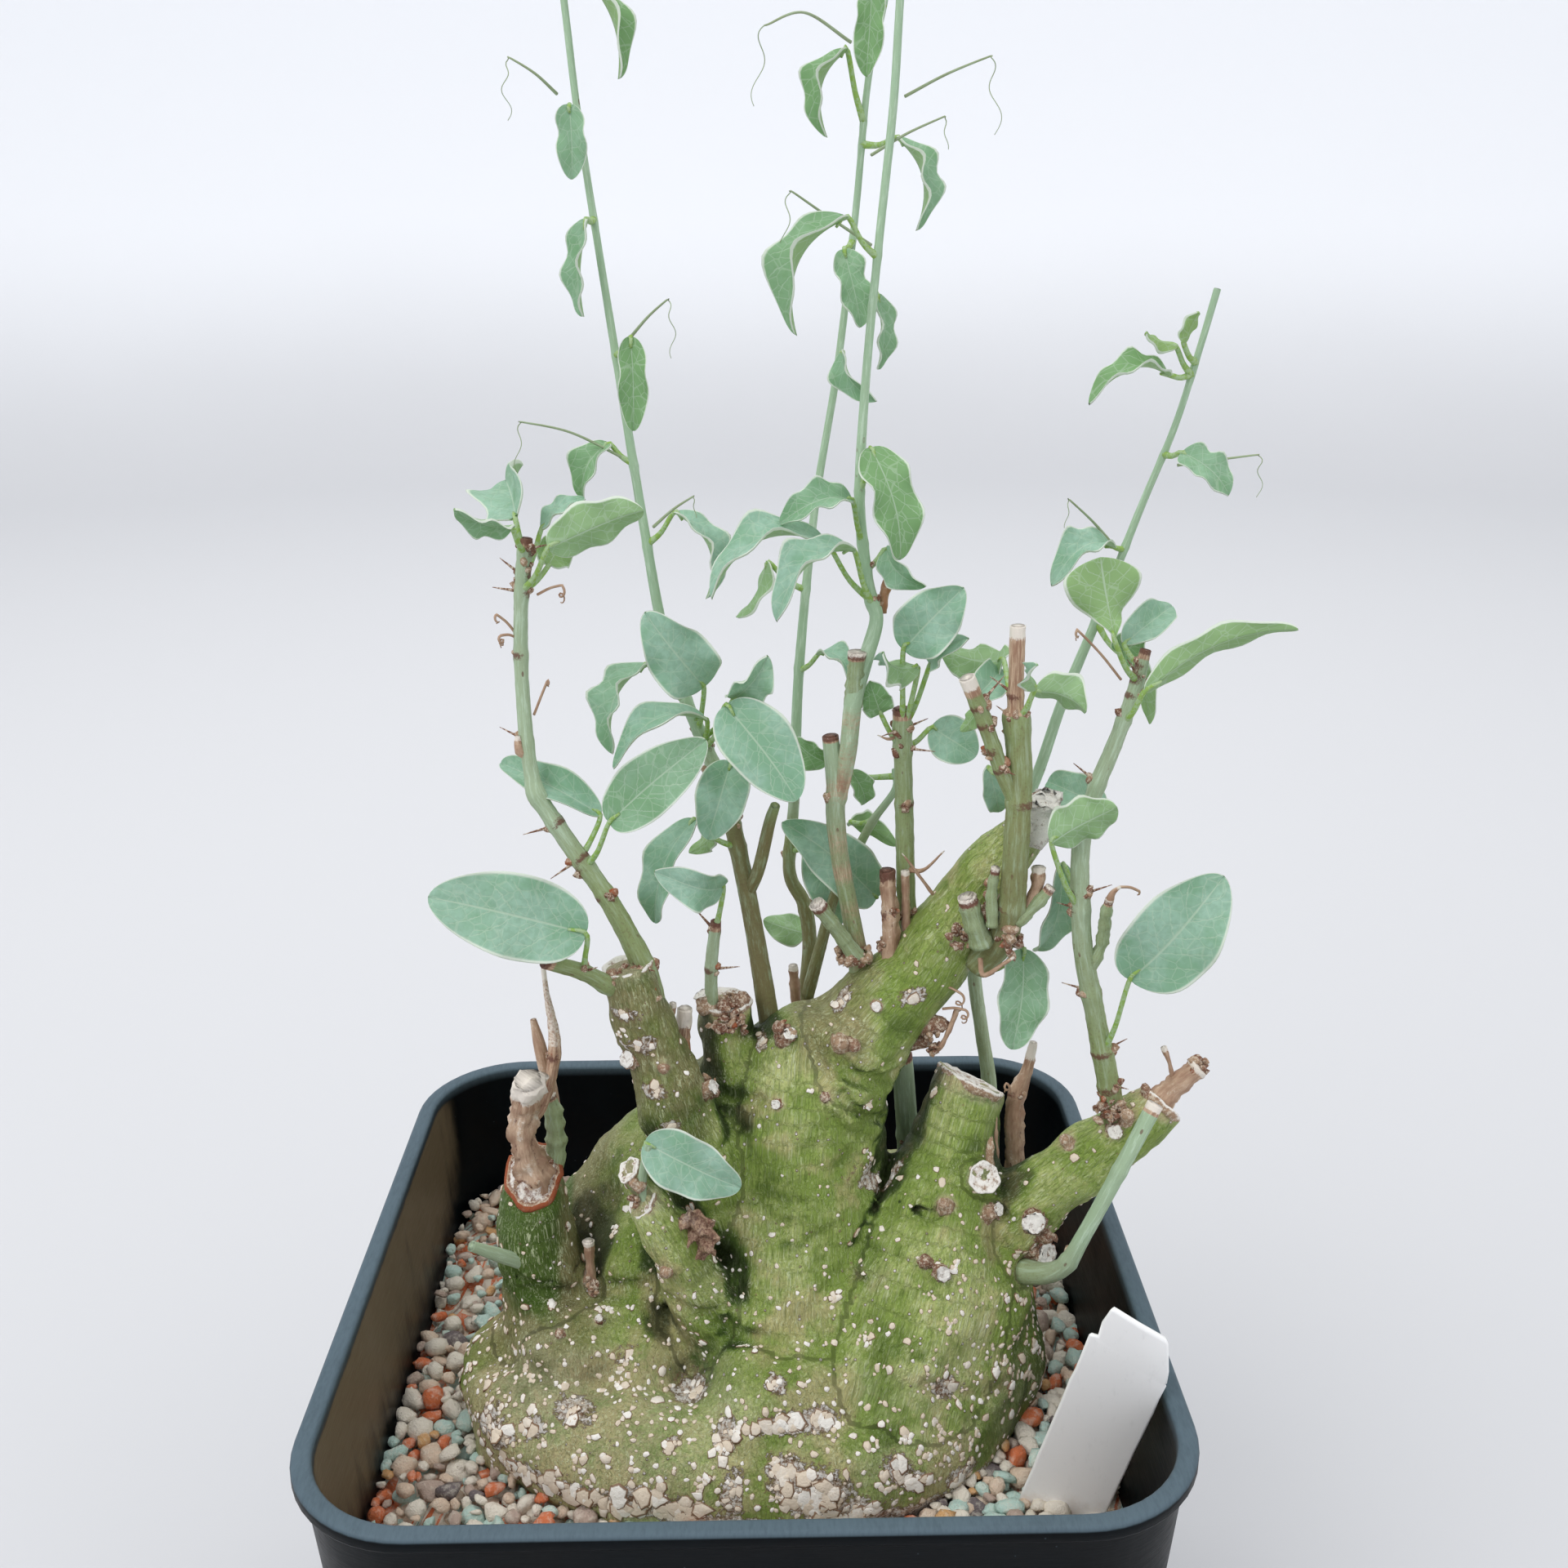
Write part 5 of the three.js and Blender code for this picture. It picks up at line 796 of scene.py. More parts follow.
class Finish:
    """The nodes of one finish on a Principled shader; the keywords are that shader's fixed sockets."""

    def __init__(self, name, **fixed):
        self.material = bpy.data.materials.new(name)
        self.material.use_nodes = True
        self.tree = self.material.node_tree
        self.shader = self.tree.nodes["Principled BSDF"]
        for socket, value in fixed.items():
            self.shader.inputs[socket.replace("_", " ")].default_value = value
        self.place = self.stretch(self.node("ShaderNodeTexCoord", output="Object"), (1000, 1000, 1000))

    def node(self, kind, settings=None, inputs=None, output=0):
        """Any node: its settings first (stops are a ramp's), then its sockets' values or links."""
        made = self.tree.nodes.new(kind)
        for key, value in (settings or {}).items():
            if key == "stops":
                stops = made.color_ramp.elements
                stops.remove(stops[1])
                stops[0].position, stops[0].color = value[0]
                for position, shade in value[1:]:
                    stops.new(position).color = shade
            elif key == "interpolation":
                made.color_ramp.interpolation = value
            else:
                setattr(made, key, value)
        for key, value in (inputs or {}).items():
            if isinstance(value, Signal):
                self.tree.links.new(value.socket, made.inputs[key])
            else:
                made.inputs[key].default_value = value
        return Signal(self, made.outputs[output])

    def maths(self, operation, *values):
        return self.node("ShaderNodeMath", {"operation": operation}, dict(enumerate(values)))

    def stretch(self, vector, by):
        return self.node("ShaderNodeVectorMath", {"operation": "MULTIPLY"}, {0: vector, 1: by})

    def trait(self, name, vector=False):
        return self.node("ShaderNodeAttribute", {"attribute_name": name}, output="Vector" if vector else "Fac")

    def split(self, vector):
        made = self.node("ShaderNodeSeparateXYZ", None, {0: vector})
        return [Signal(self, made.socket.node.outputs[k]) for k in range(3)]

    def noise(self, vector, scale, detail=3.0, roughness=0.55, warp=0.0):
        inputs = {"Vector": vector, "Scale": scale, "Detail": detail, "Roughness": roughness, "Distortion": warp}
        return self.node("ShaderNodeTexNoise", {"noise_dimensions": "3D"}, inputs)

    def cells(self, vector, scale, feature="F1", output="Distance"):
        return self.node("ShaderNodeTexVoronoi", {"feature": feature}, {"Vector": vector, "Scale": scale}, output)

    def band(self, value, low, high, bottom=0.0, top=1.0):
        """Bottom below low, top above high, smooth between them."""
        inputs = {"Value": value, "From Min": low, "From Max": high, "To Min": bottom, "To Max": top}
        return self.node("ShaderNodeMapRange", {"interpolation_type": "SMOOTHSTEP"}, inputs)

    def ramp(self, value, stops, interpolation="LINEAR"):
        return self.node("ShaderNodeValToRGB", {"stops": stops, "interpolation": interpolation}, {0: value})

    def mix(self, share, first, second):
        return self.node("ShaderNodeMix", {"data_type": "RGBA"}, {0: share, 6: first, 7: second}, 2)

    def layers(self, shade, *rows):
        """Colours laid over a shade one after another: a row is a colour and its mask, or a colour, a value
        and the limits of the band that turns the value into the mask."""
        for paint, value, *limits in rows:
            shade = self.mix(self.band(value, *limits) if limits else value, shade, paint)
        return shade

    def bump(self, height, strength, distance):
        return self.node("ShaderNodeBump", None, {"Strength": strength, "Distance": distance, "Height": height})

    def feed(self, **inputs):
        """Links the shader's sockets (Base_Color is Base Color) and gives the finished material."""
        for key, signal in inputs.items():
            self.tree.links.new(signal.socket, self.shader.inputs[key.replace("_", " ")])
        return self.material

    def see_through(self, share, shade):
        """Lets a share of the light pass through a thin blade."""
        glow = self.node("ShaderNodeBsdfTranslucent", None, {"Color": shade})
        mixed = self.node("ShaderNodeMixShader", None, {0: share, 1: Signal(self, self.shader.outputs[0]), 2: glow})
        self.tree.links.new(mixed.socket, self.tree.nodes["Material Output"].inputs["Surface"])
        return self.material


def body_skin(look):
    """Green skin: yellow-green and deep green in slow random patches, with fine pale wavy lines across the
    grain, a brown-grey cast on the old left side and top, tan skin round buds, buff patches and ragged flakes of
    cream cork. Painted shade: deep green and a dark fold colour in the hollows, where less yellow-green is laid,
    and deep green on sides that face away from the light."""
    f = Finish("body_skin", Specular_IOR_Level=0.3)
    fold, cast, dark, join, cork = (f.trait(name) for name in ("fold", "cast", "dark", "join", "cork"))
    grain = f.trait("grain", True)
    slow = f.noise(f.place, 0.05, 3)
    fast = f.noise(f.place, 0.15, 4, 0.6)
    fine = f.noise(f.place, 1.1, 4, 0.7)
    patches = f.noise(f.place, 0.075, 4, 0.6)
    flakes = f.noise(f.place, 0.55, 5, 0.75)
    dashes = f.noise(f.stretch(grain, (1, 1, 0.8)), 1.5, 4, 0.7, 1.2)
    threads = f.noise(f.stretch(grain, (1, 1, 0.35)), 3.6, 3, 0.6, 0.8)
    reach = f.band(slow * 0.5 + fast * 0.5, 0.4, 0.65, 0.3, 1.0)
    gap = f.cells(f.place, 0.5)
    chosen = f.band(f.split(f.cells(f.place, 0.5, output="Color"))[0], 0.55, 0.58)
    dots = f.band(gap, 0.10, 0.15, 1.0, 0.0) * chosen
    rims = f.band(gap, 0.14, 0.22, 1.0, 0.0) * chosen
    edge = cork + (flakes - 0.5) * 1.5
    flaky = f.band(edge, 0.42, 0.5)
    cream = f.layers(look.rim, (look.crust, f.noise(f.place, 0.9, 4, 0.7), 0.4, 0.62), (look.wart, fine, 0.45, 0.6))
    # Painted shade: the fold trait and the darkness mask turn the skin deep green and dark in the hollows and on sides
    # away from the light.
    skin = f.layers(
        look.mid,
        (look.green, slow * 0.5 + fast * 0.5, 0.36, 0.62),
        (look.fresh, fast * 0.4 + slow * 0.45 + fine * 0.15 - fold * 0.5, 0.42, 0.64, 0.0, 0.75),
        (look.mid, fine * 0.7 + fast * 0.3, 0.38, 0.58, 0.5, 0.0),
        (look.deep, dark + fold * 1.2 + (fast - 0.5) * 0.9 + (fine - 0.5) * 0.3, 0.15, 0.95, 0.0, 0.9),
        (look.old, cast + (fast - 0.5) * 1.1, 0.2, 1.0, 0.0, 0.8),
        (look.tan, join + (fine - 0.5) * 1.6, 0.5, 1.2, 0.0, 0.7),
        (look.pale, join + (fast - 0.5) * 1.2, 0.2, 0.9, 0.0, 0.28),
        (look.blush, patches + join * 0.14 - dark * 0.2, 0.53, 0.68, 0.0, 0.6),
        (look.deep, patches - join * 0.05, 0.3, 0.42, 0.5, 0.0),
        (look.pale, f.band(dashes, 0.55, 0.62, 0.0, 0.7) * reach),
        (look.deep, dashes, 0.36, 0.45, 0.42, 0.0),
        (look.pale, f.band(threads, 0.57, 0.62, 0.0, 0.5) * reach),
        (look.rim, rims * 0.6),
        (look.wart, dots),
        (look.shade, fold, 0.3, 1.0, 0.0, 0.85),
        (look.rim, edge, 0.30, 0.42, 0.0, 0.7),
        (cream, flaky),
    )
    height = dashes * 0.8 + fast * 0.5 + dots * 0.8 + fine * 0.4 + flaky * (0.6 + flakes)
    rough = f.band(fast * 0.6 + fine * 0.4, 0.35, 0.65, 0.38, 0.6) + flaky * 0.3
    return f.feed(Base_Color=skin, Roughness=rough, Normal=f.bump(height, 0.9, 0.0013))


def white_cork(look):
    """Chalky cream cork with tan rims and fine crumbs."""
    f = Finish("white_cork", Roughness=0.85, Specular_IOR_Level=0.25)
    crumbs = f.noise(f.place, 1.6, 4, 0.7)
    chalk = f.layers(
        look.wart,
        (look.crust, f.trait("tint") + crumbs * 0.5, 0.35, 1.0),
        (look.rim, f.trait("tone") + (crumbs - 0.5) * 0.7, 0.45, 0.9, 0.0, 0.95),
    )
    return f.feed(Base_Color=chalk, Normal=f.bump(crumbs, 0.7, 0.0005))


def sawn_wood(look):
    """Buds and sawn ends: where tone is low, brown and reddish scales with pale rims, else cream crumbly
    wood with brown rings; an orange-brown collar where tint is highest."""
    f = Finish("sawn_wood", Roughness=0.8, Specular_IOR_Level=0.25)
    tone, tint = f.trait("tone"), f.trait("tint")
    crumbs = f.noise(f.place, 0.9, 5, 0.75)
    wood = f.layers(look.rim, (look.wart, crumbs + tone * 0.1, 0.38, 0.56))
    shade = f.layers(
        look.bud,
        (look.tan, tint + (crumbs - 0.5) * 0.9, 0.25, 0.8),
        (look.crust, f.noise(f.place, 1.5, 4, 0.75), 0.48, 0.6, 0.0, 0.85),
        (wood, tone + (crumbs - 0.5) * 0.4, 0.3, 0.5),
        (look.amber, tint + (crumbs - 0.5) * 0.2, 0.92, 1.0),
    )
    return f.feed(Base_Color=shade, Normal=f.bump(crumbs, 0.9, 0.0007))


def stem_bark(name, look, dry=False):
    """Bark of a stem in streaks along its grain: waxy green, grey-green and olive brown as its age rises,
    with fine brown lenticels, brown scars where tone is high, and dry tan wood with a cream end where
    dryness is high; a dry shoot is all wood. On dead shoots tone is also raised in the grooves, as painted shade."""
    f = Finish(name, Specular_IOR_Level=0.35)
    grain, tone, dryness = f.trait("grain", True), f.trait("tone"), f.trait("dryness")
    streaks = f.noise(f.stretch(grain, (1, 1, 0.10)), 1.8, 5, 0.7)
    blotch = f.noise(f.stretch(grain, (1, 1, 0.4)), 0.35, 4, 0.6)
    fine = f.noise(grain, 2.2, 4, 0.7)
    if dry:
        shade = f.layers(
            look.dead_dark,
            (look.dead, blotch + streaks * 0.4, 0.5, 0.9),
            (look.amber, f.trait("tint") * f.band(streaks, 0.3, 0.6, 0.9, 0.5)),
            (look.crust, fine * 0.4 + blotch * 0.6, 0.53, 0.66, 0.0, 0.8),
        )
    else:
        age = f.trait("age")
        stops = [(0.0, look.vine), (0.45, look.old_grey), (0.75, look.old_green), (1.0, look.olive)]
        brown = f.band(age, 0.2, 0.8) * f.band(fine * 0.5 + streaks * 0.5, 0.36, 0.48, 0.6, 0.0)
        shade = f.layers(
            f.ramp(age + (blotch - 0.5) * 0.35, stops),
            (f.layers(look.vine_pale, (look.old_grey, age, 0.2, 0.9)), streaks, 0.48, 0.66, 0.0, 0.7),
            (look.streak, brown),
        )
    spots = f.band(f.cells(f.stretch(grain, (1, 1, 0.5)), 0.42), 0.09, 0.13, 0.75, 0.0)
    wood = f.layers(look.dead_dark, (look.dead, streaks, 0.4, 0.62))
    shade = f.layers(
        shade,
        (look.scar, spots * f.band(blotch, 0.45, 0.6)),
        (wood, dryness + (fine - 0.5) * 0.3, 0.3, 0.5),
        (look.scar, tone + (fine - 0.5) * 1.2, 0.35, 0.75, 0.0, 0.9),
        (look.crust, dryness + (fine - 0.5) * 0.9, 1.0, 1.3),
    )
    bump = f.bump(streaks + fine * 0.35 + tone * 0.3, 0.8 if dry else 0.6, 0.0004)
    return f.feed(Base_Color=shade, Roughness=f.band(blotch, 0.3, 0.7, 0.48, 0.7), Normal=bump)


def leaf_blade_finish(look):
    """Waxy leaf: blue-green bloom over a yellower green, faint pale veins that branch from the midrib, a
    pale thin edge, and a lighter underside. Young leaves have a high tint, and stalks the highest."""
    f = Finish("leaf_blade", Specular_IOR_Level=0.35)
    across, share, top = f.split(f.trait("grain", True))
    tint = f.trait("tint")
    out = f.maths("ABSOLUTE", across)
    bloom = f.noise(f.place, 0.12, 4, 0.6)
    fine = f.noise(f.place, 0.9, 4, 0.6)
    wrap = f.maths("PINGPONG", share * 6.5 - out * 1.9 + (fine - 0.5) * 0.4, 0.5)
    veins = f.band(wrap, 0.015, 0.045, 0.8, 0.0) * f.band(out, 0.7, 0.95, 1.0, 0.0)
    net = f.band(f.cells(f.place, 0.4, "DISTANCE_TO_EDGE"), 0.01, 0.05, 0.5, 0.0)
    lines = f.maths("MAXIMUM", f.maths("MAXIMUM", veins, f.band(out, 0.015, 0.04, 1.0, 0.0)), net)
    green = f.layers(
        look.leaf,
        (look.bloom, bloom, 0.36, 0.6),
        (look.dusk, fine * 0.6 + bloom * 0.4, 0.46, 0.62, 0.0, 0.4),
        (look.vine_leaf, tint, 0.2, 0.55, 0.0, 0.85),
        (look.young, tint, 0.7, 1.0, 0.0, 0.85),
        (look.under, top, -0.5, 0.5, 0.75, 0.0),
        (look.vein, lines * 0.6),
        (look.edge, out, 0.9, 0.96, 0.0, 0.95),
    )
    f.feed(Base_Color=green, Roughness=f.band(bloom, 0.3, 0.7, 0.42, 0.58),
           Normal=f.bump(fine * 0.35 - lines * 0.4, 0.35, 0.0004))
    return f.see_through(0.25, look.glow)


def gravel_finish(look):
    """Mixed stone chips: each has its own tint out of a set of cream, tan, brick, blue-green, taupe and
    slate, with mineral spots, dust and a rough grain."""
    f = Finish("mixed_chips", Specular_IOR_Level=0.25)
    starts = {0.0: look.cream, 0.22: look.teal, 0.34: look.beige, 0.46: look.brick, 0.58: look.cream, 0.70: look.taupe,
              0.76: look.teal, 0.84: look.slate, 0.87: look.beige, 0.93: look.ochre, 0.98: look.taupe}
    spots = f.noise(f.place, 0.5, 5, 0.7)
    fine = f.noise(f.place, 2.0, 4, 0.75)
    shade = f.layers(
        f.ramp(f.trait("tint"), list(starts.items()), "CONSTANT"),
        (look.cream, spots, 0.46, 0.64, 0.0, 0.4),
        (look.taupe, fine * 0.6 + spots * 0.4, 0.34, 0.46, 0.3, 0.0),
    )
    return f.feed(Base_Color=shade, Roughness=f.band(spots, 0.3, 0.7, 0.65, 0.9),
                  Normal=f.bump(spots + fine * 0.6, 0.9, 0.0007))


def soil_finish(look):
    """Dark crumbly potting soil with lighter grit."""
    f = Finish("potting_soil", Roughness=0.95, Specular_IOR_Level=0.15)
    crumbs = f.noise(f.place, 0.5, 5, 0.7)
    grit = f.cells(f.place, 0.45)
    shade = f.layers(look.soil, (look.soil_light, crumbs, 0.35, 0.7), (look.beige, grit, 0.12, 0.2, 0.6, 0.0))
    return f.feed(Base_Color=shade, Normal=f.bump(crumbs + grit, 0.9, 0.001))


def pot_plastic(look):
    """Satin black plastic with fine scratches and dust, cloudy blue-grey patches of painted sheen, a painted
    blue-grey highlight along the rim's crest, and a brownish dried water film inside the left wall."""
    f = Finish("pot_plastic", Specular_IOR_Level=0.09)
    cloud = f.noise(f.place, 0.05, 4, 0.6)
    scratch = f.noise(f.stretch(f.place, (0.15, 0.15, 2.4)), 1.2, 3, 0.7)
    second = f.noise(f.stretch(f.place, (0.9, 0.2, 0.4)), 2.2, 3, 0.7)
    streaky = f.noise(f.stretch(f.place, (0.5, 0.5, 0.12)), 0.35, 5, 0.65)
    shade = f.layers(
        look.black,
        # Painted sheen in cloudy patches; the streaks below are fine scratches.
        (look.slate, cloud, 0.35, 0.7, 0.0, 0.3),
        (look.slate, scratch, 0.62, 0.76, 0.0, 0.35),
        # Painted highlight on the rim's crest.
        (look.rim, f.trait("worn") * f.band(second + cloud * 0.6, 0.4, 1.0, 0.6, 0.8)),
        (look.film, f.trait("film") * (0.35 + streaky), 0.30, 0.75, 0.0, 0.95),
        (look.rim, f.cells(f.place, 0.3), 0.03, 0.06, 0.2, 0.0),
    )
    rough = f.band(cloud * 0.5 + scratch * 0.5, 0.35, 0.65, 0.36, 0.5)
    return f.feed(Base_Color=shade, Roughness=rough, Normal=f.bump(scratch * 0.3 + second * 0.3 + cloud, 0.12, 0.0004))


def label_plastic(look):
    """Matte white label: faint grey scuffs, soil stain near its foot and rough cut edges."""
    f = Finish("label_plastic", Roughness=0.5, Specular_IOR_Level=0.4)
    scuff = f.noise(f.stretch(f.place, (0.6, 0.6, 0.2)), 1.2, 4, 0.7)
    height = f.split(f.place)[2]
    shade = f.layers(
        look.white,
        (look.grey, scuff, 0.55, 0.8, 0.0, 0.25),
        (look.stain, height + f.noise(f.place, 0.25, 4, 0.65) * 10.0, 102.0, 110.0, 0.5, 0.0),
    )
    return f.feed(Base_Color=shade, Normal=f.bump(scuff, 0.1, 0.0003))


def studio_paper(look):
    """Plain pale backdrop with painted light: a little lighter higher up, with a faint unevenness."""
    f = Finish("studio_paper", Roughness=0.95, Specular_IOR_Level=0.1)
    height = f.split(f.place)[2] + f.noise(f.place, 0.002, 2) * 60.0
    return f.feed(Base_Color=f.layers(look.paper, (look.paper_painted_light, height, 20.0, 380.0)))


# ---------------------------------------------------------------- sizes and colours


def tone_of(name, code, text):
    return FloatVectorProperty(name=name, description=text, default=colour(code), subtype="COLOR", size=4, min=0, max=1)


def amount_of(name, default, text, **more):
    return FloatProperty(name=name, description=text, default=default, **more)


def length_of(name, millimetres, text):
    return amount_of(name, millimetres * MM, text, min=0, subtype="DISTANCE", unit="LENGTH")


class StudioLook(bpy.types.PropertyGroup):
    camera_place: FloatVectorProperty(name="Camera place", description="Where the camera stands",
                                      default=(0.0033, -0.2699, 0.3190), subtype="XYZ", unit="LENGTH")
    lens: amount_of("Lens", 36.8625, "Focal length of the camera, on a sensor 36 mm wide", min=1, unit="CAMERA")
    room: amount_of("Backdrop radius", 2.6, "How far the paper sweep stands from the plant", min=1, unit="LENGTH")
    key_light: amount_of("Key light", 16.0, "Strength of the large lamp", min=0, unit="POWER")
    fill_light: amount_of("Fill light", 3.5, "Strength of the lamp on the other side", min=0, unit="POWER")
    sky_light: amount_of("Room light", 0.64, "Strength of the light from all sides", min=0)
    paper: tone_of("Paper", "#d2d3d6", "Backdrop colour")
    # Painted light: the backdrop is lighter higher up, standing in for light on the wall.
    paper_painted_light: tone_of("Paper light", "#eff1f5", "Backdrop colour higher up")


class PotLook(bpy.types.PropertyGroup):
    rim_width: amount_of("Rim width", POT_BOX[1].x - POT_BOX[0].x, "Outside width over the rim", min=0.05,
                         unit="LENGTH")
    height: amount_of("Height", POT_BOX[1].z, "Height of the pot", min=0.05, unit="LENGTH")
    corner: length_of("Corner", 22.5, "Outside corner radius at the rim")
    wall: length_of("Wall", 2.0, "Thickness of the wall")
    rim_top: length_of("Rim top", 3.5, "Width of the rim seen from above")
    taper: amount_of("Taper", TAPER, "Inward lean of the wall for each unit of depth", min=0, max=0.5)
    black: tone_of("Plastic", "#04070a", "Main colour")
    # Painted sheen in cloudy patches, and the colour of fine scratches.
    slate: tone_of("Sheen", "#0b161c", "Scratched colour")
    # Painted highlight along the rim's crest, and the colour of dust specks.
    rim: tone_of("Worn rim", "#62747f", "Colour of the rim's top and of dust")
    film: tone_of("Water film", "#6b5e4a", "Dried water film on the inside")


class GravelLook(bpy.types.PropertyGroup):
    small: length_of("Smallest chip", 2.2, "Length of the smallest chips")
    large: length_of("Largest chip", 5.6, "Length of the largest chips")
    count: IntProperty(name="Chips", description="Number of chips in the top layer", default=1500, min=10)
    cream: tone_of("Cream", "#fff6e6", "Chip colour")
    beige: tone_of("Beige", "#f2d8c0", "Chip colour")
    brick: tone_of("Brick", "#ec8254", "Chip colour")
    ochre: tone_of("Ochre", "#e8b57c", "Chip colour")
    teal: tone_of("Blue-green", "#cdeae0", "Chip colour")
    taupe: tone_of("Taupe", "#c9b2a4", "Chip colour")
    slate: tone_of("Slate", "#7b7173", "Chip colour")
    soil: tone_of("Soil", "#33271d", "Soil colour")
    soil_light: tone_of("Dry soil", "#5f4b39", "Dry soil colour")


class LabelLook(bpy.types.PropertyGroup):
    width: length_of("Width", 15.0, "Width of the plant label")
    length: length_of("Length", 76.0, "Length of the plant label")
    thickness: length_of("Thickness", 0.8, "Thickness of the plant label")
    white: tone_of("White", "#ffffff", "Label colour")
    grey: tone_of("Scuff", "#cfd0d2", "Colour of scuffs")
    stain: tone_of("Stain", "#b9a893", "Soil stain at its foot")


class BodyLook(bpy.types.PropertyGroup):
    cell: length_of("Detail", 0.86, "Lattice step of the body's surface")
    wart_size: length_of("Wart radius", 0.4, "Usual radius of the small corky warts")
    warts: IntProperty(name="Warts", description="Number of small corky warts", default=1500, min=0)
    green: tone_of("Green", "#9bb05a", "Skin")
    fresh: tone_of("Fresh green", "#dfe39d", "Skin on the sunny swellings")
    mid: tone_of("Middle green", "#8ca44c", "Skin between the swellings")
    # Deep green is the skin's own colour in random patches and also painted shade in hollows and on sides away from the
    # light; the fold colour below is painted shade in the hollows.
    deep: tone_of("Deep green", "#43601c", "Skin in the hollows")
    shade: tone_of("Fold", "#27330f", "Skin deep in the folds")
    old: tone_of("Old skin", "#958a62", "Brown-grey cast of old skin")
    tan: tone_of("Joint", "#b5967b", "Tan skin round buds and joints")
    blush: tone_of("Blush", "#c9b888", "Buff and pinkish patches of the skin")
    pale: tone_of("Hair cracks", "#e2ebc0", "Pale lines in the skin")
    wart: tone_of("Cork", "#fefaf3", "White corky warts")
    crust: tone_of("Crust", "#e9dac6", "Cream crust")
    rim: tone_of("Crust rim", "#8b6c52", "Tan rims of the crust")
    amber: tone_of("Collar", "#a4593a", "Orange-brown collar of the left stub")
    bud: tone_of("Bud", "#875f4c", "Brown bud scales")


class StemLook(bpy.types.PropertyGroup):
    vine: tone_of("Vine", "#a5c3a2", "Young vines")
    vine_pale: tone_of("Vine bloom", "#c6dcc4", "Waxy bloom of young vines")
    old_grey: tone_of("Grown stem", "#a3b393", "Grey-green stems")
    old_green: tone_of("Old stem", "#8d9c68", "Old stems")
    olive: tone_of("Oldest stem", "#7f7851", "Olive brown stems")
    streak: tone_of("Brown streak", "#75674a", "Brown streaks")
    scar: tone_of("Scar", "#6b4337", "Nodes and scars")
    dead: tone_of("Dry wood", "#d2b69b", "Dead shoots")
    dead_dark: tone_of("Dry wood shade", "#a07c65", "Darker dry wood")
    amber: tone_of("Amber wood", "#b06a3a", "Orange-brown dry wood")
    crust: tone_of("Dry end", "#efe6da", "Crumbly dry ends")
    tendril: length_of("Tendril", 0.3, "Tendril radius at its foot")


class LeafLook(bpy.types.PropertyGroup):
    thickness: length_of("Thickness", 0.35, "Thickness of a blade")
    leaf: tone_of("Leaf", "#90bd9f", "Upper face")
    bloom: tone_of("Bloom", "#b0d5c2", "Waxy bloom")
    dusk: tone_of("Shade", "#83ac93", "Darker patches")
    vine_leaf: tone_of("Vine leaf", "#82ad6e", "Leaves high on the vines")
    young: tone_of("Young leaf", "#a9cb62", "Youngest leaves and stalks")
    under: tone_of("Underside", "#a0c184", "Lower face")
    vein: tone_of("Vein", "#d3e6d0", "Veins")
    edge: tone_of("Edge", "#f0f7ec", "Thin pale edge")
    glow: tone_of("Glow", "#a5c860", "Light that passes through")


# ---------------------------------------------------------------- pieces


def stand(name, data, place, side, up, back):
    """Puts a lamp or the camera at a place, with its own axes along three unit vectors."""
    turn = np.eye(4)
    turn[:3] = np.column_stack([side, up, back, place])
    holder = bpy.data.objects.new(name, data)
    holder.matrix_world = Matrix(turn.tolist())
    bpy.context.scene.collection.objects.link(holder)
    return holder


class CAUDEX_OT_studio(bpy.types.Operator):
    """Builds the pale paper sweep, the lamps and the camera"""

    bl_idname = "caudex.studio"
    bl_label = "Studio"

    def execute(self, context):
        look, scene = context.scene.caudex_studio, context.scene
        sides = 96
        rows = [(0.001, 0)] + [(s, 0) for s in np.linspace(0.1, 0.7, 7)]
        rows += [(0.75 + 0.25 * np.sin(b), 0.25 * (1 - np.cos(b))) for b in np.linspace(0, np.pi / 2, 12)] + [(1, 0.42)]
        reach, rise = (np.array(rows) * (look.room / MM)).T[:, :, None]
        rings = np.stack(np.broadcast_arrays(reach * np.cos(circle(sides)), reach * np.sin(circle(sides)), rise), -1)
        grid, turned, _ = ring_faces(len(rows), sides)
        faces = np.stack([grid[:-1], grid[1:], turned[1:], turned[:-1]], -1).reshape(-1, 4)
        mesh_object("paper_sweep", rings.reshape(-1, 3), faces.tolist(), [studio_paper(look)])
        lamps = (("key", (-0.9, -0.9, 1.5), (0.9, 0.9, -1.35), 1.3, look.key_light),
                 ("fill", (1.1, -0.7, 0.9), (-1, 0.6, -0.6), 1.2, look.fill_light),
                 ("top", (0.1, 0.5, 1.7), (0, -0.25, -1), 1.5, look.key_light * 0.32),
                 ("wall", (0.0, 0.7, 2.1), (0, 1, -0.6), 2.0, look.key_light * 1.32))
        for name, place, facing, size, power in lamps:
            lamp = bpy.data.lights.new(name, "AREA")
            lamp.size, lamp.energy = size, power
            ahead, side, up = facing_frame(facing, (0, 0, 1))
            stand(name, lamp, place, side, -up, -ahead)
        scene.world = bpy.data.worlds.new("soft_room")
        scene.world.use_nodes = True
        light = scene.world.node_tree.nodes["Background"].inputs
        light[0].default_value, light[1].default_value = (0.97, 0.98, 1.0, 1.0), look.sky_light
        lens = bpy.data.cameras.new("front")
        lens.lens, lens.sensor_width, lens.clip_start = look.lens, 36, 0.01
        axes = ((0.99983657, -0.01747891, -0.00461843), (0.0100778, 0.32676529, 0.94505179),
                (-0.01500933, -0.94494388, 0.32688803))
        scene.camera = stand("front", lens, look.camera_place, *axes)
        scene.view_settings.view_transform = "Standard"
        return {"FINISHED"}


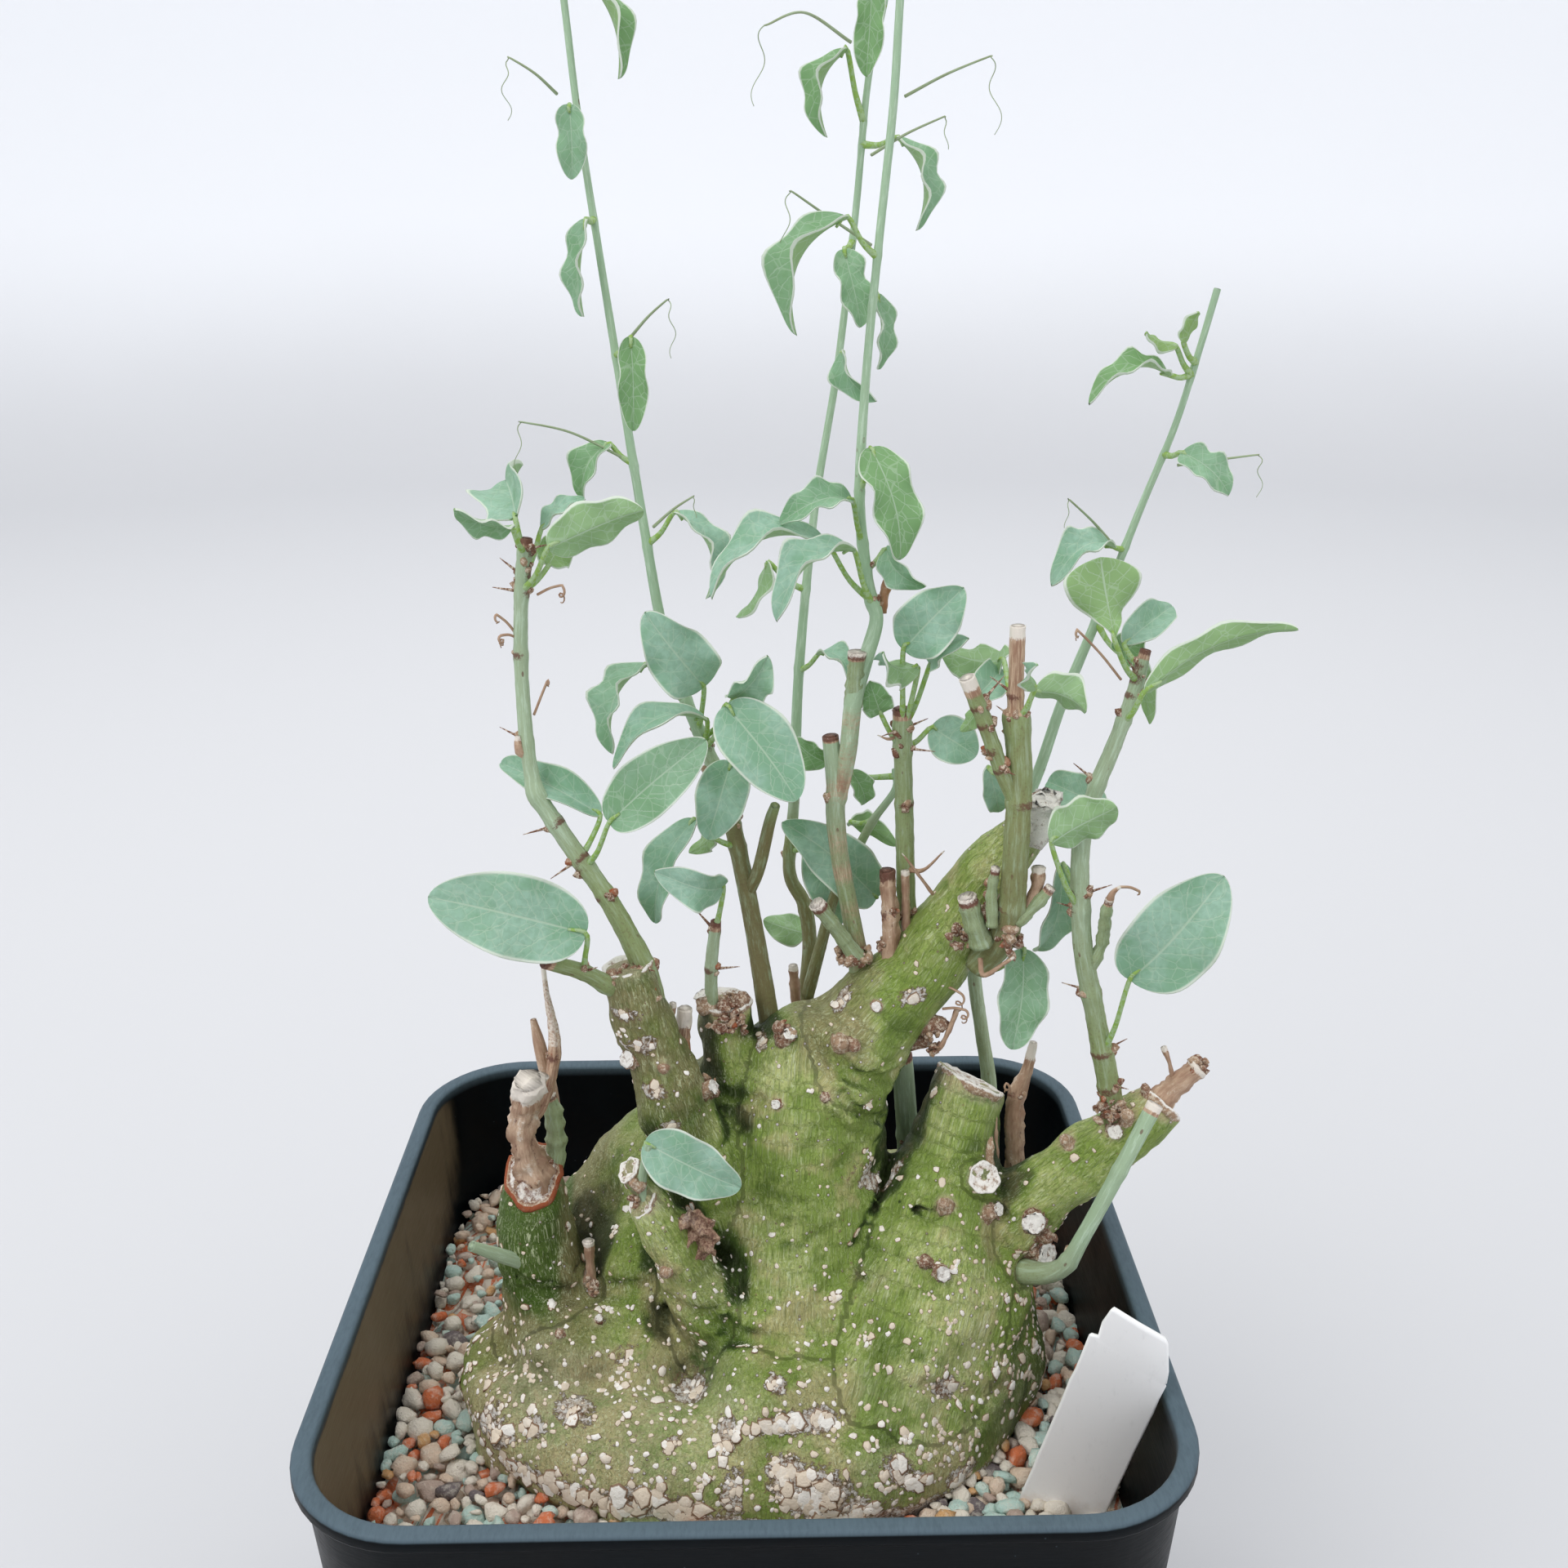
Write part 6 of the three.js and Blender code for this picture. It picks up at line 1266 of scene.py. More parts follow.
class CAUDEX_OT_pot(bpy.types.Operator):
    """Builds the square black pot with its turned-over rim"""

    bl_idname = "caudex.pot"
    bl_label = "Pot"

    def execute(self, context):
        look = context.scene.caudex_pot
        half, top, corner, wall = (value / MM for value in (look.rim_width / 2, look.height, look.corner, look.wall))
        bead = 0.9  # radius of the rim's round edges

        def inner(z):
            return half - look.rim_top / MM - look.taper * (top - z)

        def outer(z):
            return inner(z) + wall

        rows = [(4, 0), (outer(0) - 2, 0), (outer(0) - 0.5, 0.2), (outer(0.8), 0.8)]
        rows += [(outer(z), z) for z in np.linspace(4, top - 3.6, 9)]
        rows += [(outer(top - 3) + 0.1, top - 3.2), (half - 0.8, top - 3.1), (half - 0.25, top - 2.9)]
        rows += [(half, top - 2.4), (half, top - bead)]
        crest = len(rows)
        turn = np.linspace(0, np.pi / 2, 5)
        rows += [(half - bead + bead * np.cos(b), top - bead + bead * np.sin(b)) for b in turn[1:]]
        rows += [(inner(top) + bead - bead * np.sin(b), top - bead + bead * np.cos(b)) for b in turn]
        inside = len(rows)
        rows += [(inner(z), z) for z in np.linspace(top - 2.5, 4, 12)]
        rows += [(inner(2) - 1.2, 2.3), (inner(2) - 3, 2), (4, 2)]
        rings = np.stack([square_ring(h, max(corner - half + h, 0.08 * h), z, 12, 9) for h, z in rows])
        x, y, z = np.moveaxis(rings, -1, 0)
        lean = 0.5 * np.sin(np.pi * np.clip(z / top, 0, 1))  # the sides are drawn in a little halfway up
        for own, other in ((0, 1), (1, 0)):
            a, b = rings[..., own], rings[..., other]
            share = lean * np.cos(np.pi * b / (2 * half)).clip(0, 1)
            rings[..., own] -= share * np.sign(a) * (np.abs(a) > np.abs(b)) * 0.6
        number = np.arange(len(rows))[:, None]
        film = smooth_step(z, 95, 112) * smooth_step(-x, 50, 64) * smooth_step(70 - np.abs(y), 0, 20)
        # Painted highlight: the rim's crest takes a light blue-grey.
        worn = smooth_step(z, top - 1.6, top - 0.2)
        shell = loft(rings, film=film * (number >= inside), worn=worn * ((number >= crest) & (number < inside)))
        make_piece("square_pot", [shell], [pot_plastic(look)], ["pot"])
        return {"FINISHED"}


def packed(count, small, large, half, random):
    """Places of stone chips on the bed: random places pushed apart until they lie side by side, kept inside
    the round-cornered wall and outside the body."""
    rounds = 60
    places = random.uniform(-half, half, (count, 2))
    radii = 0.5 * (small + (large - small) * random.random(count) ** 2.2)
    level = np.full(count, GRAVEL_TOP)
    for turn in range(rounds):
        gap = places[:, None] - places[None]
        length = np.linalg.norm(gap, axis=-1) + np.eye(count) * 1e3
        short = np.maximum(0.9 * (radii[:, None] + radii[None]) - length, 0)
        places += 0.35 * (gap / length[..., None] * short[..., None]).sum(1)
        if turn % 4 == 0 or turn > rounds - 6:
            spots = np.column_stack([places, level])
            depth = plain_distance(spots)
            slope = np.stack([plain_distance(spots + step) - depth for step in np.eye(3)[:2] * 0.5], 1)
            places += unit(slope) * np.maximum(radii * 0.55 - depth, 0)[:, None]
        places = places.clip(-half + radii[:, None], half - radii[:, None])
        over = np.abs(places) - (half - WALL_CORNER)
        out = np.linalg.norm(over.clip(0), axis=1) - (WALL_CORNER - radii)
        places -= np.sign(places) * unit(over.clip(0)) * np.maximum(out, 0)[:, None]
    clear = plain_distance(np.column_stack([places, level])) > -0.5
    return places[clear], radii[clear]


def ball_of(squares):
    """A ball as a cube's six grids of squares blown up to it: its points and its faces."""
    count = (squares + 1) ** 2
    u, v = (axis.ravel() for axis in np.meshgrid(*[np.linspace(-1, 1, squares + 1)] * 2, indexing="ij"))
    first = [np.stack([np.full(count, sign), u * sign, v], 1) for sign in (1, -1)]
    sides = [np.roll(side, axis, 1) for axis in range(3) for side in first]
    grid = np.arange(count).reshape(squares + 1, -1)
    square = np.stack([grid[:-1, :-1], grid[1:, :-1], grid[1:, 1:], grid[:-1, 1:]], -1).reshape(-1, 4)
    shared, where = np.unique(np.vstack(sides).round(4), axis=0, return_inverse=True)
    return unit(shared), where.reshape(-1)[copies(square, 6, count)]


def pebbles(centres, radii, squares, random):
    """Chips: a ball with seven flats cut on it, stretched along three axes and turned at random."""
    ball, faces = ball_of(squares)
    count, flats = len(centres), 7
    cuts = unit(random.normal(size=(count, flats, 3)))
    depth = random.uniform(0.42, 0.9, (count, flats)) + 0.35 * (random.random((count, 1)) > 0.75)
    reach = np.full((count, len(ball)), 1.08)
    for k in range(flats):
        facing = np.einsum("pc,nc->np", ball, cuts[:, k])
        reach = np.minimum(reach, np.where(facing > 0.05, depth[:, k, None] / facing.clip(0.05), 9))
    stones = ball[None] * reach[..., None] * (1 + 0.05 * random.normal(size=(count, len(ball), 1)))
    limits = (0.95, 1.25), (0.75, 1.0), (0.55, 0.85)
    stones *= np.stack([random.uniform(low, high, count) for low, high in limits], 1)[:, None]
    spin, tip = random.uniform(0, 2 * np.pi, count), random.normal(0, 0.3, count)
    c, s, ct, st = np.cos(spin), np.sin(spin), np.cos(tip), np.sin(tip)
    rows = ((c, -s, 0 * c), (s * ct, c * ct, -st), (s * st, c * st, ct))
    turn = np.stack([np.stack(row, 1) for row in rows], 1)
    stones = np.einsum("nij,npj->npi", turn, stones) * radii[:, None, None] + centres[:, None]
    tint = np.repeat(random.random(count), len(ball))
    return part(stones.reshape(-1, 3), copies(faces, count, len(ball)), tint=tint)


def bed(half):
    """The grit under the chips: a level ring from under the body to the wall, and down to the soil."""
    ring = square_ring(half - 0.6, WALL_CORNER, 0, 8, 14)
    hollow = ring * [0.3, 0.3, 1]
    top = hollow[None] + (ring - hollow)[None] * np.linspace(0, 1, 26)[:, None, None]
    top[..., 2] = (GRAVEL_TOP - 4.2 + 0.9 * waves(top.reshape(-1, 3), 5, 8)).reshape(top.shape[:2])
    low = top[::-1].copy()
    low[..., 2] = 90
    rings = np.concatenate([top, low])
    grid, turned, _ = ring_faces(*rings.shape[:2])
    faces = np.stack([grid, np.roll(grid, -1, 0), np.roll(turned, -1, 0), turned], -1).reshape(-1, 4)
    tint = 0.05 + 0.9 * (0.5 + 0.5 * waves(rings.reshape(-1, 3), 3, 9)).clip(0, 1)
    return part(rings.reshape(-1, 3), faces, tint=tint)


class CAUDEX_OT_gravel(bpy.types.Operator):
    """Builds the gravel bed and its loose stone chips, and finishes the soil"""

    bl_idname = "caudex.gravel"
    bl_label = "Gravel and soil"

    def execute(self, context):
        look, pot = context.scene.caudex_gravel, context.scene.caudex_pot
        random = np.random.default_rng(5)
        sizes = look.small / MM, look.large / MM
        half = (pot.rim_width / 2 - pot.rim_top) / MM - TAPER * GRAVEL_DEPTH
        centres, radii = packed(look.count, *sizes, half, random)
        low, low_radii = packed(int(look.count * 0.6), *sizes, half, random)
        finish = gravel_finish(look)
        top = np.column_stack([centres, GRAVEL_TOP - 0.6 + random.uniform(-1.1, 0.9, len(centres))])
        make_piece("stone_chips", [pebbles(top, radii, 3, random)], [finish])
        deep = np.column_stack([low, GRAVEL_TOP - 3 + random.uniform(-0.8, 0.8, len(low))])
        make_piece("gravel_bed", [pebbles(deep, low_radii, 2, random), bed(half)], [finish], ["gravel"])
        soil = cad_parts["soil"].data.materials
        soil.clear()
        soil.append(soil_finish(look))
        return {"FINISHED"}


class CAUDEX_OT_label(bpy.types.Operator):
    """Builds the blank white plant label"""

    bl_idname = "caudex.label"
    bl_label = "Plant label"

    def execute(self, context):
        look = context.scene.caudex_label
        half, length, thick = look.width / MM / 2, look.length / MM, look.thickness / MM
        # Left and right end of each row, upwards: the point, the straight part, then the torn top
        rows = [((-0.6, -length), (0.6, -length)), ((-half, 9 - length), (half, 9 - length))]
        rows += [((-half, z), (half, z)) for z in np.linspace(18 - length, -16, 14)]
        rows += [((-half, -7.8), (half, -12.6)), ((-half + 0.2, -7.4), (half - 0.35, -12.2)),
                 ((-half + 1.4, -7.2), (half - 0.1, -11.9)), ((-half + 1.1, -4.0), (half - 0.6, -9.3)),
                 ((-half + 1.6, -0.7), (half - 2.6, -3.4)), ((-half + 1.9, -0.1), (half - 3.4, -2.4))]
        ends = np.array(rows, float)
        ends[2:16, :, 0] += np.random.default_rng(2).normal(0, 0.06, (14, 2))
        share = np.array([0, 0.012, 0.035, 0.5, 0.965, 0.988, 1])
        front = ends[:, :1] + (ends[:, 1:] - ends[:, :1]) * share[None, :, None]
        bow = 0.35 * (1 - (front[..., 0] / half) ** 2) + 0.5 * np.sin(np.pi * front[..., 1] / length)
        edge = np.array([0.12, 0.9, 1, 1, 1, 0.9, 0.12]) * thick / 2
        face, back = (np.concatenate([front, depth[..., None]], -1) for depth in (bow + edge, bow - edge))
        up, across = unit((0.21, -0.165, 0.963)), np.array([0.93, -0.26, -0.25])
        across = unit(across - (across @ up) * up)
        axes = np.stack([across, up, np.cross(across, up)])
        placed = np.array([66.7, -47.6, 147.3]) + np.concatenate([face, back[:, ::-1]], 1) @ axes
        make_piece("blank_label", [loft(placed)], [label_plastic(look)], ["plant_label"])
        return {"FINISHED"}


def body_distance(points):
    """Distance to the skin above the gravel, cut flat just below it, with the tap root."""
    floor = np.where(np.hypot(points[:, 0], points[:, 1]) < 18, -1e3, 92 - points[:, 2])
    return np.maximum(skin_distance(points), floor)


def on_skin(points):
    """Points drawn on to the skin along its slope, and their outward directions."""
    for _ in range(3):
        depth = skin_distance(points)
        slope = unit(np.stack([skin_distance(points + step) - depth for step in np.eye(3) * 0.4], 1))
        points = points - slope * depth[:, None]
    return points, slope


def knobs(random):
    """Buds and stubs: a ring swept along a short axis with a profile radius that flares at the foot, and
    then domes over for a bud or turns in over a flat sawn end for a stub."""
    made, sides = [], 14
    bud = [(-0.5, 1.5), (0.0, 1.3), (0.25, 1.02), (0.5, 0.98), (0.7, 0.9), (0.85, 0.7), (0.97, 0.4), (1.0, 0.12)]
    stub = [(-0.5, 1.5), (0.0, 1.25), (0.35, 1.02), (0.7, 0.95), (0.9, 1.02), (0.98, 1.0), (1.0, 0.9), (0.98, 0.8),
            (0.93, 0.55), (0.95, 0.25)]
    feet, _ = on_skin(np.array([knob[0] for knob in KNOBS], float))
    for foot, (place, facing, radius, length, kind) in zip(feet, KNOBS):
        white = kind == 2
        if white:
            foot = np.array(place, float)
        ahead, side, up = facing_frame(facing, (0.3, 0.9, 0.2))
        rise, reach = np.array(stub if kind else bud).T[:, :, None]
        rough = 1 + (0.22 if white else 0.12) * random.normal(size=(len(rise), sides)).clip(-1.5, 1.5)
        out = spokes(circle(sides), side, up)
        lifted = rise * length * (1 + 0.05 * random.normal(size=rough.shape))
        rings = foot + lifted[..., None] * ahead + (reach * radius * (1 if kind else 0.8) * rough)[..., None] * out
        tone = np.where(rise > 0.92, 0.8 if kind else 0.3, 1.0 if white else 0.1)
        made.append(loft(rings, tone=tone, tint=random.uniform(0.2, 0.85)))
    return made


def cut_faces():
    """Sawn ends of the limbs: rings about each end, raised at the bark's edge and dished towards the pith.
    The left stub has a wide orange-brown collar round wood that rises instead."""
    made, sides = [], 28
    turn = circle(sides)
    reach = np.array([0.96, 1.03, 1.05, 1.02, 0.95, 0.86, 0.6, 0.3, 0.1])
    rise = np.array([-1.4, -0.5, 0.1, 0.35, 0.35, 0.1, -0.1, -0.2, -0.4])
    tone = np.array([0.15, 0.2, 0.45, 0.9, 1, 0.5, 0.4, 0.55, 0.3])
    wider = np.array([0.15, 0.15, 0.1, 0.03, 0, 0, 0, 0, 0])
    higher = np.array([0.5, 0.5, 0.5, 0.6, 0.8, 1.2, 2.4, 3.6, 4.4])
    ring = np.arange(len(reach))
    for number, (route, _, facing) in enumerate(LIMBS):
        if facing is None:
            continue
        collar = number == LEFT_STUB
        end, radius = np.array(route[-1][:3], float), route[-1][3]
        ahead, side, up = facing_frame(facing, (0.2, 1, 0.1))
        out = spokes(turn, side, up)
        skew = 1 / np.sqrt(np.maximum(1 - (out @ unit(end - route[-2][:3])) ** 2, 0.3))
        wobble = 1 + 0.04 * np.sin(3 * turn + number) + 0.04 * np.sin(7 * turn + 2 * number)
        flat = (out * radius)[None].repeat(len(reach), 0).reshape(-1, 3) * reach.repeat(sides)[:, None]
        crumbs = (0.6 if collar else 0.22) * waves(flat + number * 7, 2.0, number, 3).reshape(len(reach), sides)
        lifted = (rise + collar * higher) * min(radius / 4.5, 1)
        rings = (end + (radius * (reach + collar * wider)[:, None] * skew * wobble)[..., None] * out
                 + (lifted[:, None] + crumbs)[..., None] * ahead)
        tint = np.where(ring < 4, 1.0, 0.3)[:, None] if collar else 0.7
        shade = np.where(ring < 5, 0.3, 0.9) if collar else 1
        made.append(loft(rings, tone=(tone * shade)[:, None], tint=tint))
    return made


def skin_traits(points, normals):
    """What the skin's finish reads: painted shade in the hollows (fold, from the distance a little way outside the
    skin), the brown-grey cast, a darkness mask that holds the deep green of the left stub and some limbs and
    painted shade on sides away from the light, tan joints near buds and stems, and flaky cork near the crusts."""
    x, y, z = points.T
    step = smooth_step
    # Painted shade: fold is high where a point a little way out from the skin still lies close to the body, in hollows
    # and creases.
    wide = 1 - plain_distance(points + normals * 7) / 7
    fine = 1 - skin_distance(points + normals * 1.5) / 1.5
    fold = np.clip(0.8 * step(wide, 0.1, 0.9) + 0.9 * step(fine, 0.35, 1.1), 0, 1)
    cast = 0.85 * step(-x, 14, 36) * step(z, 108, 122) + 0.55 * step(y, 2, 22)
    cast += 0.75 * step(-x, -2, 10) * step(z, 150, 175) + 0.3 * step(-x, 20, 44)
    cast = np.maximum(cast, 0.9 * step(z, 166, 176) * step(x, 4, 12) * step(24 - x, -6, 6))
    cast *= 1 - step(-x, 33, 37) * step(z, 122, 132)
    # Deep green of the left stub, the left branch and the thick branch, and painted shade: darker skin between the
    # trunk and the right lobe, left of the trunk, on the low right side of the right lobe and on sides away from the
    # light.
    dark = 0.95 * step(-x, 31, 36) * step(z, 120, 130) + 0.65 * step(-x, 2, 10) * step(z, 146, 162)
    dark += 0.4 * step(x, 17, 24) * step(34 - x, 4, 10) * step(150 - z, 0, 14)
    # Painted shade: skin that faces away from the light from the front, above and left is darker.
    dark += 0.8 * step(0.4 - normals @ (-0.3, -0.7, 0.5), 0, 1.0) + 0.2 * step(z, 165, 185) * step(x, 16, 26)
    dark += 0.6 * step(x, 39, 52) * step(130 - z, 0, 15)
    dark += 0.4 * step(x, -14, -9) * step(1 - x, -2, 5) * step(z, 112, 122) * step(152 - z, 0, 14)
    feet = [(*knob[0], knob[2]) for knob in KNOBS] + [routes[0][0] for _, routes, _ in STEMS.values()]
    feet = np.array(feet + [limb[0][-1] for limb in LIMBS if limb[2]], float)
    near = (np.sqrt(((points[:, None] - feet[None, :, :3]) ** 2).sum(-1)) - feet[:, 3]).min(1)
    low = (0.5 + 0.3 * step(-x, 0, 20)) * step(132 - z, 0, 14) * step(-y, 12, 24)
    cork = np.zeros(len(points))
    for middle, along, across, *_ in CRUSTS:
        facing = unit((middle[0], middle[1] + 20, 0))
        gap = points - middle
        deep = np.hypot(gap[:, 2], gap @ facing * 0.5)
        reach = np.hypot((gap @ (-facing[1], facing[0], 0)) / (along + 0.6), deep / (across + 0.6))
        cork = np.maximum(cork, 1.1 - 0.6 * reach)
    cork = np.maximum(cork, 0.95 * step(x, -20, -8) * step(106 - z - 0.06 * x, 0, 4) * step(-y, 18, 30))
    join = np.maximum(step(2 - near, 0, 2.5), low)
    return {"grain": limb_grain(points), "fold": fold, "cast": cast, "dark": dark, "cork": cork, "join": join}


def warts(points, normals, count, usual, random):
    """Small corky warts: single ones that are thickest low on the front, groups of five about the first
    seventy of them, and crusts of many grains where CRUSTS puts them."""
    _, y, z = points.T
    weight = (0.25 + 0.7 * smooth_step(132 - z, -4, 26) + 0.35 * smooth_step(150 - z, 0, 20)) * (z > 101.5)
    weight *= 0.35 + smooth_step(-y, -10, 22)
    picks = random.choice(len(points), count, False, weight / weight.sum())
    size = usual * (0.6 + 0.6 * random.random(count) + 1.3 * random.random(count) ** 9)
    size *= 0.85 + 0.25 * smooth_step(128 - z[picks], 0, 20)
    parts = [stuck_on(points[picks], normals[picks], size, size * 0.5, 21)]
    groups, each = 70, 5
    places = points[picks[:groups]].repeat(each, 0)
    spread = random.normal(size=(groups * each, 3))
    spots, facing = on_skin(places + spread * random.uniform(0.4, 1.1, (groups, 1)).repeat(each, 0))
    size = random.uniform(0.3, 0.6, groups * each)
    parts.append(stuck_on(spots, facing, size, size * 0.4, 22))
    for number, (middle, along, across, count, grain) in enumerate(CRUSTS):
        count = max(3, int(0.55 * count))
        place, out = on_skin(np.array([middle], float))
        side = unit(np.cross((0, 0, 1), out[0]))
        up = np.cross(out[0], side)
        spread = random.normal(size=(count, 2)).clip(-1.9, 1.9) * (along, across) * 0.62
        spots, facing = on_skin(place + spread[:, :1] * side + spread[:, 1:] * up)
        sizes = grain * random.uniform(0.35, 1.0, count)
        parts.append(stuck_on(spots, facing, sizes * 1.15, sizes * random.uniform(0.18, 0.34, count), 40 + number))
    return parts


def bud_scales(random):
    """Heaps of crumbs about the middles that SCALES gives, each facing outwards, to the front and up."""
    heaps = []
    for number, (middle, reach, count, grain) in enumerate(SCALES):
        count = int(1.5 * count)
        places = np.array(middle) + random.normal(size=(count, 3)).clip(-1.6, 1.6) * np.array(reach) * 0.5
        facing = unit(random.normal(size=(count, 3)) + unit(places - middle) + (0, -0.3, 0.6))
        sizes = grain * random.uniform(0.3, 0.85, count)
        heights = sizes * random.uniform(0.8, 2.6, count)
        heaps.append(stuck_on(places, facing, sizes, heights, 80 + number, tone=-0.75))
    return heaps


class CAUDEX_OT_body(bpy.types.Operator):
    """Builds the swollen body with its folds, warts, cork crusts, buds and sawn ends"""

    bl_idname = "caudex.body"
    bl_label = "Body"

    def execute(self, context):
        look = context.scene.caudex_body
        points, quads = field_surface(body_distance, (-66, -54, 58), (90, 56, 226), look.cell / MM)
        normals = surface_normals(points, quads)
        skin = part(points, quads, **skin_traits(points, normals))
        make_piece("caudex_skin", [skin], [body_skin(look)], ["caudex"])
        random = np.random.default_rng(12)
        parts = warts(points, normals, look.warts, look.wart_size / MM, random)
        make_piece("cork_warts", parts, [white_cork(look)])
        make_piece("bud_scales", bud_scales(random), [sawn_wood(look)])
        make_piece("buds_and_cuts", knobs(random) + cut_faces(), [sawn_wood(look)])
        return {"FINISHED"}


def sawn(centres, radii, sides, relief, **traits):
    """A tube with a sawn end: past its end five more rings close in over a raised rim and a dished pith."""
    rise, reach = np.array([0.18, 0.28, 0.15, -0.05, -0.3]), np.array([1.0, 0.86, 0.66, 0.4, 0.15])

    def longer(values, shares):
        full = np.broadcast_to(values, (len(radii), sides))
        return np.vstack([full, full[-1:] * shares[:, None]])

    ahead = unit(centres[-1] - centres[-2])
    ends = centres[-1] + ahead * rise[:, None] * radii[-1]
    traits = {name: longer(value, np.ones(len(reach))) for name, value in traits.items()}
    wider = np.append(radii, radii[-1] * reach)
    return tube(np.vstack([centres, ends]), wider, sides, 0, longer(relief, reach), **traits)


def shoot(route, kind, roots, ages, random, first, cream, amber):
    """A stem: its radius swells a little at each node, where a leaf stands or every 20 mm or so, is
    ribbed along its length and turns dry at its top, which is a cream sawn end or a ragged brown one.
    Brown bud scales and a thin spike sit at nodes."""
    _, rough, stain, dry_end, scales = KINDS[kind]
    spots, along = even_route(route, 0.9)
    centres, radii = spots[:, :3], spots[:, 3].copy()
    z, top = centres[:, 2], along[-1]
    sides = 16
    gaps = [np.linalg.norm(centres - root, axis=1) for root in roots]
    nodes = [along[gap.argmin()] for gap in gaps if gap.min() < 2.5]
    if kind != "green" or len(roots) == 0:
        nodes += list(np.arange(10 + 8 * random.random(), top - 4, 15 + 7 * random.random()))
    knot = sum((np.exp(-(((along - at) / 0.9) ** 2)) for at in nodes), np.zeros(len(along))).clip(0, 1)
    turn = circle(sides)
    ribs = 0.025 * np.sin(5 * turn + 0.04 * along[:, None]) + 0.02 * np.sin(8 * turn - 0.09 * along[:, None])
    ahead, across, up = cross_frame(centres)
    skin = (centres[:, None] + radii[:, None, None] * spokes(turn, across[:, None], up[:, None])).reshape(-1, 3)
    relief = ribs * rough + 0.02 * rough * waves(centres, 9, 6)[:, None] + 0.13 * knot[:, None]
    relief = relief + 0.012 * rough * random.normal(size=relief.shape)
    if kind == "dead":
        relief = relief + 0.07 * radii[:, None] * waves(skin, 2.6, 9, 3).reshape(relief.shape)
    if first:
        relief += 0.3 * np.exp(-along / 3)[:, None]
    low, high, young, old, woody = ages
    age = young + (old - young) * smooth_step(high - z, 0, high - low)
    bias = 0.5 + 0.5 * np.cos(turn[None] - 2.4 * np.round(along[:, None] / 16))
    tone = stain * knot[:, None] * bias**1.5 * smooth_step(radii, 0.5, 1.2)[:, None]
    dryness = woody * smooth_step(high - 20 - z, -6, 6) * (1 + 0.5 * waves(centres, 12, 3))
    if kind != "green" or route[-1][3] > 1.2:
        length = dry_end * (1.6 if cream else 0.8)
        end = (1.35 if cream else 0.7) * smooth_step(along, top - length, top - 0.2 * length)
        dryness = np.maximum(dryness, end + 0.25 * (along > top - 3 * length))
        tone = tone + (0.0 if cream else 1.1) * smooth_step(along, top - 0.8 * length, top)[:, None]
    if route[-1] == DRY_TOP:
        dryness = np.maximum(dryness, 0.8 * smooth_step(z, 240.5, 241.5))
    if kind == "dead":
        dryness = dryness + 0.9 * (route[-1][3] < 0.5)
        # Painted shade: the grooves of a dead shoot's relief take the dark scar colour.
        tone = tone + 0.6 * smooth_step(-relief, 0.0, 0.25)
    traits = {"tone": tone, "dryness": dryness[:, None], "age": age[:, None], "tint": float(amber)}
    parts = [sawn(centres, radii, sides, relief, **traits)]
    for at in nodes:
        here = np.abs(along - at).argmin()
        size, middle, forward = radii[here], centres[here], ahead[here]
        if size < 1.0:
            continue
        angle = random.uniform(0, 2 * np.pi, scales) * 0.35 + random.choice([0, np.pi])
        out = spokes(angle, across[here], up[here])
        places = middle + out * size * 1.02 + forward * random.uniform(-0.8, 1.2, (scales, 1))
        grain = random.uniform(0.3, 0.6, scales) * min(size, 1.5) / 1.3
        heights = grain * random.uniform(0.9, 2.0, scales)
        parts.append(stuck_on(places, unit(out + forward * 0.5), grain, heights, int(at * 7), 2, -0.75))
        if random.random() < 0.55 and kind == "old":
            tip = out[0] * random.uniform(2.5, 5) + forward * random.uniform(0, 3)
            line = middle + np.linspace(0.2, 1, 6)[:, None] * (out[0] * size + tip)
            parts.append(tube(line, np.linspace(0.32, 0.06, 6), 6, 2, tone=0.0, tint=0.1))
    return parts


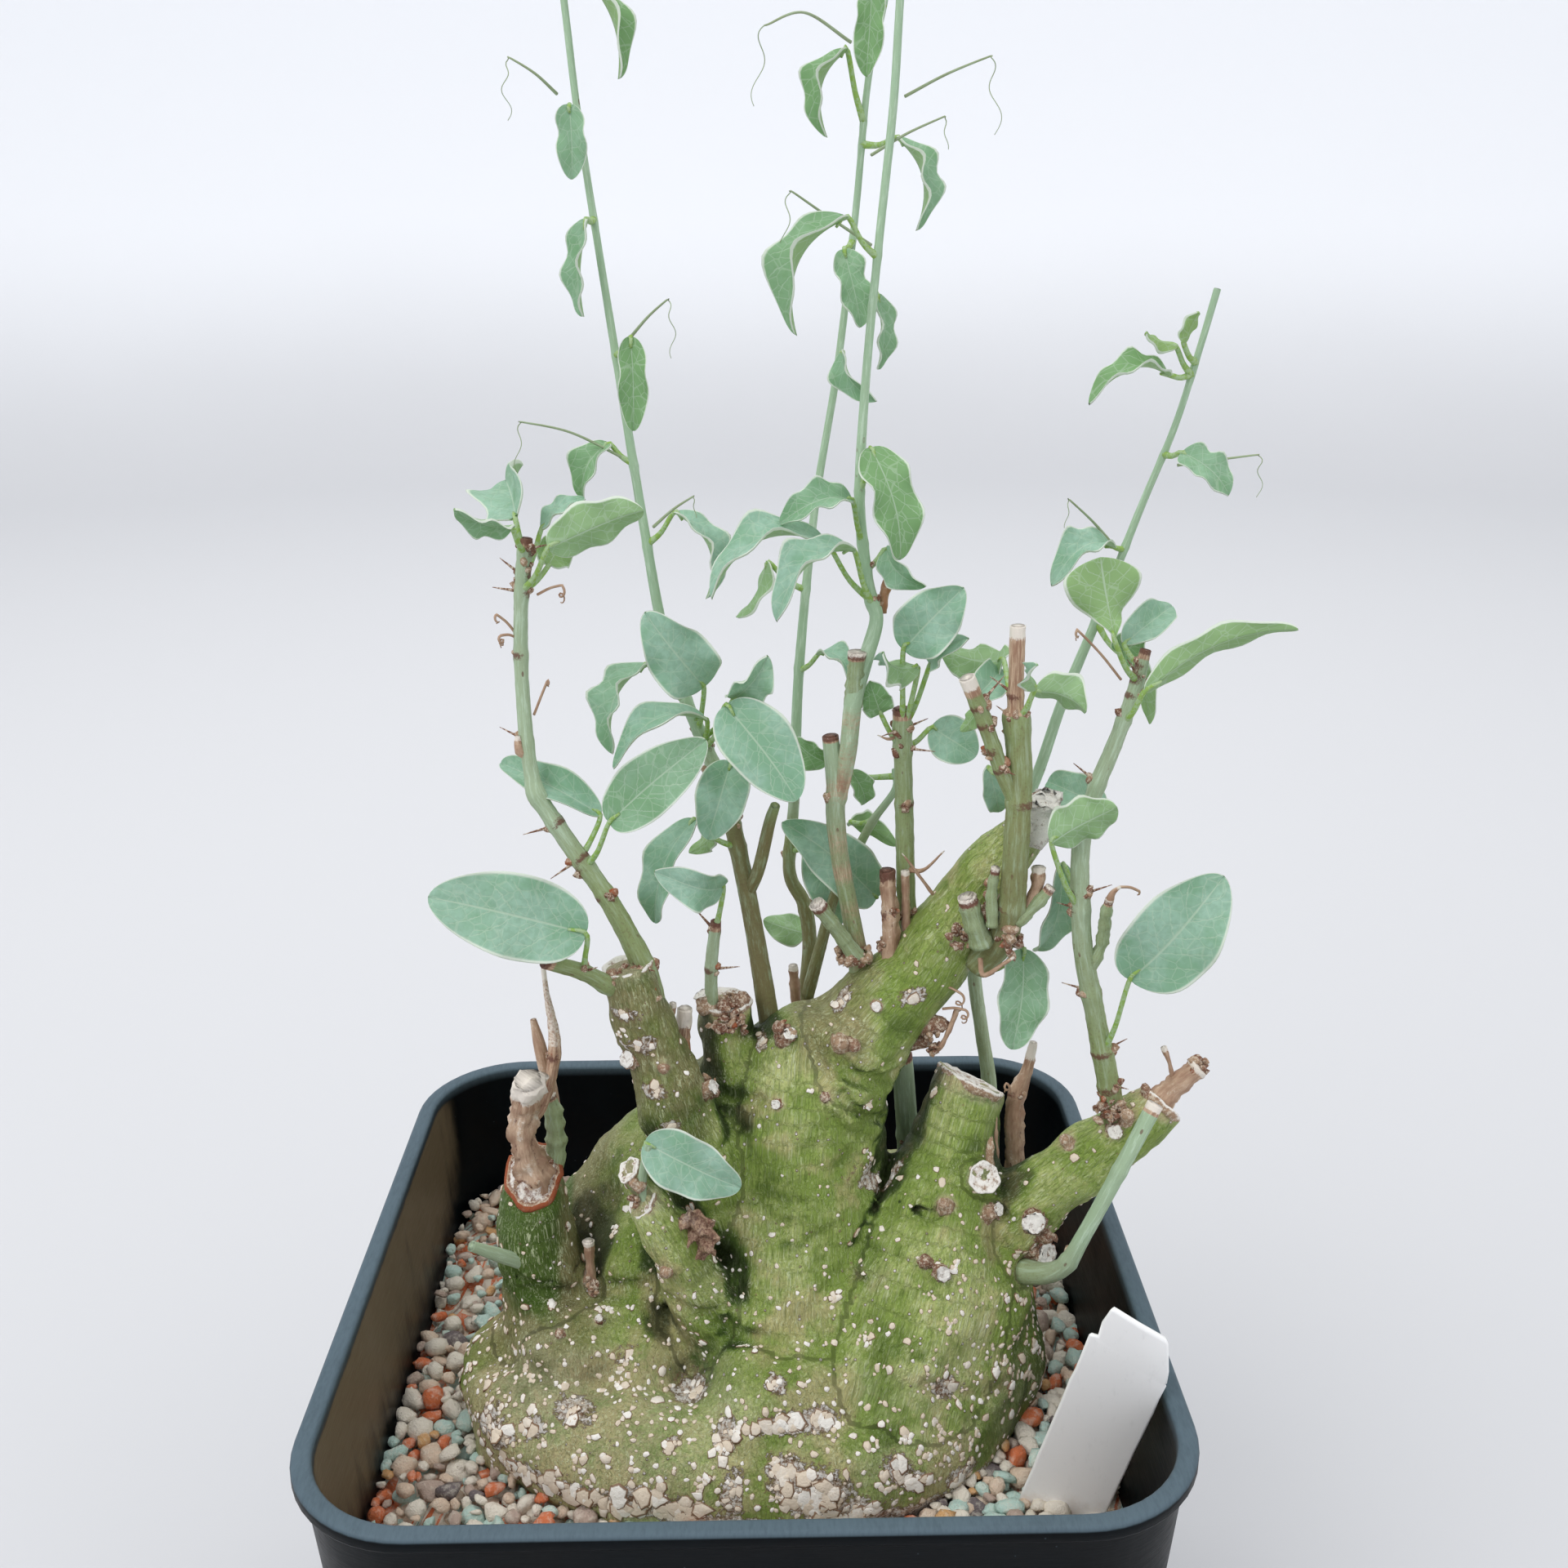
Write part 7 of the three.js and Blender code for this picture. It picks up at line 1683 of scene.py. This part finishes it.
def leaf(plan, root, thick, random):
    """A leaf: a round stalk, then a blade whose half width is 0.5 W sin(pi s^p)^0.5 at the share s of its
    length, with p 0.8 unless the plan gives it, and a waist at s 0.38 in the broad leaves high up. It is
    folded along an arched midrib, twisted a little, wavy at its edges and blunt at its tip. The section
    is a flat closed ring: thirteen points above and thirteen below. Its grain is (across, share, face)."""
    _, base, tip, width, turn, fold, arch, *power = plan
    start, end = np.array(base, float), np.array(tip, float)
    length = np.linalg.norm(end - start)
    along = (end - start) / length
    start, length = start - along * 0.05 * length, length * 1.05
    light = np.array([0, -0.94, 0.33])  # blades turn their face to the front and up
    face = unit(light - (light @ along) * along)
    share = 0.5 - 0.5 * np.cos(np.pi * np.linspace(0.03, 0.985, 26))
    angle = np.radians(-turn) + random.uniform(-0.35, 0.35) * (share - 0.2)[:, None]
    face = face * np.cos(angle) + np.cross(along, face) * np.sin(angle)
    side, face = np.cross(along, face)[:, None], face[:, None]
    half = 0.5 * width * np.maximum(np.sin(np.pi * share ** (power[0] if power else 0.8)), 0) ** 0.5
    if start[2] > 262 and abs(turn) <= 20 or power:
        half = half * (1 - 0.25 * np.exp(-(((share - 0.38) / 0.13) ** 2)))
    half, s = np.maximum(half, 0.25)[:, None], share[:, None]
    across = np.array([-1, -0.965, -0.86, -0.66, -0.42, -0.18, 0, 0.18, 0.42, 0.66, 0.86, 0.965, 1])
    a, lift = across[None], np.radians(fold)
    phase, beat = random.uniform(0, 2 * np.pi, 2), random.uniform(1.5, 2.6)
    beats = np.sin(2 * np.pi * beat * s + np.where(a > 0, phase[0], phase[1]))
    wave = (0.14 if fold > 12 else 0.06) * width * np.abs(a) ** 2.4 * beats * np.sin(np.pi * s) ** 0.5
    rise = 4 * arch * length * s * (1 - s) - 0.05 * length * s**3
    cup = np.abs(a) ** 1.25 * half * np.sin(lift)
    quilt = -0.25 * np.exp(-((np.abs(a) / 0.09) ** 2)) * min(width / 10, 1)
    bend = 0.05 * length * np.sin(np.pi * s) * random.uniform(-0.6, 0.6)
    flat = start + along * (s * length)[..., None] + side * (a * half * np.cos(lift) + bend)[..., None]
    upper = flat + face * (rise + cup + wave + quilt)[..., None]
    depth = thick * (np.abs(a) < 0.99) * np.ones_like(s) + 0.06
    rings = np.concatenate([upper, (upper - face * depth[..., None])[:, ::-1]], 1)
    sign = np.repeat([1.0, -1.0], len(across))
    grain = np.stack(np.broadcast_arrays(np.append(across, across[::-1]), s, sign), -1)
    young = 0.5 * float(length < 9) + 0.45 * random.random() ** 2 + 0.35 * float(start[2] > 275)
    young += 0.35 * float(start[0] > 45 and start[2] < 192) + 0.5 * len(power)
    blade = loft(rings, 1, grain=grain, tint=min(young, 1.0))
    knee = (root + start) / 2 + np.array([0, 0, -0.10 * np.linalg.norm(start - root)])
    inner = start + along * length * 0.12 + face[3, 0] * rise[3, 0]
    stalk, _ = even_route([(*root, 0.7), (*knee, 0.5), (*start, 0.45), (*inner, 0.25)], 0.9)
    stem = tube(stalk[:, :3], stalk[:, 3], 8, 1, tint=0.95)
    stem["traits"]["grain"][:] = (0.5, 0.45, 1)
    return [blade, stem]


def twig(route, random, dead, amber):
    """A short side shoot: a tube with a wavy, rough radius and a dry sawn end."""
    spots, along = even_route(route, 0.6)
    relief = 0.12 * waves(spots[:, :3], 3, 4)[:, None] + 0.05 * random.normal(size=(len(spots), 10))
    end = smooth_step(along, along[-1] - 1.6, along[-1] - 0.2)[:, None]
    tone = 0.9 * end * (not dead) + 0.3 * (random.random() > 0.6)
    dryness = 1.25 * end + 0.2 * dead
    return sawn(spots[:, :3], spots[:, 3], 10, relief, tone=tone, dryness=dryness, age=0.62, tint=0.8 * amber)


class CAUDEX_OT_stems(bpy.types.Operator):
    """Builds every stem and vine with its leaves, and the dead shoots"""

    bl_idname = "caudex.stems"
    bl_label = "Stems and leaves"

    def execute(self, context):
        look, leaf_look = context.scene.caudex_stems, context.scene.caudex_leaves
        living, dead = stem_bark("stem_bark", look), stem_bark("dry_shoot_bark", look, True)
        blade, scales = leaf_blade_finish(leaf_look), sawn_wood(context.scene.caudex_body)
        random = np.random.default_rng(31)
        for name, (kind, routes, leaves) in STEMS.items():
            axes = np.vstack([smooth_route(route, 6)[:, :3] for route in routes])
            roots = [axes[np.linalg.norm(axes - plan[0], axis=1).argmin()] for plan in leaves]
            ages, cream, amber = AGES.get(name, AGES["other"]), name in CREAM_ENDS, name == "stub_brown"
            parts = []
            for number, route in enumerate(routes):
                living_one = name == "shoots_left_stub" and number == 1
                parts += shoot(route, "green" if living_one else kind, roots, ages, random, number == 0, cream, amber)
            for plan, root in zip(leaves, roots):
                parts += leaf(plan, root, leaf_look.thickness / MM, random)
            bark = dead if kind == "dead" else living
            make_piece(name + "_fine", parts, [bark, blade, scales], [name])
        green = [twig(route, random, False, False) for route in GREEN_TWIGS]
        make_piece("green_twigs", green, [living])
        dry = [twig(route, random, True, number == AMBER_TWIG) for number, route in enumerate(DRY_TWIGS)]
        make_piece("dry_twigs", dry, [dead])
        return {"FINISHED"}


def dried_leaf():
    """A shrivelled leaf that hangs on the front stub: a folded strip whose width swells and closes, with
    random crumples."""
    share, across = np.linspace(0.02, 0.99, 26)[:, None], np.linspace(-1, 1, 15)[None]
    half = 4.4 * np.sin(np.pi * share**0.8) ** 0.7 * (1 + 0.18 * np.sin(23 * share + 2.5 * across))
    grid = np.stack(np.broadcast_arrays(share * 12, across * half, share * 3), -1)
    crumple = waves(grid.reshape(-1, 3), 3.2, 15, 3).reshape(half.shape)
    line = np.array([-9.8, -20.3, 151.8]) + share[..., None] * np.array([1.8, -0.4, -11.5])
    upper = (line + (across * half * 0.85)[..., None] * np.array([0.95, -0.2, 0.25])
             + (np.abs(across) * half * 0.35 + crumple * 1.1)[..., None] * np.array([0.1, -0.95, -0.1]))
    lower = (upper - np.array([0, -0.4, 0]))[:, ::-1]
    rings = np.concatenate([upper, lower], 1)[:, ::-1]
    return loft(rings, tone=0.55, grain=rings)


def tendril(number, route, reach, turns, foot):
    """A thread along a route, then a curl that drops from its end by -2.4 t^1.4 reaches while it swings to
    and fro; its radius falls from the foot to a fifth of it."""
    rows = np.array(route, float)
    if len(rows) == 2:
        rows = np.vstack([rows[0], rows.mean(0) + (0, 0, 0.4), rows[1]])
    away = unit(rows[-1] - rows[0]) * (1, 0.4, 0)
    t = np.linspace(0, 1, 25)[1:, None]
    swing = 0.35 * (1 - np.exp(-4 * t)) + 0.28 * np.sin(2 * np.pi * (turns + 0.8) * t) * np.sqrt(t)
    curl = rows[-1] + reach * (swing * away + np.hstack([0 * t, 0.2 * np.sin(7 * t + number), -2.4 * t**1.4]))
    thin = np.append(np.linspace(foot, foot * 0.55, len(rows)), np.linspace(foot * 0.32, foot * 0.2, len(curl)))
    spots, _ = even_route(np.column_stack([np.vstack([rows, curl]), thin]), 0.5)
    return tube(spots[:, :3], spots[:, 3], 6, tone=0.0, dryness=0.0, age=0.55)


def dry_curl(start, tip, reach, turns):
    """A dry thread from its start to its tip, which then winds downwards in a coil that grows narrower."""
    start, tip = np.array(start, float), np.array(tip, float)
    side, up = unit((tip - start) * (1, 1, 0.2)), np.array([0, 0, 1])
    t = np.linspace(0, 1, 26)[1:, None]
    turn = 2 * np.pi * turns * t
    wind = 0.45 * (1 - 0.4 * t) * (np.sin(turn) * side + (np.cos(turn) - 1) * up)
    coil = tip + reach * (wind - 1.6 * t * np.array([0, -0.3, 1]))
    line = np.vstack([start, (start + tip) / 2 + (0.1, 0, 0.3), tip, coil])
    spots, _ = even_route(np.column_stack([line, np.linspace(0.26, 0.1, len(line))]), 0.4)
    return tube(spots[:, :3], spots[:, 3], 6, tone=0.2, dryness=0.0, tint=0.0)


class CAUDEX_OT_tendrils(bpy.types.Operator):
    """Builds the thin tendrils with their loose curls, the dried curls and the dried leaf"""

    bl_idname = "caudex.tendrils"
    bl_label = "Tendrils"

    def execute(self, context):
        look = context.scene.caudex_stems
        green, brown = stem_bark("tendril_green", look), stem_bark("tendril_dry", look, True)
        fresh = [tendril(number, *plan, look.tendril / MM) for number, plan in enumerate(TENDRILS)]
        make_piece("tendrils", fresh, [green])
        make_piece("dry_curls", [dry_curl(*plan) for plan in DRY_CURLS] + [dried_leaf()], [brown])
        return {"FINISHED"}


class CAUDEX_PT_panel(bpy.types.Panel):
    """Lists the pieces of the plant"""

    bl_idname = "CAUDEX_PT_panel"
    bl_label = "Caudex climber"
    bl_space_type = "VIEW_3D"
    bl_region_type = "UI"
    bl_category = "Caudex climber"

    def draw(self, context):
        for operator in OPERATORS:
            self.layout.operator(operator.bl_idname)
        for name in LOOKS:
            look = getattr(context.scene, name)
            box = self.layout.box()
            for key in look.bl_rna.properties.keys():
                if key not in ("name", "rna_type"):
                    box.prop(look, key)


LOOKS = {
    "caudex_studio": StudioLook,
    "caudex_pot": PotLook,
    "caudex_gravel": GravelLook,
    "caudex_label": LabelLook,
    "caudex_body": BodyLook,
    "caudex_stems": StemLook,
    "caudex_leaves": LeafLook,
}
OPERATORS = (CAUDEX_OT_studio, CAUDEX_OT_pot, CAUDEX_OT_gravel, CAUDEX_OT_label, CAUDEX_OT_body, CAUDEX_OT_stems,
             CAUDEX_OT_tendrils)


def register():
    for kind in (*LOOKS.values(), *OPERATORS, CAUDEX_PT_panel):
        bpy.utils.register_class(kind)
    for name, look in LOOKS.items():
        setattr(bpy.types.Scene, name, PointerProperty(type=look))


def unregister():
    for name in LOOKS:
        delattr(bpy.types.Scene, name)
    for kind in (CAUDEX_PT_panel, *OPERATORS, *LOOKS.values()):
        bpy.utils.unregister_class(kind)


def main():
    register()
    for operator in OPERATORS:
        group, name = operator.bl_idname.split(".")
        getattr(getattr(bpy.ops, group), name)()


if __name__ == "__main__":
    main()
